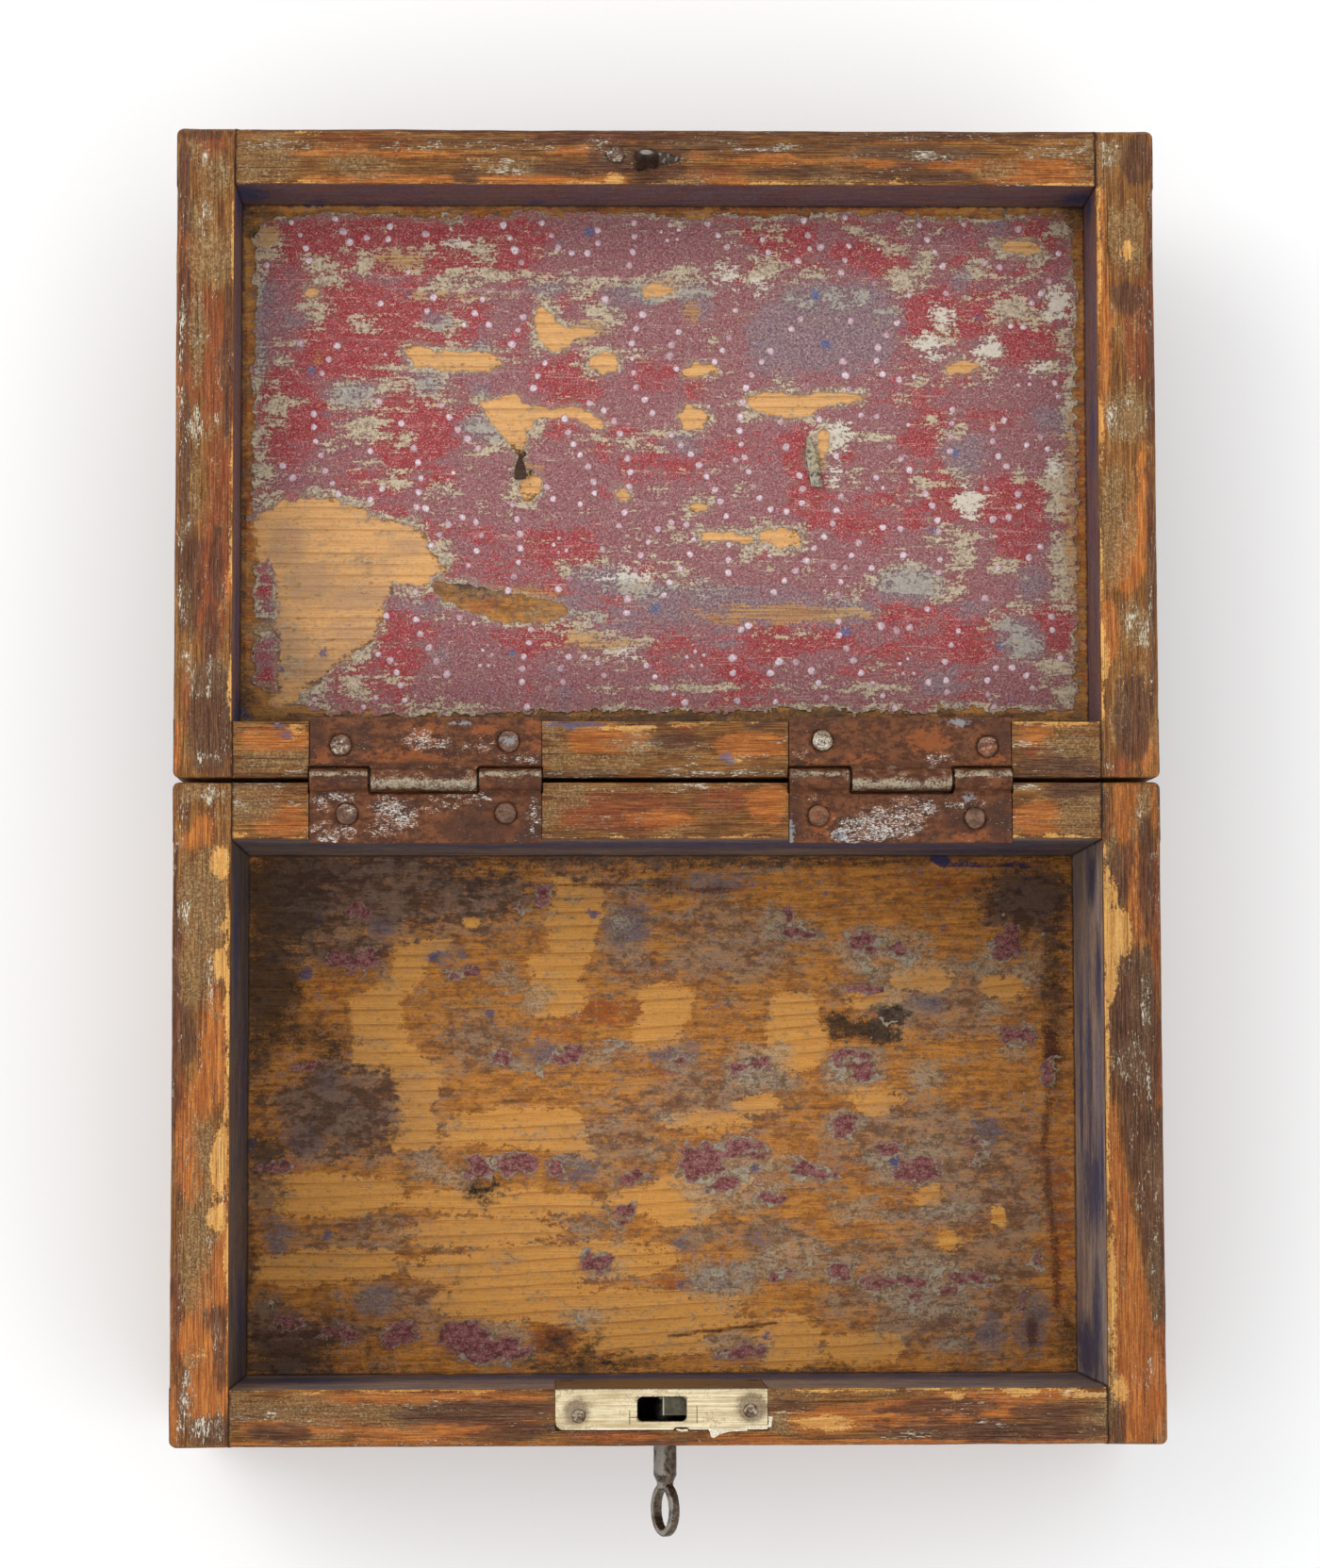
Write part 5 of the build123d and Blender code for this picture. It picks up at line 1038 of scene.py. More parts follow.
def marks(name, p, lid):
    """Per-vertex wear and colour marks."""
    x, y, z = p[:, 0], p[:, 1], p[:, 2]
    y0, y1 = (LY0, LY1) if lid else (-D2, D2)
    zw = LZ1 if lid else BT
    wide = name in ("tray_bottom_board", "lid_top_board")
    a = {"ring": ring_number(name, x, y, z)}
    in_x, in_y = XI - np.abs(x), np.minimum(y - y0 - TF, y1 - TF - y)
    if wide:
        top = z > zw - 0.01
        wx, wy = warped(x, y)
        for k, rows in (PANEL_MARKS if lid else FLOOR_MARKS).items():
            lim = 9.0 if k in ("dark", "film", "murk") else 3.0
            v = np.full(len(p), -lim)
            sel = top & (in_x > -1) & (in_y > -1)
            v[sel] = spots(wx[sel], wy[sel], rows, zw, lim)
            a[k] = v
        a["outer"] = np.where(z < (zw - 2.0), 1.0, 0.0)
        d = np.minimum(in_x, in_y)
        a["joint"] = np.where(top, np.clip(1 - d / 1.1, 0, 1), 0)
        zb = LZ0 if lid else 0.0
        e = np.minimum(np.minimum(W2 - np.abs(x), np.minimum(y - y0, y1 - y)), 50) + (z - zb)
        a["edge"] = np.clip(1.2 - e / 3.0, 0, 1)
        a["film"] = a["film"] * 0.45
        return a
    dj = np.full(len(p), 9.0)
    ends = (y < y0 + TF + .01) | (y > y1 - TF - .01)
    dj = np.minimum(dj, np.where(ends, np.abs(np.abs(x) - XI), 9))
    dj = np.minimum(dj, np.where(np.abs(x) > XI - .01, np.minimum(np.abs(y - y0 - TF), np.abs(y - y1 + TF)) + 4 * (z > RIM - 0.3), 9))
    for t in (v for r in (LID_TAILS if lid else TRAY_TAILS) for v in r):
        dj = np.minimum(dj, np.where((np.abs(x) > XI) & ends & (z < RIM - .3), np.abs(z - t), 9))
    dj = np.minimum(dj, np.abs(z - zw))
    a["joint"] = np.clip(1 - dj / 1.3, 0, 1)
    inside = (in_x > -.01) & (in_y > -.01)
    a["inner"] = np.where(inside & (z < RIM - 0.4), 1.0, 0.0)
    rim = (z > RIM - 3.0) & ~inside
    a["wild"] = np.where(rim, 0.35, 1.0)
    wx, wy = warped(x, y, 0.5, 131)
    for k in ("orange", "dark", "grime", "bare", "pale", "red", "smear"):
        v = np.full(len(p), -3.0)
        rows = RIM_MARKS[name].get(k, [])
        v[rim] = spots(wx[rim], wy[rim], rows, RIM) if rows else -3.0
        a[k] = v
    # arrises all round are rubbed pale, and the edge of the opening is bare in places
    ox, oy = W2 - np.abs(x), np.minimum(y - y0, y1 - y)
    arris = np.minimum(np.hypot(ox, oy), np.minimum(np.hypot(ox, RIM - z), np.hypot(oy, RIM - z)))
    arris = np.where(z < RIM - 4, arris, 9)
    a["orange"] = np.maximum(a["orange"], 1.6 - arris)
    nz = noise(p, 14.0, 501)
    lip = np.where(rim & (z < RIM + .01), np.minimum(np.abs(in_x) + 50 * (in_y < 0), np.abs(in_y) + 50 * (in_x < 0)), 9)
    a["bare"] = np.maximum(a["bare"], np.clip((0.5 if "right" in name else 0.0) + nz * 1.6 - lip, -3, 3))
    a["blue"] = ball(p, WALL_BLUE)
    if name == "lid_front_board":
        # round the hook the rim is darkened: rust, with the hook's painted shadow to its lower right
        hook_rust_and_shadow = spots(wx[rim], wy[rim], [(668, 700, 155, 181), (690, 724, 159, 177, 4), (637, 668, 157, 177)], RIM)
        a["joint"][rim] = np.maximum(a["joint"][rim], np.clip(0.45 + 0.4 * hook_rust_and_shadow, 0, 1))
    return a


for i, nm in enumerate(SHAPES):
    grain = "y" if ("left" in nm or "right" in nm) else "x"
    lid_part = nm.startswith("lid")
    if nm in ("tray_bottom_board", "lid_top_board"):
        wood = floor_material(nm + "_wood", 10.0 + 9.0 * i, lid_part)
    else:
        # the first table is painted light and shade on the inside of the tray's walls; the second sets each board's
        # overall brightness
        wood = board_material(nm + "_wood", grain, 10.0 + 9.0 * i, "lid" if lid_part else "tray", {"tray_left_board": 0.55, "tray_right_board": 1.68, "tray_front_board": 1.18, "tray_back_board": 1.05}.get(nm, 1.0), {"tray_left_board": 1.13, "lid_left_board": 1.17, "lid_right_board": 1.15, "tray_front_board": 1.0, "tray_right_board": 0.97, "lid_front_board": 1.07, "tray_back_board": 1.03, "lid_back_board": 1.03}.get(nm, 1.0))
    board(nm, wood)

# ------------------------------------------------------------------ lining paper
PAPER_EDGE = [(272, 330), (268, 262), (282, 238), (300, 229), (420, 229), (560, 227), (700, 229), (860, 227), (1000, 229), (1120, 230), (1136, 236), (1141, 300), (1139, 420), (1143, 520), (1141, 640), (1140, 735), (1132, 752), (1000, 753),
              (860, 755), (700, 753), (560, 757), (420, 756), (330, 755), (312, 746), (328, 729), (357, 706), (395, 679), (405, 654), (419, 621), (448, 623), (473, 604), (455, 586), (442, 557), (399, 548), (376, 534), (332, 524), (299, 530), (268, 548), (268, 440)]
PAPER_EXTRA = [[(270, 602), (284, 600), (293, 625), (291, 655), (284, 660), (270, 650)], [(267, 684), (272, 674), (288, 668), (297, 690), (298, 730), (286, 733), (268, 722)]]
PAPER_HOLES = [
    [(455, 617), (500, 620), (560, 634), (596, 640), (604, 648), (585, 660), (540, 661), (500, 650), (470, 636)],
    [(566, 338), (572, 326), (582, 330), (590, 340), (596, 346), (633, 349), (631, 356), (610, 359), (600, 369), (584, 372), (570, 360)],
    [(430, 366), (444, 366), (462, 374), (500, 374), (524, 376), (532, 386), (520, 393), (470, 392), (440, 390), (434, 380)],
    [(507, 424), (524, 424), (545, 418), (556, 430), (580, 434), (606, 430), (630, 440), (643, 450), (634, 455), (612, 444), (590, 442), (570, 444), (560, 455), (556, 480), (553, 492), (540, 470), (518, 444)],
    [(551, 503), (563, 501), (573, 508), (570, 522), (560, 534), (551, 524)],
    [(679, 306), (694, 301), (714, 303), (716, 309), (700, 314), (684, 315)], [(724, 392), (737, 384), (758, 388), (760, 394), (744, 398), (728, 398)],
    [(718, 440), (728, 430), (745, 432), (753, 446), (744, 455), (726, 455)], [(626, 380), (640, 374), (654, 377), (656, 390), (640, 395), (628, 390)],
    [(1056, 260), (1072, 256), (1096, 258), (1104, 264), (1090, 271), (1066, 268)],
    [(790, 424), (810, 416), (850, 418), (890, 416), (914, 420), (900, 428), (872, 432), (862, 440), (830, 443), (800, 438)],
    [(1002, 388), (1020, 383), (1038, 388), (1030, 396), (1008, 396)], [(743, 564), (780, 566), (803, 570), (800, 578), (770, 574), (745, 572)], [(805, 564), (830, 559), (848, 566), (848, 578), (825, 580), (808, 574)],
    [(869, 454), (878, 454), (880, 474), (872, 486), (867, 478)], (323, 339, 303, 315), (654, 666, 518, 530), (733, 750, 534, 542), (856, 869, 480, 500)]
PAPER_MARKS = dict(
    thread=[(273, 560, 291, 294), (560, 760, 293, 297, 0.6), (330, 640, 306, 309, 0.3), (430, 600, 309.5, 311.5), (280, 420, 423.5, 426), (480, 720, 369, 371.5, 0.4), (560, 725, 449, 451.5, 1), (600, 700, 462, 464), (640, 720, 466, 468, 2), (700, 940, 308, 310.5, 0.8), (300, 460, 348, 350), (640, 760, 500, 502.5), (850, 1010, 452, 454.5, -1), (900, 1100, 408, 410, 1), (420, 560, 520, 522), (760, 980, 594, 596.5), (540, 760, 700, 702.5, 0.6), (480, 690, 728, 730), (1010, 1120, 560, 562)],
    scuff=[(604, 694, 669, 682, 4), (566, 604, 654, 670, 30), (604, 640, 650, 662), (700, 800, 620, 626), (930, 985, 600, 622, -20), (266, 301, 238, 276, -45), (323, 366, 271, 292, 10), (330, 362, 285, 307), (374, 466, 262, 275, -4), (398, 448, 263, 289), (374, 400, 268, 290, 60), (472, 500, 251, 270), (495, 526, 255, 278, 40), (478, 560, 286, 297), (444, 506, 295, 309), (412, 546, 309, 317), (321, 353, 316, 332, 10), (326, 345, 325, 346), (374, 404, 334, 350), (446, 492, 336, 350),
           (349, 398, 406, 436, 10), (366, 412, 437, 470), (357, 390, 446, 462), (343, 366, 464, 476, -25), (281, 303, 412, 452), (303, 329, 422, 427), (426, 480, 402, 415), (291, 311, 372, 388), (494, 516, 440, 458), (398, 426, 386, 396), (265, 285, 452, 476), (424, 436, 456, 476), (550, 662, 291, 306, 2), (580, 662, 296, 310), (662, 757, 291, 303), (664, 757, 303, 317), (713, 737, 281, 299), (759, 785, 283, 308), (783, 837, 276, 300, -38), (797, 817, 295, 314), (795, 837, 235, 246),
           (568, 592, 307, 344), (598, 640, 340, 362), (564, 580, 340, 378), (620, 658, 324, 346), (612, 660, 368, 398), (655, 691, 372, 380), (424, 440, 362, 384), (440, 540, 366, 376), (554, 578, 444, 464), (504, 520, 420, 440), (679, 747, 455, 463, 4), (606, 707, 464, 474, 8), (711, 731, 231, 239), (845, 865, 313, 326), (819, 847, 402, 416), (786, 810, 428, 446), (890, 918, 412, 424), (889, 967, 246, 260, 24), (951, 976, 239, 251, -30), (972, 992, 269, 293), (935, 978, 287, 311), (903, 921, 307, 324), (929, 963, 328, 336), (982, 1016, 320, 346, 40), (975, 1000, 352, 388, -50), (990, 1020, 352, 366), (1034, 1064, 352, 388, 50), (1050, 1090, 316, 340, -20), (1090, 1110, 271, 295), (1106, 1134, 303, 342), (1116, 1140, 344, 376), (1096, 1124, 382, 396), (1024, 1048, 273, 287), (1112, 1132, 235, 251), (1036, 1056, 392, 408), (1048, 1110, 252, 276), (855, 873, 283, 295), (967, 1000, 446, 454), (905, 947, 456, 466), (875, 901, 446, 480, 20), (860, 880, 444, 500), (404, 432, 497, 517), (378, 406, 487, 495), (450, 484, 515, 527), (265, 287, 479, 521), (366, 392, 716, 744, -50), (392, 418, 716, 724), (337, 350, 742, 756), (402, 560, 745, 751), (723, 755, 527, 545), (781, 801, 515, 525), (613, 631, 594, 612), (634, 646, 613, 625), (594, 610, 596, 610),
           (270, 300, 524, 540, -15), (330, 400, 524, 540, 18), (395, 450, 545, 562, 12), (446, 480, 570, 612, 60), (410, 460, 618, 630), (396, 412, 640, 670), (355, 400, 676, 708, -40), (312, 345, 716, 745, -35), (452, 500, 612, 624), (500, 560, 624, 640), (600, 640, 662, 690, 30), (638, 681, 674, 697, 10), (640, 700, 606, 630, 20), (736, 812, 560, 568), (800, 860, 556, 584), (620, 836, 725, 733), (855, 963, 726, 733), (636, 656, 742, 754), (875, 893, 491, 517), (895, 913, 499, 509), (967, 988, 503, 521, 30), (1006, 1030, 493, 512), (1014, 1044, 517, 549, 40), (941, 957, 533, 541), (1074, 1086, 499, 511), (1108, 1144, 481, 560), (1112, 1144, 560, 650), (1098, 1142, 500, 520), (1012, 1032, 563, 608), (1050, 1086, 593, 608), (919, 1026, 604, 636, 8), (1042, 1104, 656, 676, 35), (1070, 1110, 672, 700, 30), (1100, 1136, 696, 724), (1126, 1143, 400, 480), (1118, 1143, 720, 752), (268, 282, 360, 420), (268, 280, 276, 300), (870, 930, 640, 656), (540, 560, 498, 536)],
    slate=[(560, 640, 632, 652), (620, 700, 640, 660, 3), (636, 700, 656, 668), (650, 860, 622, 640, -1), (271, 291, 291, 336), (268, 284, 300, 400), (349, 398, 406, 430), (482, 514, 618, 632), (412, 474, 634, 650), (454, 482, 686, 706), (265, 285, 539, 571), (590, 608, 728, 752), (580, 598, 706, 718), (1050, 1076, 231, 251), (743, 773, 618, 626), (1012, 1046, 640, 658), (975, 1026, 706, 744), (715, 931, 630, 668), (674, 726, 616, 664), (811, 955, 295, 396), (1092, 1132, 432, 458), (1020, 1040, 460, 480), (1004, 1032, 283, 316), (763, 781, 676, 690), (626, 640, 644, 664), (1000, 1050, 466, 500), (640, 700, 300, 330), (560, 600, 300, 315), (500, 520, 360, 376), (500, 520, 405, 425), (440, 470, 395, 420), (600, 680, 600, 640), (930, 1000, 600, 640), (790, 860, 320, 400), (700, 740, 460, 480), (1050, 1110, 655, 700), (480, 560, 440, 470), (300, 330, 326, 350), (720, 760, 300, 340), (450, 480, 330, 350), (1080, 1110, 600, 640)],
    mauve=[(560, 800, 230, 300), (600, 900, 300, 400, 3), (470, 640, 390, 420), (640, 860, 330, 470), (560, 860, 480, 600, 3), (700, 1000, 560, 660), (420, 560, 640, 760), (430, 640, 470, 560), (640, 800, 640, 740), (800, 960, 280, 420), (900, 1140, 560, 640), (270, 330, 290, 400), (1000, 1140, 400, 520), (440, 560, 300, 350), (820, 1000, 690, 750), (280, 360, 460, 520), (560, 720, 680, 755), (1040, 1140, 690, 750), (860, 960, 430, 520), (960, 1010, 240, 290), (300, 360, 396, 420)],
    crimson=[(280, 600, 229, 290), (296, 430, 300, 400), (410, 520, 306, 360), (290, 350, 350, 400), (891, 967, 258, 287), (855, 919, 376, 394), (1066, 1122, 340, 380), (967, 1048, 307, 356), (992, 1082, 430, 462), (959, 996, 450, 476), (1068, 1116, 239, 255), (446, 486, 495, 525), (628, 654, 475, 497), (632, 652, 515, 527), (799, 823, 583, 596), (675, 763, 676, 722), (893, 915, 475, 495), (983, 1012, 495, 541), (1036, 1106, 499, 551), (881, 941, 553, 592), (1046, 1102, 555, 604), (927, 963, 632, 654), (1004, 1032, 608, 630), (1098, 1134, 652, 692), (715, 755, 400, 425), (280, 340, 380, 500), (400, 480, 420, 500), (600, 640, 560, 600), (560, 600, 560, 590), (410, 450, 655, 740), (470, 620, 660, 690), (760, 900, 660, 700), (880, 1000, 690, 720), (660, 720, 380, 420), (560, 640, 390, 420), (1120, 1140, 519, 551), (360, 470, 650, 690), (780, 860, 240, 262), (640, 760, 480, 520), (830, 870, 470, 560), (1000, 1060, 650, 700), (740, 800, 690, 730)],
    blue=[(325, 335, 388, 396), (619, 629, 241, 251), (699, 707, 307, 315), (859, 871, 305, 320), (871, 881, 362, 370), (1034, 1042, 334, 340), (892, 902, 667, 675), (655, 661, 334, 338), (430, 436, 310, 316), (1005, 1016, 476, 484), (986, 992, 560, 566), (540, 548, 690, 698), (740, 748, 612, 618), (800, 812, 648, 656), (690, 700, 640, 650), (1056, 1064, 680, 688)],
    ochre=[(398, 448, 266, 286), (412, 546, 311, 316), (638, 675, 676, 688), (715, 931, 640, 662), (330, 342, 375, 386), (726, 742, 318, 346), (600, 640, 342, 360), (690, 716, 296, 302), (1028, 1040, 384, 398), (270, 300, 240, 262, -45), (1128, 1144, 440, 640), (866, 876, 480, 500), (560, 575, 492, 500), (1060, 1100, 254, 260), (500, 600, 622, 640), (600, 640, 670, 690)],
    bright=[(759, 785, 283, 308), (797, 817, 295, 314), (1034, 1064, 352, 388, 50), (982, 1016, 320, 346, 40), (875, 901, 446, 480, 20), (1014, 1044, 517, 549, 40), (875, 893, 491, 517), (1106, 1134, 303, 342), (446, 466, 372, 380), (1096, 1110, 382, 396), (470, 500, 251, 262), (636, 690, 602, 616), (1108, 1130, 486, 500), (640, 684, 688, 698), (975, 1000, 352, 388, -50)])


def paper_height(x, y):
    p = np.stack([x, y, np.zeros_like(x)], 1)
    return LZ1 + 0.16 + 0.05 * fbm(p, 12.0, 301, 3)


def trace(f, x, y):
    """Keeps the cells of a grid that touch f > 0, with the corners outside pulled in to f = 0. Returns vertices (x, y, kept indices) and quads."""
    ny = len(y)
    X, Y = np.meshgrid(x, y, indexing="ij")
    ins = f > 0
    cell = ins[:-1, :-1] | ins[1:, :-1] | ins[:-1, 1:] | ins[1:, 1:]
    gx, gy = np.gradient(f, x, y)
    g2 = np.maximum(gx * gx + gy * gy, 0.05)
    st = x[1] - x[0]
    mx, my = np.where(ins, 0, -f * gx / g2), np.where(ins, 0, -f * gy / g2)
    ml = np.hypot(mx, my)
    k = np.where(ml > 1.1 * st, 1.1 * st / np.maximum(ml, 1e-6), 1.0)
    X, Y = X + mx * k, Y + my * k
    i, j = np.nonzero(cell)
    q = np.stack([i * ny + j, (i + 1) * ny + j, (i + 1) * ny + j + 1, i * ny + j + 1], 1)
    used, inv = np.unique(q, return_inverse=True)
    return X.ravel()[used], Y.ravel()[used], used, inv.reshape(q.shape)


def rim_edges(q):
    """The directed edges that only one quad has."""
    e = np.concatenate([q[:, [0, 1]], q[:, [1, 2]], q[:, [2, 3]], q[:, [3, 0]]])
    key = np.sort(e, 1)
    _, idx, cnt = np.unique(key, axis=0, return_index=True, return_counts=True)
    return e[idx[cnt == 1]]


def film_piece(name, x, y, f, top, foot, body, mat, attrs_of):
    """A thin torn layer where f > 0, with top(x, y) above and a small wall down to foot."""
    vx, vy, used, q = trace(f, x, y)
    ff = f.ravel()[used]
    z = top(vx, vy)
    n = len(vx)
    e = rim_edges(q)
    ring, inv = np.unique(e, return_inverse=True)
    inv = inv.reshape(e.shape)
    low = n + np.arange(len(ring))
    verts = np.concatenate([np.stack([vx, vy, z], 1), np.stack([vx[ring], vy[ring], np.full(len(ring), foot)], 1)])
    wall = np.stack([e[:, 1], e[:, 0], low[inv[:, 0]], low[inv[:, 1]]], 1)
    at_ = attrs_of(verts[:, 0], verts[:, 1])
    at_["inset"] = np.concatenate([np.clip(ff, -1, 6), np.full(len(ring), -1.0)])
    return make(name, verts, [q, wall], body, mat, at_, sharp=50)


def paper_material():
    m = bpy.data.materials.new("lining_paper_old")
    n = Nodes(m)
    weave = n.nz(0.5, 3.0, 0.8, 61)
    fine = n.nz(1.0, 5.0, 0.78, 62)
    med = n.nz((3.4, 2.1, 3.0), 6.0, 0.74, 63)
    big = n.nz((13.0, 7.0, 8.0), 6.0, 0.66, 64)
    hs = n.nz((18.0, 0.45, 2.0), 4.0, 0.7, 65)
    rag = n.add(n.mul(n.nz((8.0, 2.6, 3.0), 5.0, 0.7, 69), 1.25), n.add(n.mul(med, 1.0), n.add(n.mul(fine, 1.0), n.add(n.mul(hs, 0.5), n.mul(weave, 0.5)))))
    cr = n.mix(n.step(n.add(fine, n.mul(med, 0.5)), -1.4, 1.4), lin(138, 43, 48), lin(170, 70, 71))
    mv = n.mix(n.step(fine, -1.2, 1.2), lin(124, 74, 79), lin(157, 106, 107))
    z = n.add(n.sub(n.mul(n.attr("crimson"), 0.7), n.mul(n.attr("mauve"), 0.55)), n.add(n.mul(big, 1.1), n.add(n.mul(med, 0.8), n.mul(fine, 0.6))))
    col = n.mix(n.mul(n.step(z, 0.9, -1.4), 0.92), cr, mv)
    # thin worn lines with the grain of the wood below
    line = n.mul(n.step(n.add(hs, n.mul(big, 0.3)), 1.3, 2.1), n.step(n.nz((16.0, 5.0, 5.0), 3.0, 0.6, 66), -0.4, 1.0))
    line = n.math("MAXIMUM", line, n.step(n.add(n.attr("thread"), n.add(n.mul(hs, 0.3), n.mul(med, 0.5))), -0.6, 0.9))
    col = n.mix(n.mul(line, 0.66), col, lin(188, 164, 150))
    sl = n.step(n.add(n.mul(n.attr("slate"), 0.85), n.add(n.mul(rag, -0.8), n.mul(fine, 0.5))), -0.9, 2.0)
    col = n.mix(n.mul(sl, 0.66), col, n.mix(n.step(fine, -1.0, 1.2), lin(104, 88, 98), lin(146, 136, 138)))
    # the weave: pale and dark specks
    sp = n.step(n.add(weave, n.mul(med, 0.35)), 0.35, 2.1)
    col = n.mix(n.mul(sp, 0.5), col, lin(206, 182, 180))
    dk = n.step(n.mul(weave, -1.0), 0.7, 2.2)
    col = n.mix(n.mul(dk, 0.4), col, lin(92, 44, 54))
    blu = n.step(n.add(n.attr("blue"), n.add(n.mul(med, 0.4), n.mul(fine, 0.4))), -0.5, 0.6)
    blv = n.step(n.add(n.nz((6.0, 2.8, 3.0), 6.0, 0.76, 67), n.mul(weave, 0.3)), 1.9, 2.7)
    col = n.mix(n.mul(n.math("MAXIMUM", blu, n.mul(blv, 0.6)), 0.8), col, n.mix(n.step(weave, -1.0, 1.0), lin(66, 84, 134), lin(104, 118, 150)))
    # rubbed through the colour to the grey paper, and torn at the edge
    tear = n.add(n.mul(n.attr("inset"), -1.5), n.add(0.5, n.mul(n.nz((24.0, 16.0, 9.0), 2.0, 0.5, 70), 1.5)))
    sc = n.add(n.math("MAXIMUM", n.attr("scuff"), tear), n.add(rag, -0.25))
    free = n.add(n.nz((5.0, 2.0, 3.0), 7.0, 0.82, 68), -1.7)
    scm = n.step(n.math("MAXIMUM", sc, n.mul(free, 1.6)), -0.15, 0.55)
    grey = n.mix(n.step(n.add(fine, n.mul(med, 0.5)), -1.6, 1.4), lin(156, 138, 118), lin(208, 192, 162))
    grey = n.mix(n.mul(n.step(n.add(n.mul(n.attr("slate"), 0.8), n.mul(med, 0.8)), -0.8, 1.6), 0.5), grey, lin(140, 144, 150))
    grey = n.mix(n.mul(n.step(n.add(n.attr("bright"), n.add(n.mul(med, 0.9), n.mul(fine, 0.7))), -1.2, 0.8), 0.7), grey, lin(228, 220, 204))
    grey = n.mix(n.mul(n.step(weave, 0.4, 2.0), 0.4), grey, lin(116, 98, 90))
    col = n.mix(n.mul(scm, 0.92), col, grey)
    oc = n.step(n.add(n.attr("ochre"), n.add(n.mul(rag, 0.7), -0.3)), -0.4, 0.9)
    col = n.mix(n.mul(oc, 0.72), col, n.mix(n.step(hs, -1.2, 1.2), lin(158, 110, 62), lin(200, 150, 88)))
    edge = n.step(n.add(n.attr("inset"), n.add(n.mul(med, 0.9), n.mul(fine, 0.7))), 2.6, 0.0)
    col = n.mix(n.mul(edge, 0.5), col, n.mix(n.step(fine, -1.0, 1.0), lin(136, 116, 100), lin(176, 160, 138)))
    wall = n.step(n.attr("inset"), 0.02, -0.3)
    col = n.mix(n.mul(wall, 0.6), col, lin(150, 132, 108))
    col = n.value(col, n.add(1.0, n.mul(weave, 0.05)))
    h = n.add(n.mul(weave, 0.05), n.add(n.mul(fine, 0.07), n.mul(med, 0.09)))
    h = n.sub(h, n.mul(scm, 0.4))
    n.finish(col, n.remap(fine, -2.0, 2.0, 0.72, 0.88), n.bump(h, 0.2, 0.9), spec=0.12)
    return m


def lining_paper():
    st = 0.7
    x, y = np.arange(-131.0, 131.01, st), np.arange(119.4, 283.3, st)
    X, Y = np.meshgrid(x, y, indexing="ij")
    fx, fy = X.ravel(), Y.ravel()
    wx, wy = warped(fx, fy, 0.75, 211)
    out = np.full(fx.shape, -4.0)
    out = np.maximum(out, np.clip(sd_polygon(wx, wy, px_poly(PAPER_EDGE, LZ1)), -6, 6))
    for pts in PAPER_EXTRA:
        out = np.maximum(out, np.clip(sd_polygon(wx, wy, px_poly(pts, LZ1)), -6, 6))
    p = np.stack([fx, fy, np.zeros_like(fx)], 1)
    rag = 2.6 * fbm(p, np.array([7.0, 4.0, 5.0]), 221, 4, 0.62) + 0.8 * noise(p, 1.7, 222)
    holes = spots(wx, wy, PAPER_HOLES, LZ1)
    few = fbm(p, np.array([11.0, 4.0, 5.0]), 223, 4)
    wander = 2.0 * fbm(p, 22.0, 226, 3)
    f = np.minimum(out + rag * 1.5 + wander, -holes + rag * 0.62 + 0.55 * noise(p, 2.1, 225) - 0.1)
    f = np.minimum(f, (0.62 - few) * 12.0)
    # small islands left on the bare wood beside the tears
    f = np.maximum(f, np.where(out > -4, -3 + np.clip(out, -3, 0) + 7.5 * (fbm(p, np.array([6.0, 3.0, 5.0]), 224, 4) - 0.12), -3))
    f = np.where((np.abs(fx) > 130.4) | (fy < 120.0) | (fy > 282.6), -2.0, f)

    def top(vx, vy):
        return paper_height(vx, vy)

    def attrs(vx, vy):
        ax, ay = warped(vx, vy, 0.9, 231)
        return {k: spots(ax, ay, rows, LZ1) for k, rows in PAPER_MARKS.items()}

    fg = f.reshape(X.shape)
    ob = film_piece("lid_lining_paper_torn", x, y, fg, top, LZ1 - 0.45, "lid", paper_material(), attrs)
    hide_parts("lid_lining_paper")
    return x, y, fg


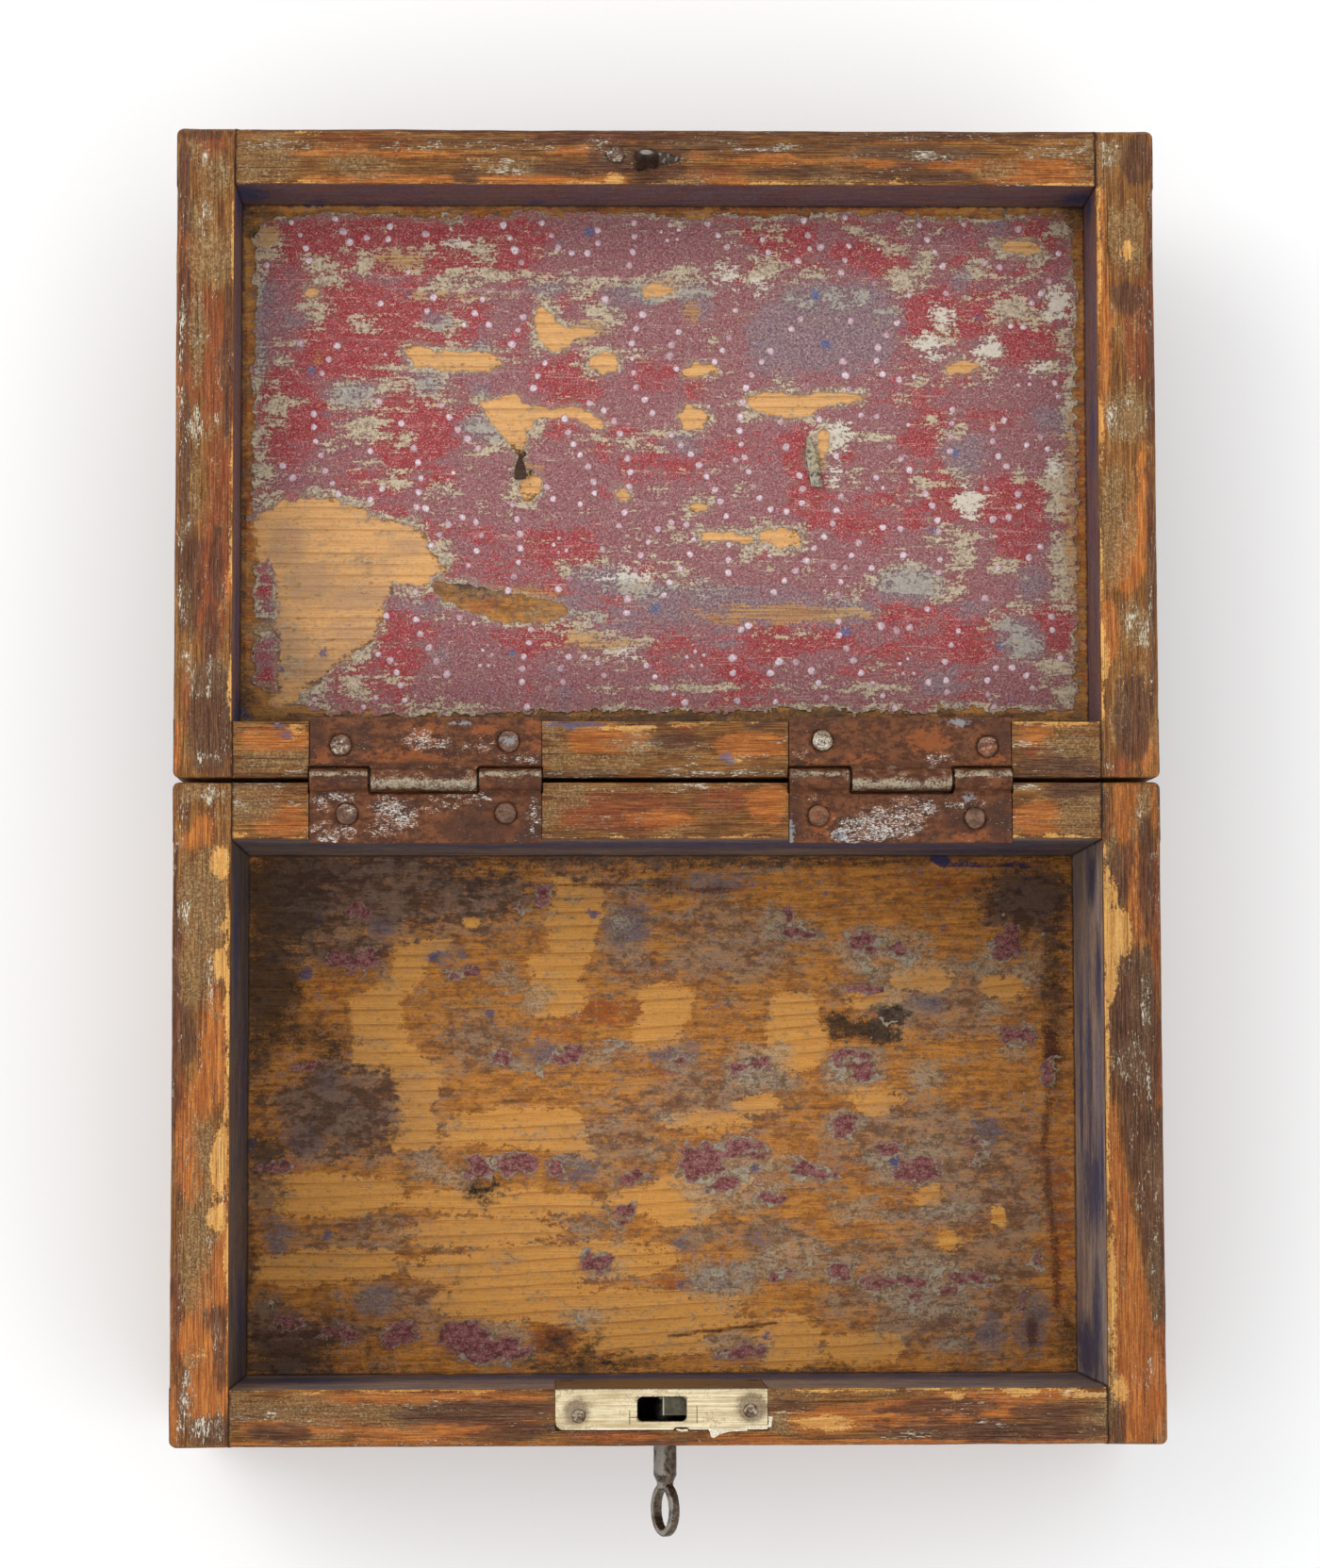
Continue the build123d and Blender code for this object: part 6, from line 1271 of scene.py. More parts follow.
# The stamped dots: centres in pixels of enlarged views; each view has its own corner, and 0.2009 pixels of the frame to one of its own.
DOTS = [
    (245, 195, "318,203 550,185 366,270 592,252 628,308 830,292 840,225 717,285 1028,265 395,340 412,405 187,430 1070,600 790,632 1035,672 1437,218 1473,287 1498,350 1533,415 1515,772 1483,848 1542,703 365,840 560,855 515,928 815,900s 480,1000 1328,610 1287,683 1362,745 437,1215 437,1285 447,1360 1112,1172 1152,1232 900,1265 1250,1348 965,1395 1197,1298 1305,1397 780,1150 935,465 1230,745 1240,437s 1160,237s"),
    (550, 195, "122,207 173,273 208,337 280,365 363,367 418,245 420,312 610,207 612,278 603,360 585,430 13,415 753,253s 785,300s 837,293s 845,243s 797,215s 997,213 1053,272 1100,333 1287,295 1318,362 1505,193 1527,272 1537,343 1475,407 457,610 655,690 620,765 597,843 607,998 620,1075 667,1140 706,1210 140,947 100,1015 80,1078 375,1160 450,1197 503,1253 535,1320 243,1240 262,1313 290,1375 845,783 808,850 797,908 833,977 1145,668 1110,812 1077,880 1035,940 1283,940 1232,1010 1200,1077 1185,1153 1172,1230 1167,1303 1175,1375 1330,883 1440,767 1490,713 807,1327 857,1380 1383,1258 1413,1390 1003,1175s 20,705 600,925s"),
    (855, 195, "205,178 550,165 597,218 832,215 1120,240 10,270 225,328 17,345 76,335 640,295 382,345s 680,360 205,403 185,468 360,525 720,435 948,415 1022,440 1333,368 1283,515 545,590 738,578 1240,580 1193,630 235,725 480,735 1080,752 1146,757 425,800 380,865 195,938 372,935 208,1012 403,1005 490,1035 568,1020s 1133,990s 1182,1020s 1120,1062s 1180,1058s 1333,1125 1313,1052 260,1155 225,1085 772,1192 768,1265 1045,1250 985,1292 290,1222 372,1228 70,1245 1238,1337 765,1335 440,1390 1275,1400 1165,1380 985,1360 540,1273s 760,1412"),
    (245, 475, "735,18 475,40 272,95 497,122 535,188 325,158 962,10 988,78 1003,160 797,218 567,245 737,275 992,235 980,312 1028,320 1222,368 1147,405 1293,393 1322,463 1098,460 1057,515 1297,545 1253,622 1510,378 1527,455 1528,530 1518,605 1493,680 1463,755 973,762 1207,897 1283,927 977,907 1000,983 820,887 1045,1055 777,1090 840,1122 875,1187 1140,1195 1085,1127 895,1255 917,1333 700,1370 440,1330 1545,1103 1537,1167 1537,1237 1487,302 1330,1070s 1378,1092s 1315,1150s 1360,1150s 1175,133s 1145,170s 765,1320"),
    (550, 475, "325,38 575,57 367,100 590,128 395,180 400,240 182,270 325,297 577,275 585,205 560,342 530,412 150,208 735,430 805,395 887,405 685,497 443,535 645,568 617,645 905,563 925,485 855,640 797,712 768,778 267,690 210,747 575,800 570,872 910,35 953,92 993,152 1037,222 1065,283 1097,362 1106,437 1110,512 1108,592 1108,660 1193,50 1215,127 1240,203 1272,265 1330,325 1415,337 1495,292 1500,217 1483,147 1145,65 1520,597 1462,650 1403,703 1347,762 1560,530 65,960 55,1030 27,1103 18,1167 20,1240 265,1105 350,1105 418,1137 222,1165 235,1237 675,1150 452,1203 720,1210 1130,1110l 1132,1190 1175,960 1213,940 1330,1190 1375,1130l 1465,1133l 1545,1178 932,1075s 978,1095s 888,1105s 915,1152s 967,1148s 820,1303 1155,1337 1357,1342 878,1345 775,1270 45,1370 1300,525s 1325,570s 213,478s 185,512s 253,542s 210,553s 8,455 13,530 8,605"),
    (855, 475, "160,45 500,60 545,117 370,158 630,243 665,305 693,382 1118,245 1125,310 1070,367 985,377 185,258 160,330 405,212s 320,215s 140,400 95,470 48,530 405,420 497,427 700,440 277,502 240,568 513,567 707,590 1237,522 1177,580 145,627 207,633 345,635 183,708 700,657 168,778 945,795 640,852 1015,635 1295,892 395,942l 477,965l 547,950l 803,968 170,918 173,990 1300,962 213,1058 765,1042 1343,1110 250,1123 537,1115s 495,1140s 513,1192s 570,1192s 733,1130 290,1190 25,1180 1003,1163 1088,1162 1163,1203 740,1230 352,1245 65,1243 957,1228 645,1240 743,1292 405,1310 105,1322 960,1305 1195,1270 750,1372 993,1368 470,1375 1275,12 1058,98 1015,45 950,215")]


def dots_material():
    m = bpy.data.materials.new("lining_dots")
    n = Nodes(m)
    fine = n.nz(0.5, 3.0, 0.7, 71)
    col = n.mix(n.step(fine, -1.4, 1.4), lin(190, 158, 166), lin(232, 218, 222))
    col = n.mix(n.mul(n.attr("fade"), 0.85), col, n.mix(n.step(fine, -1.0, 1.0), lin(140, 90, 98), lin(172, 126, 130)))
    low = n.step(n.attr("rise"), 0.85, 0.0)
    col = n.mix(n.mul(low, 0.7), col, lin(164, 112, 118))
    n.finish(col, 0.7, n.bump(n.mul(fine, 0.1), 0.2, 0.7), spec=0.3)
    return m


def lining_dots(gx, gy, f):
    rng = np.random.default_rng(8)
    pts = []
    for X0, Y0, row in DOTS:
        for t in row.split():
            kind = t[-1] if t[-1] in "sl" else ""
            cx, cy = (float(v) for v in t.rstrip("sl").split(","))
            px, py = X0 + 0.2009 * cx, Y0 + 0.2009 * cy
            r = {"": 1.08, "s": 0.62, "l": 1.34}[kind]
            if all(math.hypot(px - q[0], py - q[1]) > 4.2 for q in pts):
                pts.append((px, py, r))
    V, T, Q, fade, rise = [], [], [], [], []
    st = gx[1] - gx[0]
    for px, py, r in pts:
        x, y = (float(v) for v in at(px, py, LZ1))
        i, j = int(round((x - gx[0]) / st)), int(round((y - gy[0]) / st))
        if not (0 <= i < f.shape[0] and 0 <= j < f.shape[1]) or f[i, j] < 0.4:
            continue
        r *= 1 + 0.09 * rng.standard_normal()
        zc = float(paper_height(np.array([x]), np.array([y]))[0])
        n = 14
        ang = np.arange(n) * 2 * math.pi / n + rng.random()
        wob = 1 + 0.07 * np.cos(2 * ang + rng.random() * 6) + 0.06 * np.cos(3 * ang + rng.random() * 6) + 0.04 * rng.standard_normal(n)
        base = len(V)
        fd = float(np.clip(rng.normal(0.22, 0.26), 0, 0.9))
        top = (0.30 if r > 0.9 else 0.2) * (1 - 0.35 * fd)
        V.append((x, y, zc + top))
        rise.append(1.0)
        for k, (rr, zz) in enumerate(((0.45, 0.92), (0.8, 0.52), (1.0, 0.0), (1.04, -0.5))):
            for a_, w in zip(ang, wob):
                V.append((x + r * rr * w * math.cos(a_), y + r * rr * w * math.sin(a_), zc + top * zz if zz >= 0 else zc - 0.12))
                rise.append(max(zz, 0.0))
        fade += [fd] * (len(V) - base)
        for k in range(n):
            T.append((base, base + 1 + k, base + 1 + (k + 1) % n))
            for ring in range(3):
                a0, b0 = base + 1 + ring * n, base + 1 + (ring + 1) * n
                Q.append((a0 + k, b0 + k, b0 + (k + 1) % n, a0 + (k + 1) % n))
    make("lid_lining_dots", V, [np.array(T), np.array(Q)], "lid", dots_material(), {"fade": fade, "rise": rise}, sharp=60)


lining_dots(*lining_paper())


def flake_material():
    m = bpy.data.materials.new("lining_scraps")
    n = Nodes(m)
    fine = n.nz(0.7, 4.0, 0.78, 81)
    med = n.nz((2.6, 1.8, 3.0), 5.0, 0.7, 82)
    mar = n.step(n.add(n.attr("maroon"), n.add(n.mul(med, 0.25), n.mul(fine, 0.35))), -0.3, 0.4)
    cr = n.mix(n.step(n.add(n.mul(fine, 0.4), n.mul(med, 0.9)), -1.6, 1.4), lin(134, 112, 86), lin(188, 176, 152))
    cr = n.mix(n.mul(n.step(med, 0.2, 1.6), 0.5), cr, lin(124, 108, 100))
    mr = n.mix(n.step(n.add(med, n.mul(fine, 0.5)), -1.4, 1.4), lin(102, 47, 51), lin(144, 80, 81))
    mr = n.mix(n.mul(n.step(n.add(fine, n.mul(med, 0.4)), 0.5, 1.7), 0.6), mr, lin(168, 138, 126))
    col = n.mix(n.mul(mar, 0.92), cr, mr)
    col = n.mix(n.mul(n.step(n.add(n.attr("blue"), n.mul(fine, 0.4)), -0.2, 0.5), 0.8), col, lin(70, 84, 124))
    h = n.add(n.mul(fine, 0.06), n.add(n.mul(med, 0.07), n.mul(mar, 0.3)))
    n.finish(col, 0.8, n.bump(h, 0.2, 0.9), spec=0.12)
    return m


def lining_scraps():
    """What is left on the tray's floor: red film with a rim of pale torn paper, and patches of the pale layer alone."""
    st = 0.6
    x, y = np.arange(-131, 131.01, st), np.arange(-81.6, 81.7, st)
    X, Y = np.meshgrid(x, y, indexing="ij")
    fx, fy = X.ravel(), Y.ravel()
    wx, wy = warped(fx, fy, 1.3)
    p = np.stack([fx, fy, np.zeros_like(fx)], 1)
    rag = 5.5 * fbm(p, np.array([6.0, 3.2, 5.0]), 241, 5, 0.66)
    rag2 = 4.2 * fbm(p, np.array([7.5, 4.0, 5.0]), 245, 5, 0.68)
    mv = spots(wx, wy, FLOOR_MARKS["maroon"], BT) * 1.1 + 1.3 * rag - 0.35
    cv = spots(wx, wy, FLOOR_MARKS["cream"], BT) + rag2 * 1.5 - 4.0
    halo = 0.62 + 1.5 * fbm(p, 9.0, 246, 3) - 0.6 * smooth(-40.0, -100.0, fx)
    f = np.maximum(np.maximum(mv + halo, mv), cv)
    f = np.where((np.abs(fx) > 130) | (np.abs(fy) > 80.6), -1.0, f)
    shape = X.shape

    def attrs(vx, vy):
        i = np.clip(np.rint((vx - x[0]) / st).astype(int), 0, shape[0] - 1)
        j = np.clip(np.rint((vy - y[0]) / st).astype(int), 0, shape[1] - 1)
        return {"maroon": np.clip(mv.reshape(shape)[i, j], -3, 3), "blue": spots(vx, vy, FLOOR_MARKS["blue"], BT)}

    ob = film_piece("tray_lining_scraps", x, y, f.reshape(shape), lambda a, b: BT + 0.10 + 0.04 * noise(np.stack([a, b, a * 0], 1), 6.0, 244), BT - 0.4, "tray", flake_material(), attrs)
    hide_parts("tray_lining_remnants")


lining_scraps()


# ------------------------------------------------------------------ metal
def remeshed(node, voxel):
    """A fine, even mesh of one piece of the construction: vertices in millimetres, faces, unit normals."""
    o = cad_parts[node]
    me = bpy.data.meshes.new_from_object(o.evaluated_get(bpy.context.evaluated_depsgraph_get()))
    me.transform(Matrix.Scale(1000.0, 4) @ o.matrix_world)
    tmp = bpy.data.objects.new("remesh_tmp", me)
    bpy.context.scene.collection.objects.link(tmp)
    md = tmp.modifiers.new("r", "REMESH")
    md.mode, md.voxel_size, md.adaptivity = "VOXEL", voxel, 0.0
    ev = bpy.data.meshes.new_from_object(tmp.evaluated_get(bpy.context.evaluated_depsgraph_get()))
    v = np.zeros(len(ev.vertices) * 3)
    ev.vertices.foreach_get("co", v)
    nr = np.zeros(len(ev.vertices) * 3)
    ev.vertex_normals.foreach_get("vector", nr)
    size = np.zeros(len(ev.polygons), np.int64)
    ev.polygons.foreach_get("loop_total", size)
    idx = np.zeros(len(ev.loops), np.int64)
    ev.loops.foreach_get("vertex_index", idx)
    start = np.cumsum(size) - size
    faces = [idx[start[size == k][:, None] + np.arange(k)] for k in (3, 4) if (size == k).any()]
    bpy.data.objects.remove(tmp)
    bpy.data.meshes.remove(me)
    bpy.data.meshes.remove(ev)
    return v.reshape(-1, 3), faces, nr.reshape(-1, 3)


def relax(v, faces, rounds=2, k=0.5, keep=None):
    """Laplacian smoothing, to take the stair steps off."""
    q = [f for f in faces]
    e = np.concatenate([np.stack([f[:, i], f[:, (i + 1) % f.shape[1]]], 1) for f in q for i in range(f.shape[1])])
    e = np.concatenate([e, e[:, ::-1]])
    cnt = np.bincount(e[:, 0], minlength=len(v))[:, None].astype(float)
    for _ in range(rounds):
        s = np.zeros_like(v)
        for a in range(3):
            s[:, a] = np.bincount(e[:, 0], v[e[:, 1], a], minlength=len(v))
        nv = v + k * (s / np.maximum(cnt, 1) - v)
        v = nv if keep is None else np.where(keep[:, None], v, nv)
    return v


METAL_MARKS = dict(
    white=[(383, 448, 862, 887, -28), (395, 430, 845, 870, -30), (455, 517, 839, 850), (331, 373, 874, 892), (331, 345, 846, 862), (413, 476, 776, 793), (495, 520, 787, 797), (440, 500, 851, 860, -10), (883, 984, 860, 893, -8), (900, 940, 856, 880, -20), (840, 858, 794, 801), (860, 870, 846, 852), (940, 990, 845, 870), (980, 1010, 800, 808), (1000, 1040, 850, 856), (530, 570, 800, 810), (350, 380, 840, 850), (560, 572, 850, 880)],
    orange=[(385, 490, 794, 810), (430, 470, 766, 790), (500, 530, 765, 785), (840, 870, 806, 813), (960, 1010, 770, 800), (1035, 1070, 800, 812), (860, 885, 850, 890), (1010, 1050, 880, 892), (560, 574, 764, 800), (890, 950, 800, 812), (330, 350, 790, 811)],
    dark=[(327, 345, 763, 800), (560, 575, 800, 893), (545, 575, 875, 893), (470, 540, 864, 893), (835, 850, 840, 893), (1050, 1073, 764, 790), (1050, 1072, 850, 893), (400, 470, 808, 814), (900, 1000, 808, 814), (1000, 1050, 864, 880)],
    grey=[(480, 500, 764, 769), (999, 1034, 763, 769), (885, 900, 880, 893), (835, 842, 865, 893), (1020, 1032, 842, 850)])
HINGE_NAILS = [(-97.2, 90.3), (-49.2, 90.5), (45.8, 89.7), (93.5, 88.9), (-99.1, 111.3), (-48.3, 112.4), (47.0, 112.6), (97.3, 110.8)]


def iron_material(name, seed, base=((80, 45, 27), (118, 72, 44)), metal=0.08, rough=(0.5, 0.72)):
    """Forged iron, rusted brown, with rubbed and whitened places where the mesh says so; on the hinge knuckles and the
    nail heads some of these are painted highlights and glints.
    """
    m = bpy.data.materials.new(name)
    n = Nodes(m)
    fine = n.nz(0.7, 5.0, 0.8, seed)
    med = n.nz((4.0, 2.4, 3.0), 5.0, 0.7, seed + 1)
    big = n.nz((12.0, 7.0, 7.0), 4.0, 0.6, seed + 2)
    col = n.mix(n.step(n.add(med, n.mul(fine, 0.5)), -1.5, 1.5), lin(*base[0]), lin(*base[1]))
    col = n.mix(n.mul(n.step(n.add(big, n.mul(fine, 0.5)), 0.1, 1.8), 0.5), col, lin(62, 41, 32))
    col = n.mix(n.mul(n.step(n.add(n.sub(n.attr("orange"), 3.0), n.add(n.mul(med, 0.9), n.mul(fine, 0.5))), -0.2, 1.9), 0.6), col, lin(152, 84, 42))
    col = n.mix(n.mul(n.step(n.add(n.sub(n.attr("dark"), 3.0), n.add(n.mul(med, 0.9), n.mul(fine, 0.5))), -1.0, 1.6), 0.55), col, lin(58, 38, 30))
    col = n.mix(n.mul(n.step(n.add(n.sub(n.attr("grey"), 3.0), n.add(n.mul(med, 0.6), n.mul(fine, 0.6))), -0.2, 0.5), 0.8), col, lin(140, 142, 144))
    # dull bare metal where it rubs, and painted highlights where worn marks the knuckles and nail heads
    worn = n.step(n.add(n.attr("worn"), n.add(n.mul(med, 0.10), n.mul(fine, 0.09))), 0.35, 0.8)
    col = n.mix(n.mul(worn, 0.85), col, n.mix(n.step(n.add(fine, n.mul(med, 0.5)), -1.5, 1.5), lin(118, 98, 80), lin(184, 172, 146)))
    # whitish abrasion: many short scratches; on the nail heads the same marks are painted glints
    sc = n.nz((1.1, 0.28, 1.0), 4.0, 0.8, seed + 5)
    dens = n.add(n.mul(n.step(n.add(n.sub(n.attr("white"), 3.0), n.mul(med, 1.0)), -2.0, 1.6), 2.2), n.mul(big, 0.35))
    flk = n.step(n.add(n.add(sc, n.mul(fine, 0.5)), n.sub(dens, 2.75)), 0.0, 0.5)
    col = n.mix(n.mul(flk, 0.9), col, n.mix(n.step(fine, -1.2, 1.2), lin(172, 160, 150), lin(226, 220, 210)))
    pit = n.step(n.sub(n.mul(fine, -1.0), n.mul(med, 0.3)), 1.2, 2.4)
    col = n.mix(n.mul(pit, 0.6), col, lin(52, 32, 28))
    ro = n.sub(n.remap(med, -2.0, 2.0, rough[0], rough[1]), n.mul(worn, 0.14))
    h = n.add(n.mul(fine, 0.12), n.add(n.mul(med, 0.14), n.mul(pit, -0.3)))
    n.finish(col, ro, n.bump(h, 0.12, 0.9), metallic=n.add(n.mul(worn, 0.45), metal), spec=0.2)
    return m


def hinge_leaf(node, lid):
    v, faces, nr = remeshed(node, 0.42)
    v = relax(v, faces, 1, 0.35)
    x, y, z = v.T
    flatp = (nr[:, 2] > 0.7) & (np.abs(y - AXIS_Y) > 4.6)
    sidep = np.abs(nr[:, 2]) < 0.5
    h = -0.06 - 0.10 * np.abs(fbm(v, 13.0, 601, 3)) - 0.16 * np.clip(noise(v, 2.4, 602) - 0.25, 0, 1)
    h = np.where(sidep, -0.22 - 0.22 * fbm(v, 9.0, 603, 3), h)
    for cx, cy in HINGE_NAILS:
        d = np.hypot(x - cx, y - cy)
        h = np.where(flatp & (d < 6), h - 0.30 * np.exp(-((d - 3.62) / 0.26) ** 2) - 0.05 * np.exp(-(d / 4.5) ** 2), h)
    v = v + nr * h[:, None]
    px, py = frame_px(v)
    at_ = {k: 3 + px_marks(px, py, rows, 88.4) for k, rows in METAL_MARKS.items()}
    up = smooth(89.6, 91.9, z)
    kn = np.abs(y - AXIS_Y) < 4.3
    t = (y - AXIS_Y) / 3.6
    blot = 0.22 * fbm(v, 5.0, 604, 3)
    # Along each knuckle's barrel worn paints a highlight band, and the lid's knuckle gets painted shade along its lower
    # edge
    if lid:
        at_["worn"] = np.where(kn, 0.30 + 0.55 * np.exp(-((t + 0.42) / 0.40) ** 2) + blot, 0.0)
        at_["dark"] = np.where(kn & (t < -0.82), 5.0, at_["dark"])
    else:
        at_["worn"] = np.where(kn, 0.12 + 0.60 * np.exp(-((t - 0.45) / 0.32) ** 2) + blot, 0.0)
    ob = make(node + "_old", v, faces, "lid" if lid else "tray", MET["leaf"], at_, sharp=42)
    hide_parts(node)


def frame_px(v):
    """Where points fall in the frame, in its pixels."""
    q = (v - CAM_C) @ CAM_R.T
    return 700 + CAM_F * q[:, 0] / (-q[:, 2]), 831.5 - CAM_F * q[:, 1] / (-q[:, 2])


def px_marks(px, py, rows, z):
    x, y = at(px, py, z)
    wx, wy = warped(np.asarray(x), np.asarray(y), 0.7, 611)
    return spots(wx, wy, rows, z)


def plain_piece(node, voxel, body, mat, pits=0.08, seed=0, tweak=None, rounds=1, attrs=None):
    v, faces, nr = remeshed(node, voxel)
    v = relax(v, faces, rounds, 0.4)
    h = -pits * (0.3 + np.abs(fbm(v, voxel * 12, 620 + seed, 3)) + 0.8 * np.clip(noise(v, voxel * 5, 630 + seed) - 0.1, 0, 1))
    v = v + nr * h[:, None]
    if tweak is not None:
        v = tweak(v, nr)
    ob = make(node + "_old", v, faces, body, mat, attrs(v, nr) if attrs else None, sharp=45)
    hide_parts(node)
    return ob


def nails(node, lid, heads, r_head):
    """Hand-made nail heads are never round: each outline is pulled in by its own pattern."""
    rng = np.random.default_rng(len(node) + int(abs(heads[0][0])))
    shape = [(rng.random(4) * 6.283, rng.random(4)) for _ in heads]

    def tweak(v, nr):
        for (cx, cy), (ph, am) in zip(heads, shape):
            dx, dy = v[:, 0] - cx, v[:, 1] - cy
            d = np.hypot(dx, dy)
            near_ = (d < r_head + 1.2) & (v[:, 2] > 86.3)
            a = np.arctan2(dy, dx)
            k = 1.02 - 0.035 * am[0] * (1 + np.cos(a + ph[0])) - 0.03 * am[1] * (1 + np.cos(2 * a + ph[1])) - 0.02 * (1 + np.cos(3 * a + ph[2])) - 0.015 * (1 + np.cos(5 * a + ph[3]))
            v[:, 0] = np.where(near_, cx + dx * k, v[:, 0])
            v[:, 1] = np.where(near_, cy + dy * k, v[:, 1])
            top = near_ & (v[:, 2] > 87.5)
            v[:, 2] = np.where(top, v[:, 2] - 0.14 * np.clip(d / r_head, 0, 1.1) ** 5 - 0.06 * noise(v, 1.7, 640), v[:, 2])
        return v

    def attrs(v, nr):
        px, py = frame_px(v)
        # On the heads, the white marks are painted glints, and worn lightens the tops, the lock's nails, one hinge nail
        # and one half of another: rubbing together with painted highlights
        white = [(638, 654, 158, 166), (650, 662, 164, 172), (352, 368, 784, 798), (360, 376, 850, 858), (862, 886, 776, 796), (876, 884, 796, 800), (1040, 1052, 784, 790)]
        grey = [(530, 548, 779, 790)]
        return {"white": 3 + px_marks(px, py, white, 88.2), "orange": 3 + px_marks(px, py, [(1038, 1060, 784, 800), (858, 878, 858, 874)], 88.2),
                "dark": np.full(len(v), 1.0), "grey": 2.4 + px_marks(px, py, grey, 88.2), "worn": 0.12 + 0.1 * smooth(87.9, 88.2, v[:, 2]) + (0.42 - 0.1 * noise(v, 1.2, 645)) * (v[:, 1] < -80) + 0.75 * (np.hypot(v[:, 0] - 47.0, v[:, 1] - 112.6) < 4.2) + 0.3 * ((np.hypot(v[:, 0] + 99.1, v[:, 1] - 111.3) < 4.2) & (v[:, 1] < 111.3))}

    plain_piece(node, 0.24, "lid" if lid else "tray", MET["nail"], 0.06, len(node), tweak, 1, attrs)


def brass_material():
    """The lock's plate: pale brass, brushed along its length, tarnished in the dishes round the nails."""
    m = bpy.data.materials.new("lock_brass_old")
    n = Nodes(m)
    x, y, z = n.xyz()
    mm = lambda s: n.mul(s, 1000.0)
    X, Y = mm(x), mm(y)
    fine = n.nz(0.6, 5.0, 0.8, 91)
    brush = n.nz((24.0, 0.6, 5.0), 4.0, 0.7, 92)
    brush2 = n.nz((22.0, 0.5, 1.0), 4.0, 0.7, 93)
    big = n.nz((14.0, 8.0, 12.0), 5.0, 0.65, 94)
    col = n.mix(n.step(n.add(brush, n.mul(big, 0.6)), -1.8, 1.6), lin(190, 168, 126), lin(232, 216, 178))
    col = n.mix(n.mul(n.step(n.add(big, n.mul(fine, 0.5)), 0.4, 2.2), 0.5), col, lin(186, 160, 118))
    col = n.mix(n.mul(n.step(brush2, 1.2, 2.4), 0.5), col, lin(150, 126, 92))
    ring = None
    for cx, cy, r in ((-28.0, -89.9, 3.9), (25.0, -88.9, 4.2)):
        d = n.math("SQRT", n.add(n.math("POWER", n.sub(X, cx), 2.0), n.math("POWER", n.sub(Y, cy), 2.0)))
        k = n.step(n.add(d, n.add(n.mul(fine, 0.35), n.mul(big, 0.4))), r + 1.4, r - 1.0)
        ring = k if ring is None else n.math("MAXIMUM", ring, k)
    col = n.mix(n.mul(ring, 0.8), col, n.mix(n.step(fine, -1.2, 1.2), lin(88, 66, 46), lin(134, 110, 82)))
    # scribed setting-out lines
    for cx, y0, y1 in ((-11.9, -93.5, -89.0), (8.3, -93.2, -87.7)):
        k = n.mul(n.step(n.math("ABSOLUTE", n.sub(X, cx)), 0.22, 0.10), n.mul(n.step(Y, y0, y0 + 0.3), n.step(Y, y1, y1 - 0.3)))
        col = n.mix(n.mul(k, 0.8), col, lin(92, 72, 52))
    k = n.mul(n.step(n.math("ABSOLUTE", n.sub(Y, -91.3)), 0.2, 0.08), n.mul(n.step(X, -12.1, -11.8), n.step(X, -9.4, -9.7)))
    col = n.mix(n.mul(k, 0.8), col, lin(92, 72, 52))
    inner = n.attr("lip")
    col = n.mix(n.mul(n.step(n.add(inner, n.mul(fine, 0.3)), 0.3, 1.0), 0.8), col, lin(70, 54, 42))
    spot = n.step(n.add(fine, n.mul(big, 0.4)), 2.2, 3.0)
    col = n.mix(n.mul(spot, 0.7), col, lin(104, 78, 54))
    # a dark line along the back edge, a bright one along the front
    bk = n.mul(n.step(n.add(Y, n.mul(fine, 0.08)), -83.15, -82.85), 0.8)
    col = n.mix(bk, col, lin(60, 46, 34))
    fr = n.mul(n.step(n.add(Y, n.mul(fine, 0.06)), -94.55, -94.75), 0.7)
    col = n.mix(fr, col, lin(246, 240, 222))
    sm = n.step(n.add(n.add(big, n.mul(fine, 0.6)), n.mul(n.step(Y, -88.5, -84.0), 0.8)), 1.0, 2.4)
    col = n.mix(n.mul(sm, 0.45), col, lin(138, 112, 78))
    low = n.step(mm(z), 87.2, 85.5)
    col = n.mix(n.mul(low, 0.75), col, n.mix(n.step(big, -1.4, 1.6), lin(84, 62, 42), lin(116, 90, 60)))
    h = n.add(n.mul(brush, 0.12), n.mul(fine, 0.08))
    n.finish(col, n.remap(big, -2.0, 2.0, 0.34, 0.5), n.bump(h, 0.06, 0.8), metallic=n.sub(0.4, n.mul(ring, 0.2)), spec=0.4)
    return m


def steel_material(name, seed, a, b, metal=0.55, rough=(0.38, 0.58), painted_highlight_x=None):
    m = bpy.data.materials.new(name)
    n = Nodes(m)
    fine = n.nz(0.5, 5.0, 0.8, seed)
    med = n.nz(2.2, 5.0, 0.7, seed + 1)
    col = n.mix(n.step(n.add(med, n.mul(fine, 0.6)), -1.8, 1.8), lin(*a), lin(*b))
    col = n.mix(n.mul(n.step(n.sub(fine, n.mul(med, 0.5)), 1.2, 2.4), 0.6), col, lin(112, 72, 50))
    col = n.mix(n.mul(n.step(n.add(n.mul(fine, -1.0), n.mul(med, -0.4)), 1.4, 2.6), 0.7), col, lin(38, 33, 31))
    if painted_highlight_x is not None:
        # a painted highlight along the end of the bolt
        col = n.mix(n.mul(n.step(n.mul(n.xyz()[0], 1000.0), painted_highlight_x + 0.55, painted_highlight_x + 0.2), 0.85), col, lin(186, 180, 160))
    # bright where worn says: rubbing, and on the key and the hook a painted highlight
    rub_and_highlight = n.step(n.add(n.attr("worn"), n.mul(fine, 0.08)), 0.35, 0.95)
    col = n.mix(n.mul(rub_and_highlight, 0.62), col, lin(166, 160, 150))
    n.finish(col, n.remap(med, -2.0, 2.0, *rough), n.bump(n.mul(n.add(fine, med), 0.12), 0.08, 0.9), metallic=metal, spec=0.5)
    return m


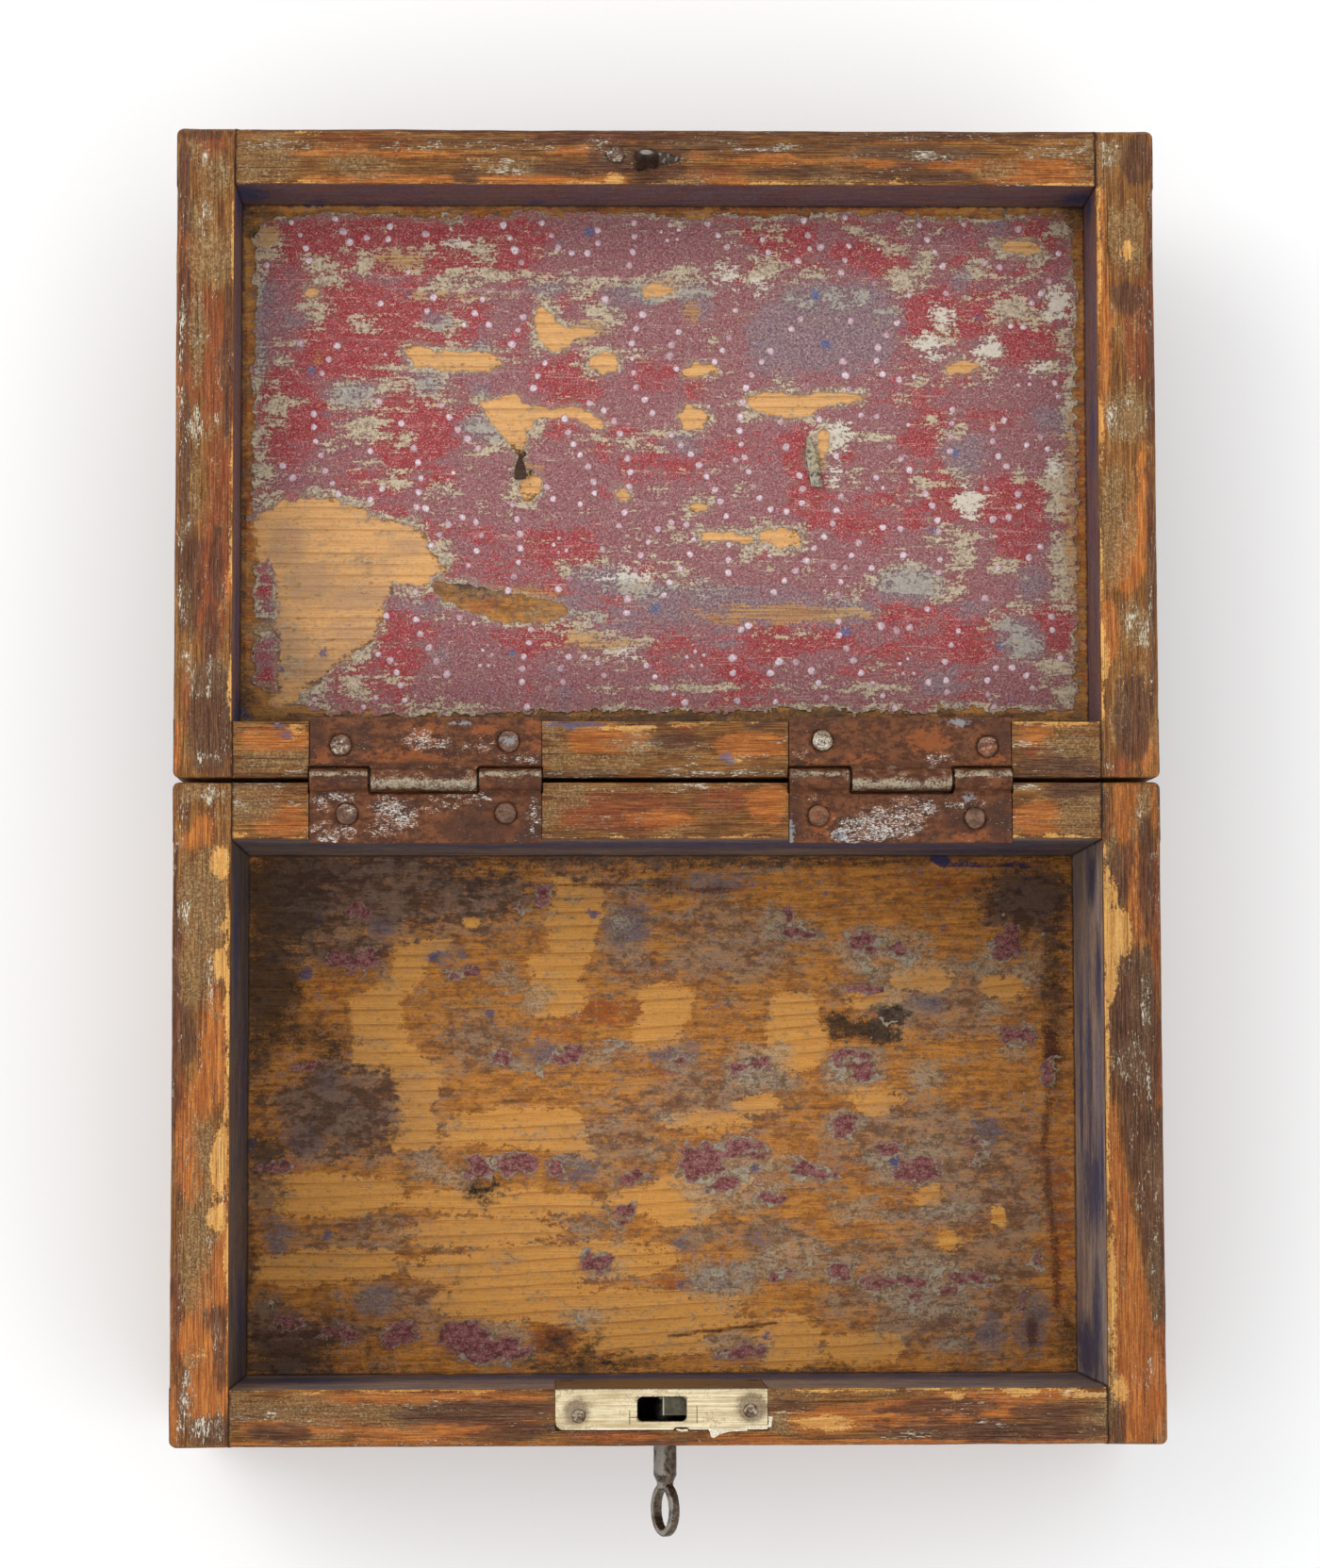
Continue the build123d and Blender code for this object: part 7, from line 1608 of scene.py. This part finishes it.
AXIS_Y = 100.6
MET = {"leaf": iron_material("hinge_iron", 101.0), "nail": iron_material("nail_iron", 111.0, ((92, 66, 54), (128, 96, 76)), 0.35, (0.42, 0.62)),
       "pin": iron_material("pin_iron", 121.0, ((66, 50, 44), (96, 74, 62)), 0.5, (0.4, 0.6)), "dull": iron_material("dull_iron", 131.0, ((70, 54, 46), (100, 76, 60)), 0.4),
       "brass": brass_material(), "steel": steel_material("key_steel", 141.0, (42, 33, 26), (108, 92, 76), 0.7, (0.24, 0.42)), "bolt": steel_material("bolt_steel", 151.0, (56, 52, 36), (88, 82, 60), 0.3, (0.4, 0.55), -1.9)}
for side_ in ("left", "right"):
    hinge_leaf(side_ + "_hinge_lid_leaf", True)
    hinge_leaf(side_ + "_hinge_tray_leaf", False)
nails("left_hinge_tray_nails", False, HINGE_NAILS[0:2], 3.4)
nails("right_hinge_tray_nails", False, HINGE_NAILS[2:4], 3.4)
nails("left_hinge_lid_nails", True, HINGE_NAILS[4:6], 3.4)
nails("right_hinge_lid_nails", True, HINGE_NAILS[6:8], 3.4)
nails("lid_hook_nail", True, [(-15.5, 293.4)], 2.8)
nails("lock_rim_nails", False, [(-27.2, -90.8), (24.4, -89.4)], 2.1)


def plate_tweak(v, nr):
    x, y, z = v.T
    top = (z > 87.2) & (nr[:, 2] > 0.6)
    for cx, cy, r in ((-27.2, -90.8, 4.6), (24.4, -89.4, 4.8)):
        d = np.hypot(x - cx, y - cy) + 0.5 * noise(v, 3.0, 651)
        z = np.where(top, z - 0.42 * np.clip(1 - d / r, 0, 1), z)
    front = (y < -94.3) & (z > 84)
    cx0, cx1 = float(at(715, 1517, 88)[0]), float(at(730, 1517, 88)[0])
    bite = smooth(cx0 - 0.4, cx0 + 0.5, x) * smooth(cx1 + 0.4, cx1 - 0.5, x)
    y = np.where(front, y + 0.75 * bite + 0.16 * (1 + fbm(v, 5.0, 652, 3)), y)
    y = np.where((y > -83.2) & (z > 85), y - 0.12 * (1 + fbm(v, 6.0, 653, 3)), y)
    return np.stack([x, y, z], 1)


def plate_attrs(v, nr):
    x, y, z = v.T
    inside = np.minimum(np.minimum(x + 9.55, 5.15 - x), np.minimum(y + 92.5, -85.2 - y))
    return {"lip": np.clip(1.0 + inside / 0.5, 0, 1) * (z > 80)}


plain_piece("lock_plate", 0.36, "tray", MET["brass"], 0.035, 3, plate_tweak, 1, plate_attrs)
# The key's worn is a painted highlight on the faces turned up and to the left, broken up by noise.
plain_piece("key", 0.24, "key", MET["steel"], 0.10, 4, None, 2, lambda v, nr: {"worn": np.clip(1.05 * np.clip(nr @ np.array([-0.62, 0.1, 0.78]), 0, 1) ** 3 + 0.6 * noise(v, 3.0, 661) - 0.1, 0, 1)})
def hook_tweak(v, nr):
    """The tongue is hammered to a blunt, leaning dome."""
    u, w = (v[:, 0] + 6.0) / 3.4, (v[:, 1] - 290.9) / 2.5
    v[:, 2] = np.where(v[:, 2] > 90.0, v[:, 2] - (v[:, 2] - 90.0) * np.clip(0.42 * u * u + 0.46 * w * w + 0.12 * u, 0, 0.86), v[:, 2])
    return v


# A painted highlight: a bright spot on the top of the dome, towards its upper left.
def hook_attrs(v, nr):
    u, w = (v[:, 0] + 6.3) / 1.9, (v[:, 1] - 291.7) / 0.95
    return {"worn": np.clip(1.45 - 0.8 * (u * u + w * w), 0, 1.2) * smooth(88.5, 93.0, v[:, 2])}


plain_piece("lid_hook", 0.2, "lid", steel_material("hook_iron", 191.0, (30, 25, 20), (64, 52, 40), 0.6, (0.24, 0.42)), 0.07, 5, hook_tweak, 4, hook_attrs)


def hook_tang():
    """A low, dark iron patch bedded in the rim to the right of the hook."""
    st = 0.16
    x0, y1 = (float(c) for c in at(688, 158, RIM))
    x1, y0 = (float(c) for c in at(726, 178, RIM))
    x, y = np.arange(x0, x1, st), np.arange(y0, y1, st)
    X, Y = np.meshgrid(x, y, indexing="ij")
    pts = px_poly([(693, 161.5), (704, 162), (714, 164.5), (721, 167.5), (720, 171), (712, 172.8), (702, 174), (693, 174)], RIM)
    p = np.stack([X.ravel(), Y.ravel(), X.ravel() * 0], 1)
    f = sd_polygon(X.ravel(), Y.ravel(), pts) + 0.16 * fbm(p, 2.0, 192, 3)

    def top(a, b):
        d = sd_polygon(a, b, pts)
        return RIM + 0.04 + 0.3 * np.sqrt(np.clip(d / 1.2, 0, 1)) + 0.05 * noise(np.stack([a, b, a * 0], 1), 0.9, 193)

    film_piece("lid_hook_tang", x, y, f.reshape(X.shape), top, RIM - 0.5, "lid", steel_material("tang_iron", 195.0, (34, 27, 22), (72, 56, 42), 0.5, (0.3, 0.5)), lambda a, b: {"worn": 0.2 + 0.5 * (noise(np.stack([a, b, a * 0], 1), 1.2, 194) > 0.35)})


hook_tang()


def filler_material():
    m = bpy.data.materials.new("lock_filler")
    n = Nodes(m)
    fine = n.nz(0.6, 4.0, 0.75, 171)
    col = n.mix(n.step(fine, -1.4, 1.4), lin(196, 178, 148), lin(236, 228, 210))
    n.finish(col, 0.8, n.bump(n.mul(fine, 0.1), 0.2, 0.8), spec=0.15)
    return m


def lock_filler():
    """Bits of whitish stopping left in front of the lock's plate and beyond its end."""
    st = 0.2
    x, y = np.arange(2.0, 34.0, st), np.arange(-98.6, -89.0, st)
    X, Y = np.meshgrid(x, y, indexing="ij")
    fx, fy = X.ravel(), Y.ravel()
    f = np.full(fx.shape, -2.0)
    for pts in ([(751, 1515.4), (792, 1514.6), (793, 1517.5), (772, 1518.6), (764, 1521), (757, 1525.5), (754, 1524), (753, 1519)], [(786, 1514.6), (818, 1513.4), (819.5, 1503), (815.2, 1502), (815, 1511), (800, 1512.8), (786, 1513.4)], [(716, 1515.6), (729, 1515.6), (730, 1518), (722, 1518.6)]):
        f = np.maximum(f, sd_polygon(fx, fy, px_poly(pts, RIM)))
    p = np.stack([fx, fy, fx * 0], 1)
    f = f + 0.22 * fbm(p, 2.0, 172, 3)
    film_piece("lock_filler", x, y, f.reshape(X.shape), lambda a, b: RIM + 0.05 + 0.04 * noise(np.stack([a, b, a * 0], 1), 2.0, 173), RIM - 0.5, "tray", filler_material(), lambda a, b: {})


lock_filler()


def taper(cx, y0, y1, sharp_end, lean=0.0, shift=(0.0, 0.0)):
    def f(v, nr):
        t = smooth(y0, y1, v[:, 1]) if sharp_end > 0 else smooth(y1, y0, v[:, 1])
        up = smooth(57.6, 58.3, v[:, 2])
        k = np.where(v[:, 2] > 57.9, 1 - 0.72 * t, 1.0)
        v[:, 0] = cx + (v[:, 0] - cx) * k
        v[:, 2] = np.where(v[:, 2] > 58.0, v[:, 2] - (0.5 if lean else 0.9) * t * (v[:, 2] - 58.0), v[:, 2])
        v[:, 0] += (lean * (201.2 - v[:, 1]) + shift[0]) * up
        v[:, 1] += shift[1] * up
        return v
    return f


plain_piece("handle_left_staple", 0.2, "lid", MET["dull"], 0.10, 6, taper(-45.0, 199.5, 204.9, 1), 2, lambda v, nr: {"dark": np.full(len(v), 4.5)})
# worn on the right staple: light and dark in noise, a dark seam across it, and painted shade low down where it meets
# the panel
plain_piece("handle_right_staple", 0.2, "lid", steel_material("staple_steel", 201.0, (50, 42, 31), (182, 168, 136), 0.4, (0.3, 0.46)), 0.10, 7, taper(45.0, 203.0, 209.2, 1, 0.17, (1.2, 1.4)), 2, lambda v, nr: {"worn": (0.34 + 0.24 * smooth(201.0, 195.0, v[:, 1]) + 0.85 * noise(v, 0.9, 671) - 0.7 * (np.abs(v[:, 1] - 203.4) < 0.55)) * smooth(58.0, 58.8, v[:, 2] + 0.5 * (v[:, 1] > 203))})
plain_piece("lid_handle", 0.4, "lid_handle", MET["dull"], 0.10, 8, None, 2, lambda v, nr: {"orange": np.full(len(v), 1.4), "worn": 0.3 + 0.3 * smooth(14.0, 7.0, v[:, 2])})
SKIN = {"pin": "pin", "nails": "dull", "case": "dull", "bolt": "bolt", "spring": "steel", "stump": "dull", "drill": "steel", "rivets": "dull"}
for node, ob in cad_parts.items():
    if any(b in node for b in ("_board", "lining")):
        continue
    key_ = next((k for w, k in SKIN.items() if w in node), "dull")
    if node == "lock_drill_pin":
        key_ = "steel"
    if node == "lock_bolt":
        key_ = "bolt"
    if node == "lock_bolt_spring":
        key_ = "steel"
    ob.data.materials.clear()
    ob.data.materials.append(MET[key_])


# ------------------------------------------------------------------ floor and light
me = bpy.data.meshes.new("floor")
s = 3.0
me.from_pydata([(-s, -s, 0), (s, -s, 0), (s, s, 0), (-s, s, 0)], [], [(0, 1, 2, 3)])
floor = bpy.data.objects.new("floor", me)
bpy.context.scene.collection.objects.link(floor)
floor.location.z = -0.0002
fm = bpy.data.materials.new("floor")
fn = Nodes(fm)
fn.finish(lin(247, 246, 244), 0.9, spec=0.05)
me.materials.append(fm)


def area(name, loc, target, size, power, color=(1, 1, 1)):
    d = bpy.data.lights.new(name, "AREA")
    d.shape, d.size, d.size_y, d.energy, d.color = "RECTANGLE", size[0], size[1], power, color
    o = bpy.data.objects.new(name, d)
    bpy.context.scene.collection.objects.link(o)
    o.location = loc
    o.rotation_mode = "QUATERNION"
    o.rotation_quaternion = (Vector(target) - Vector(loc)).to_track_quat("-Z", "Y")
    return o


area("key_light", (-1.5, 1.1, 1.9), (0, 0.1, 0), (1.5, 1.5), 18.0, (1.0, 0.985, 0.965))
area("fill_light", (1.6, -0.9, 2.2), (0, 0.1, 0), (2.2, 2.2), 12.0, (0.96, 0.98, 1.0))
world = bpy.data.worlds.new("studio")
bpy.context.scene.world = world
world.use_nodes = True
world.node_tree.nodes["Background"].inputs[0].default_value = (0.95, 0.97, 1.0, 1)
world.node_tree.nodes["Background"].inputs[1].default_value = 1.0
bpy.context.scene.view_settings.view_transform = "Standard"
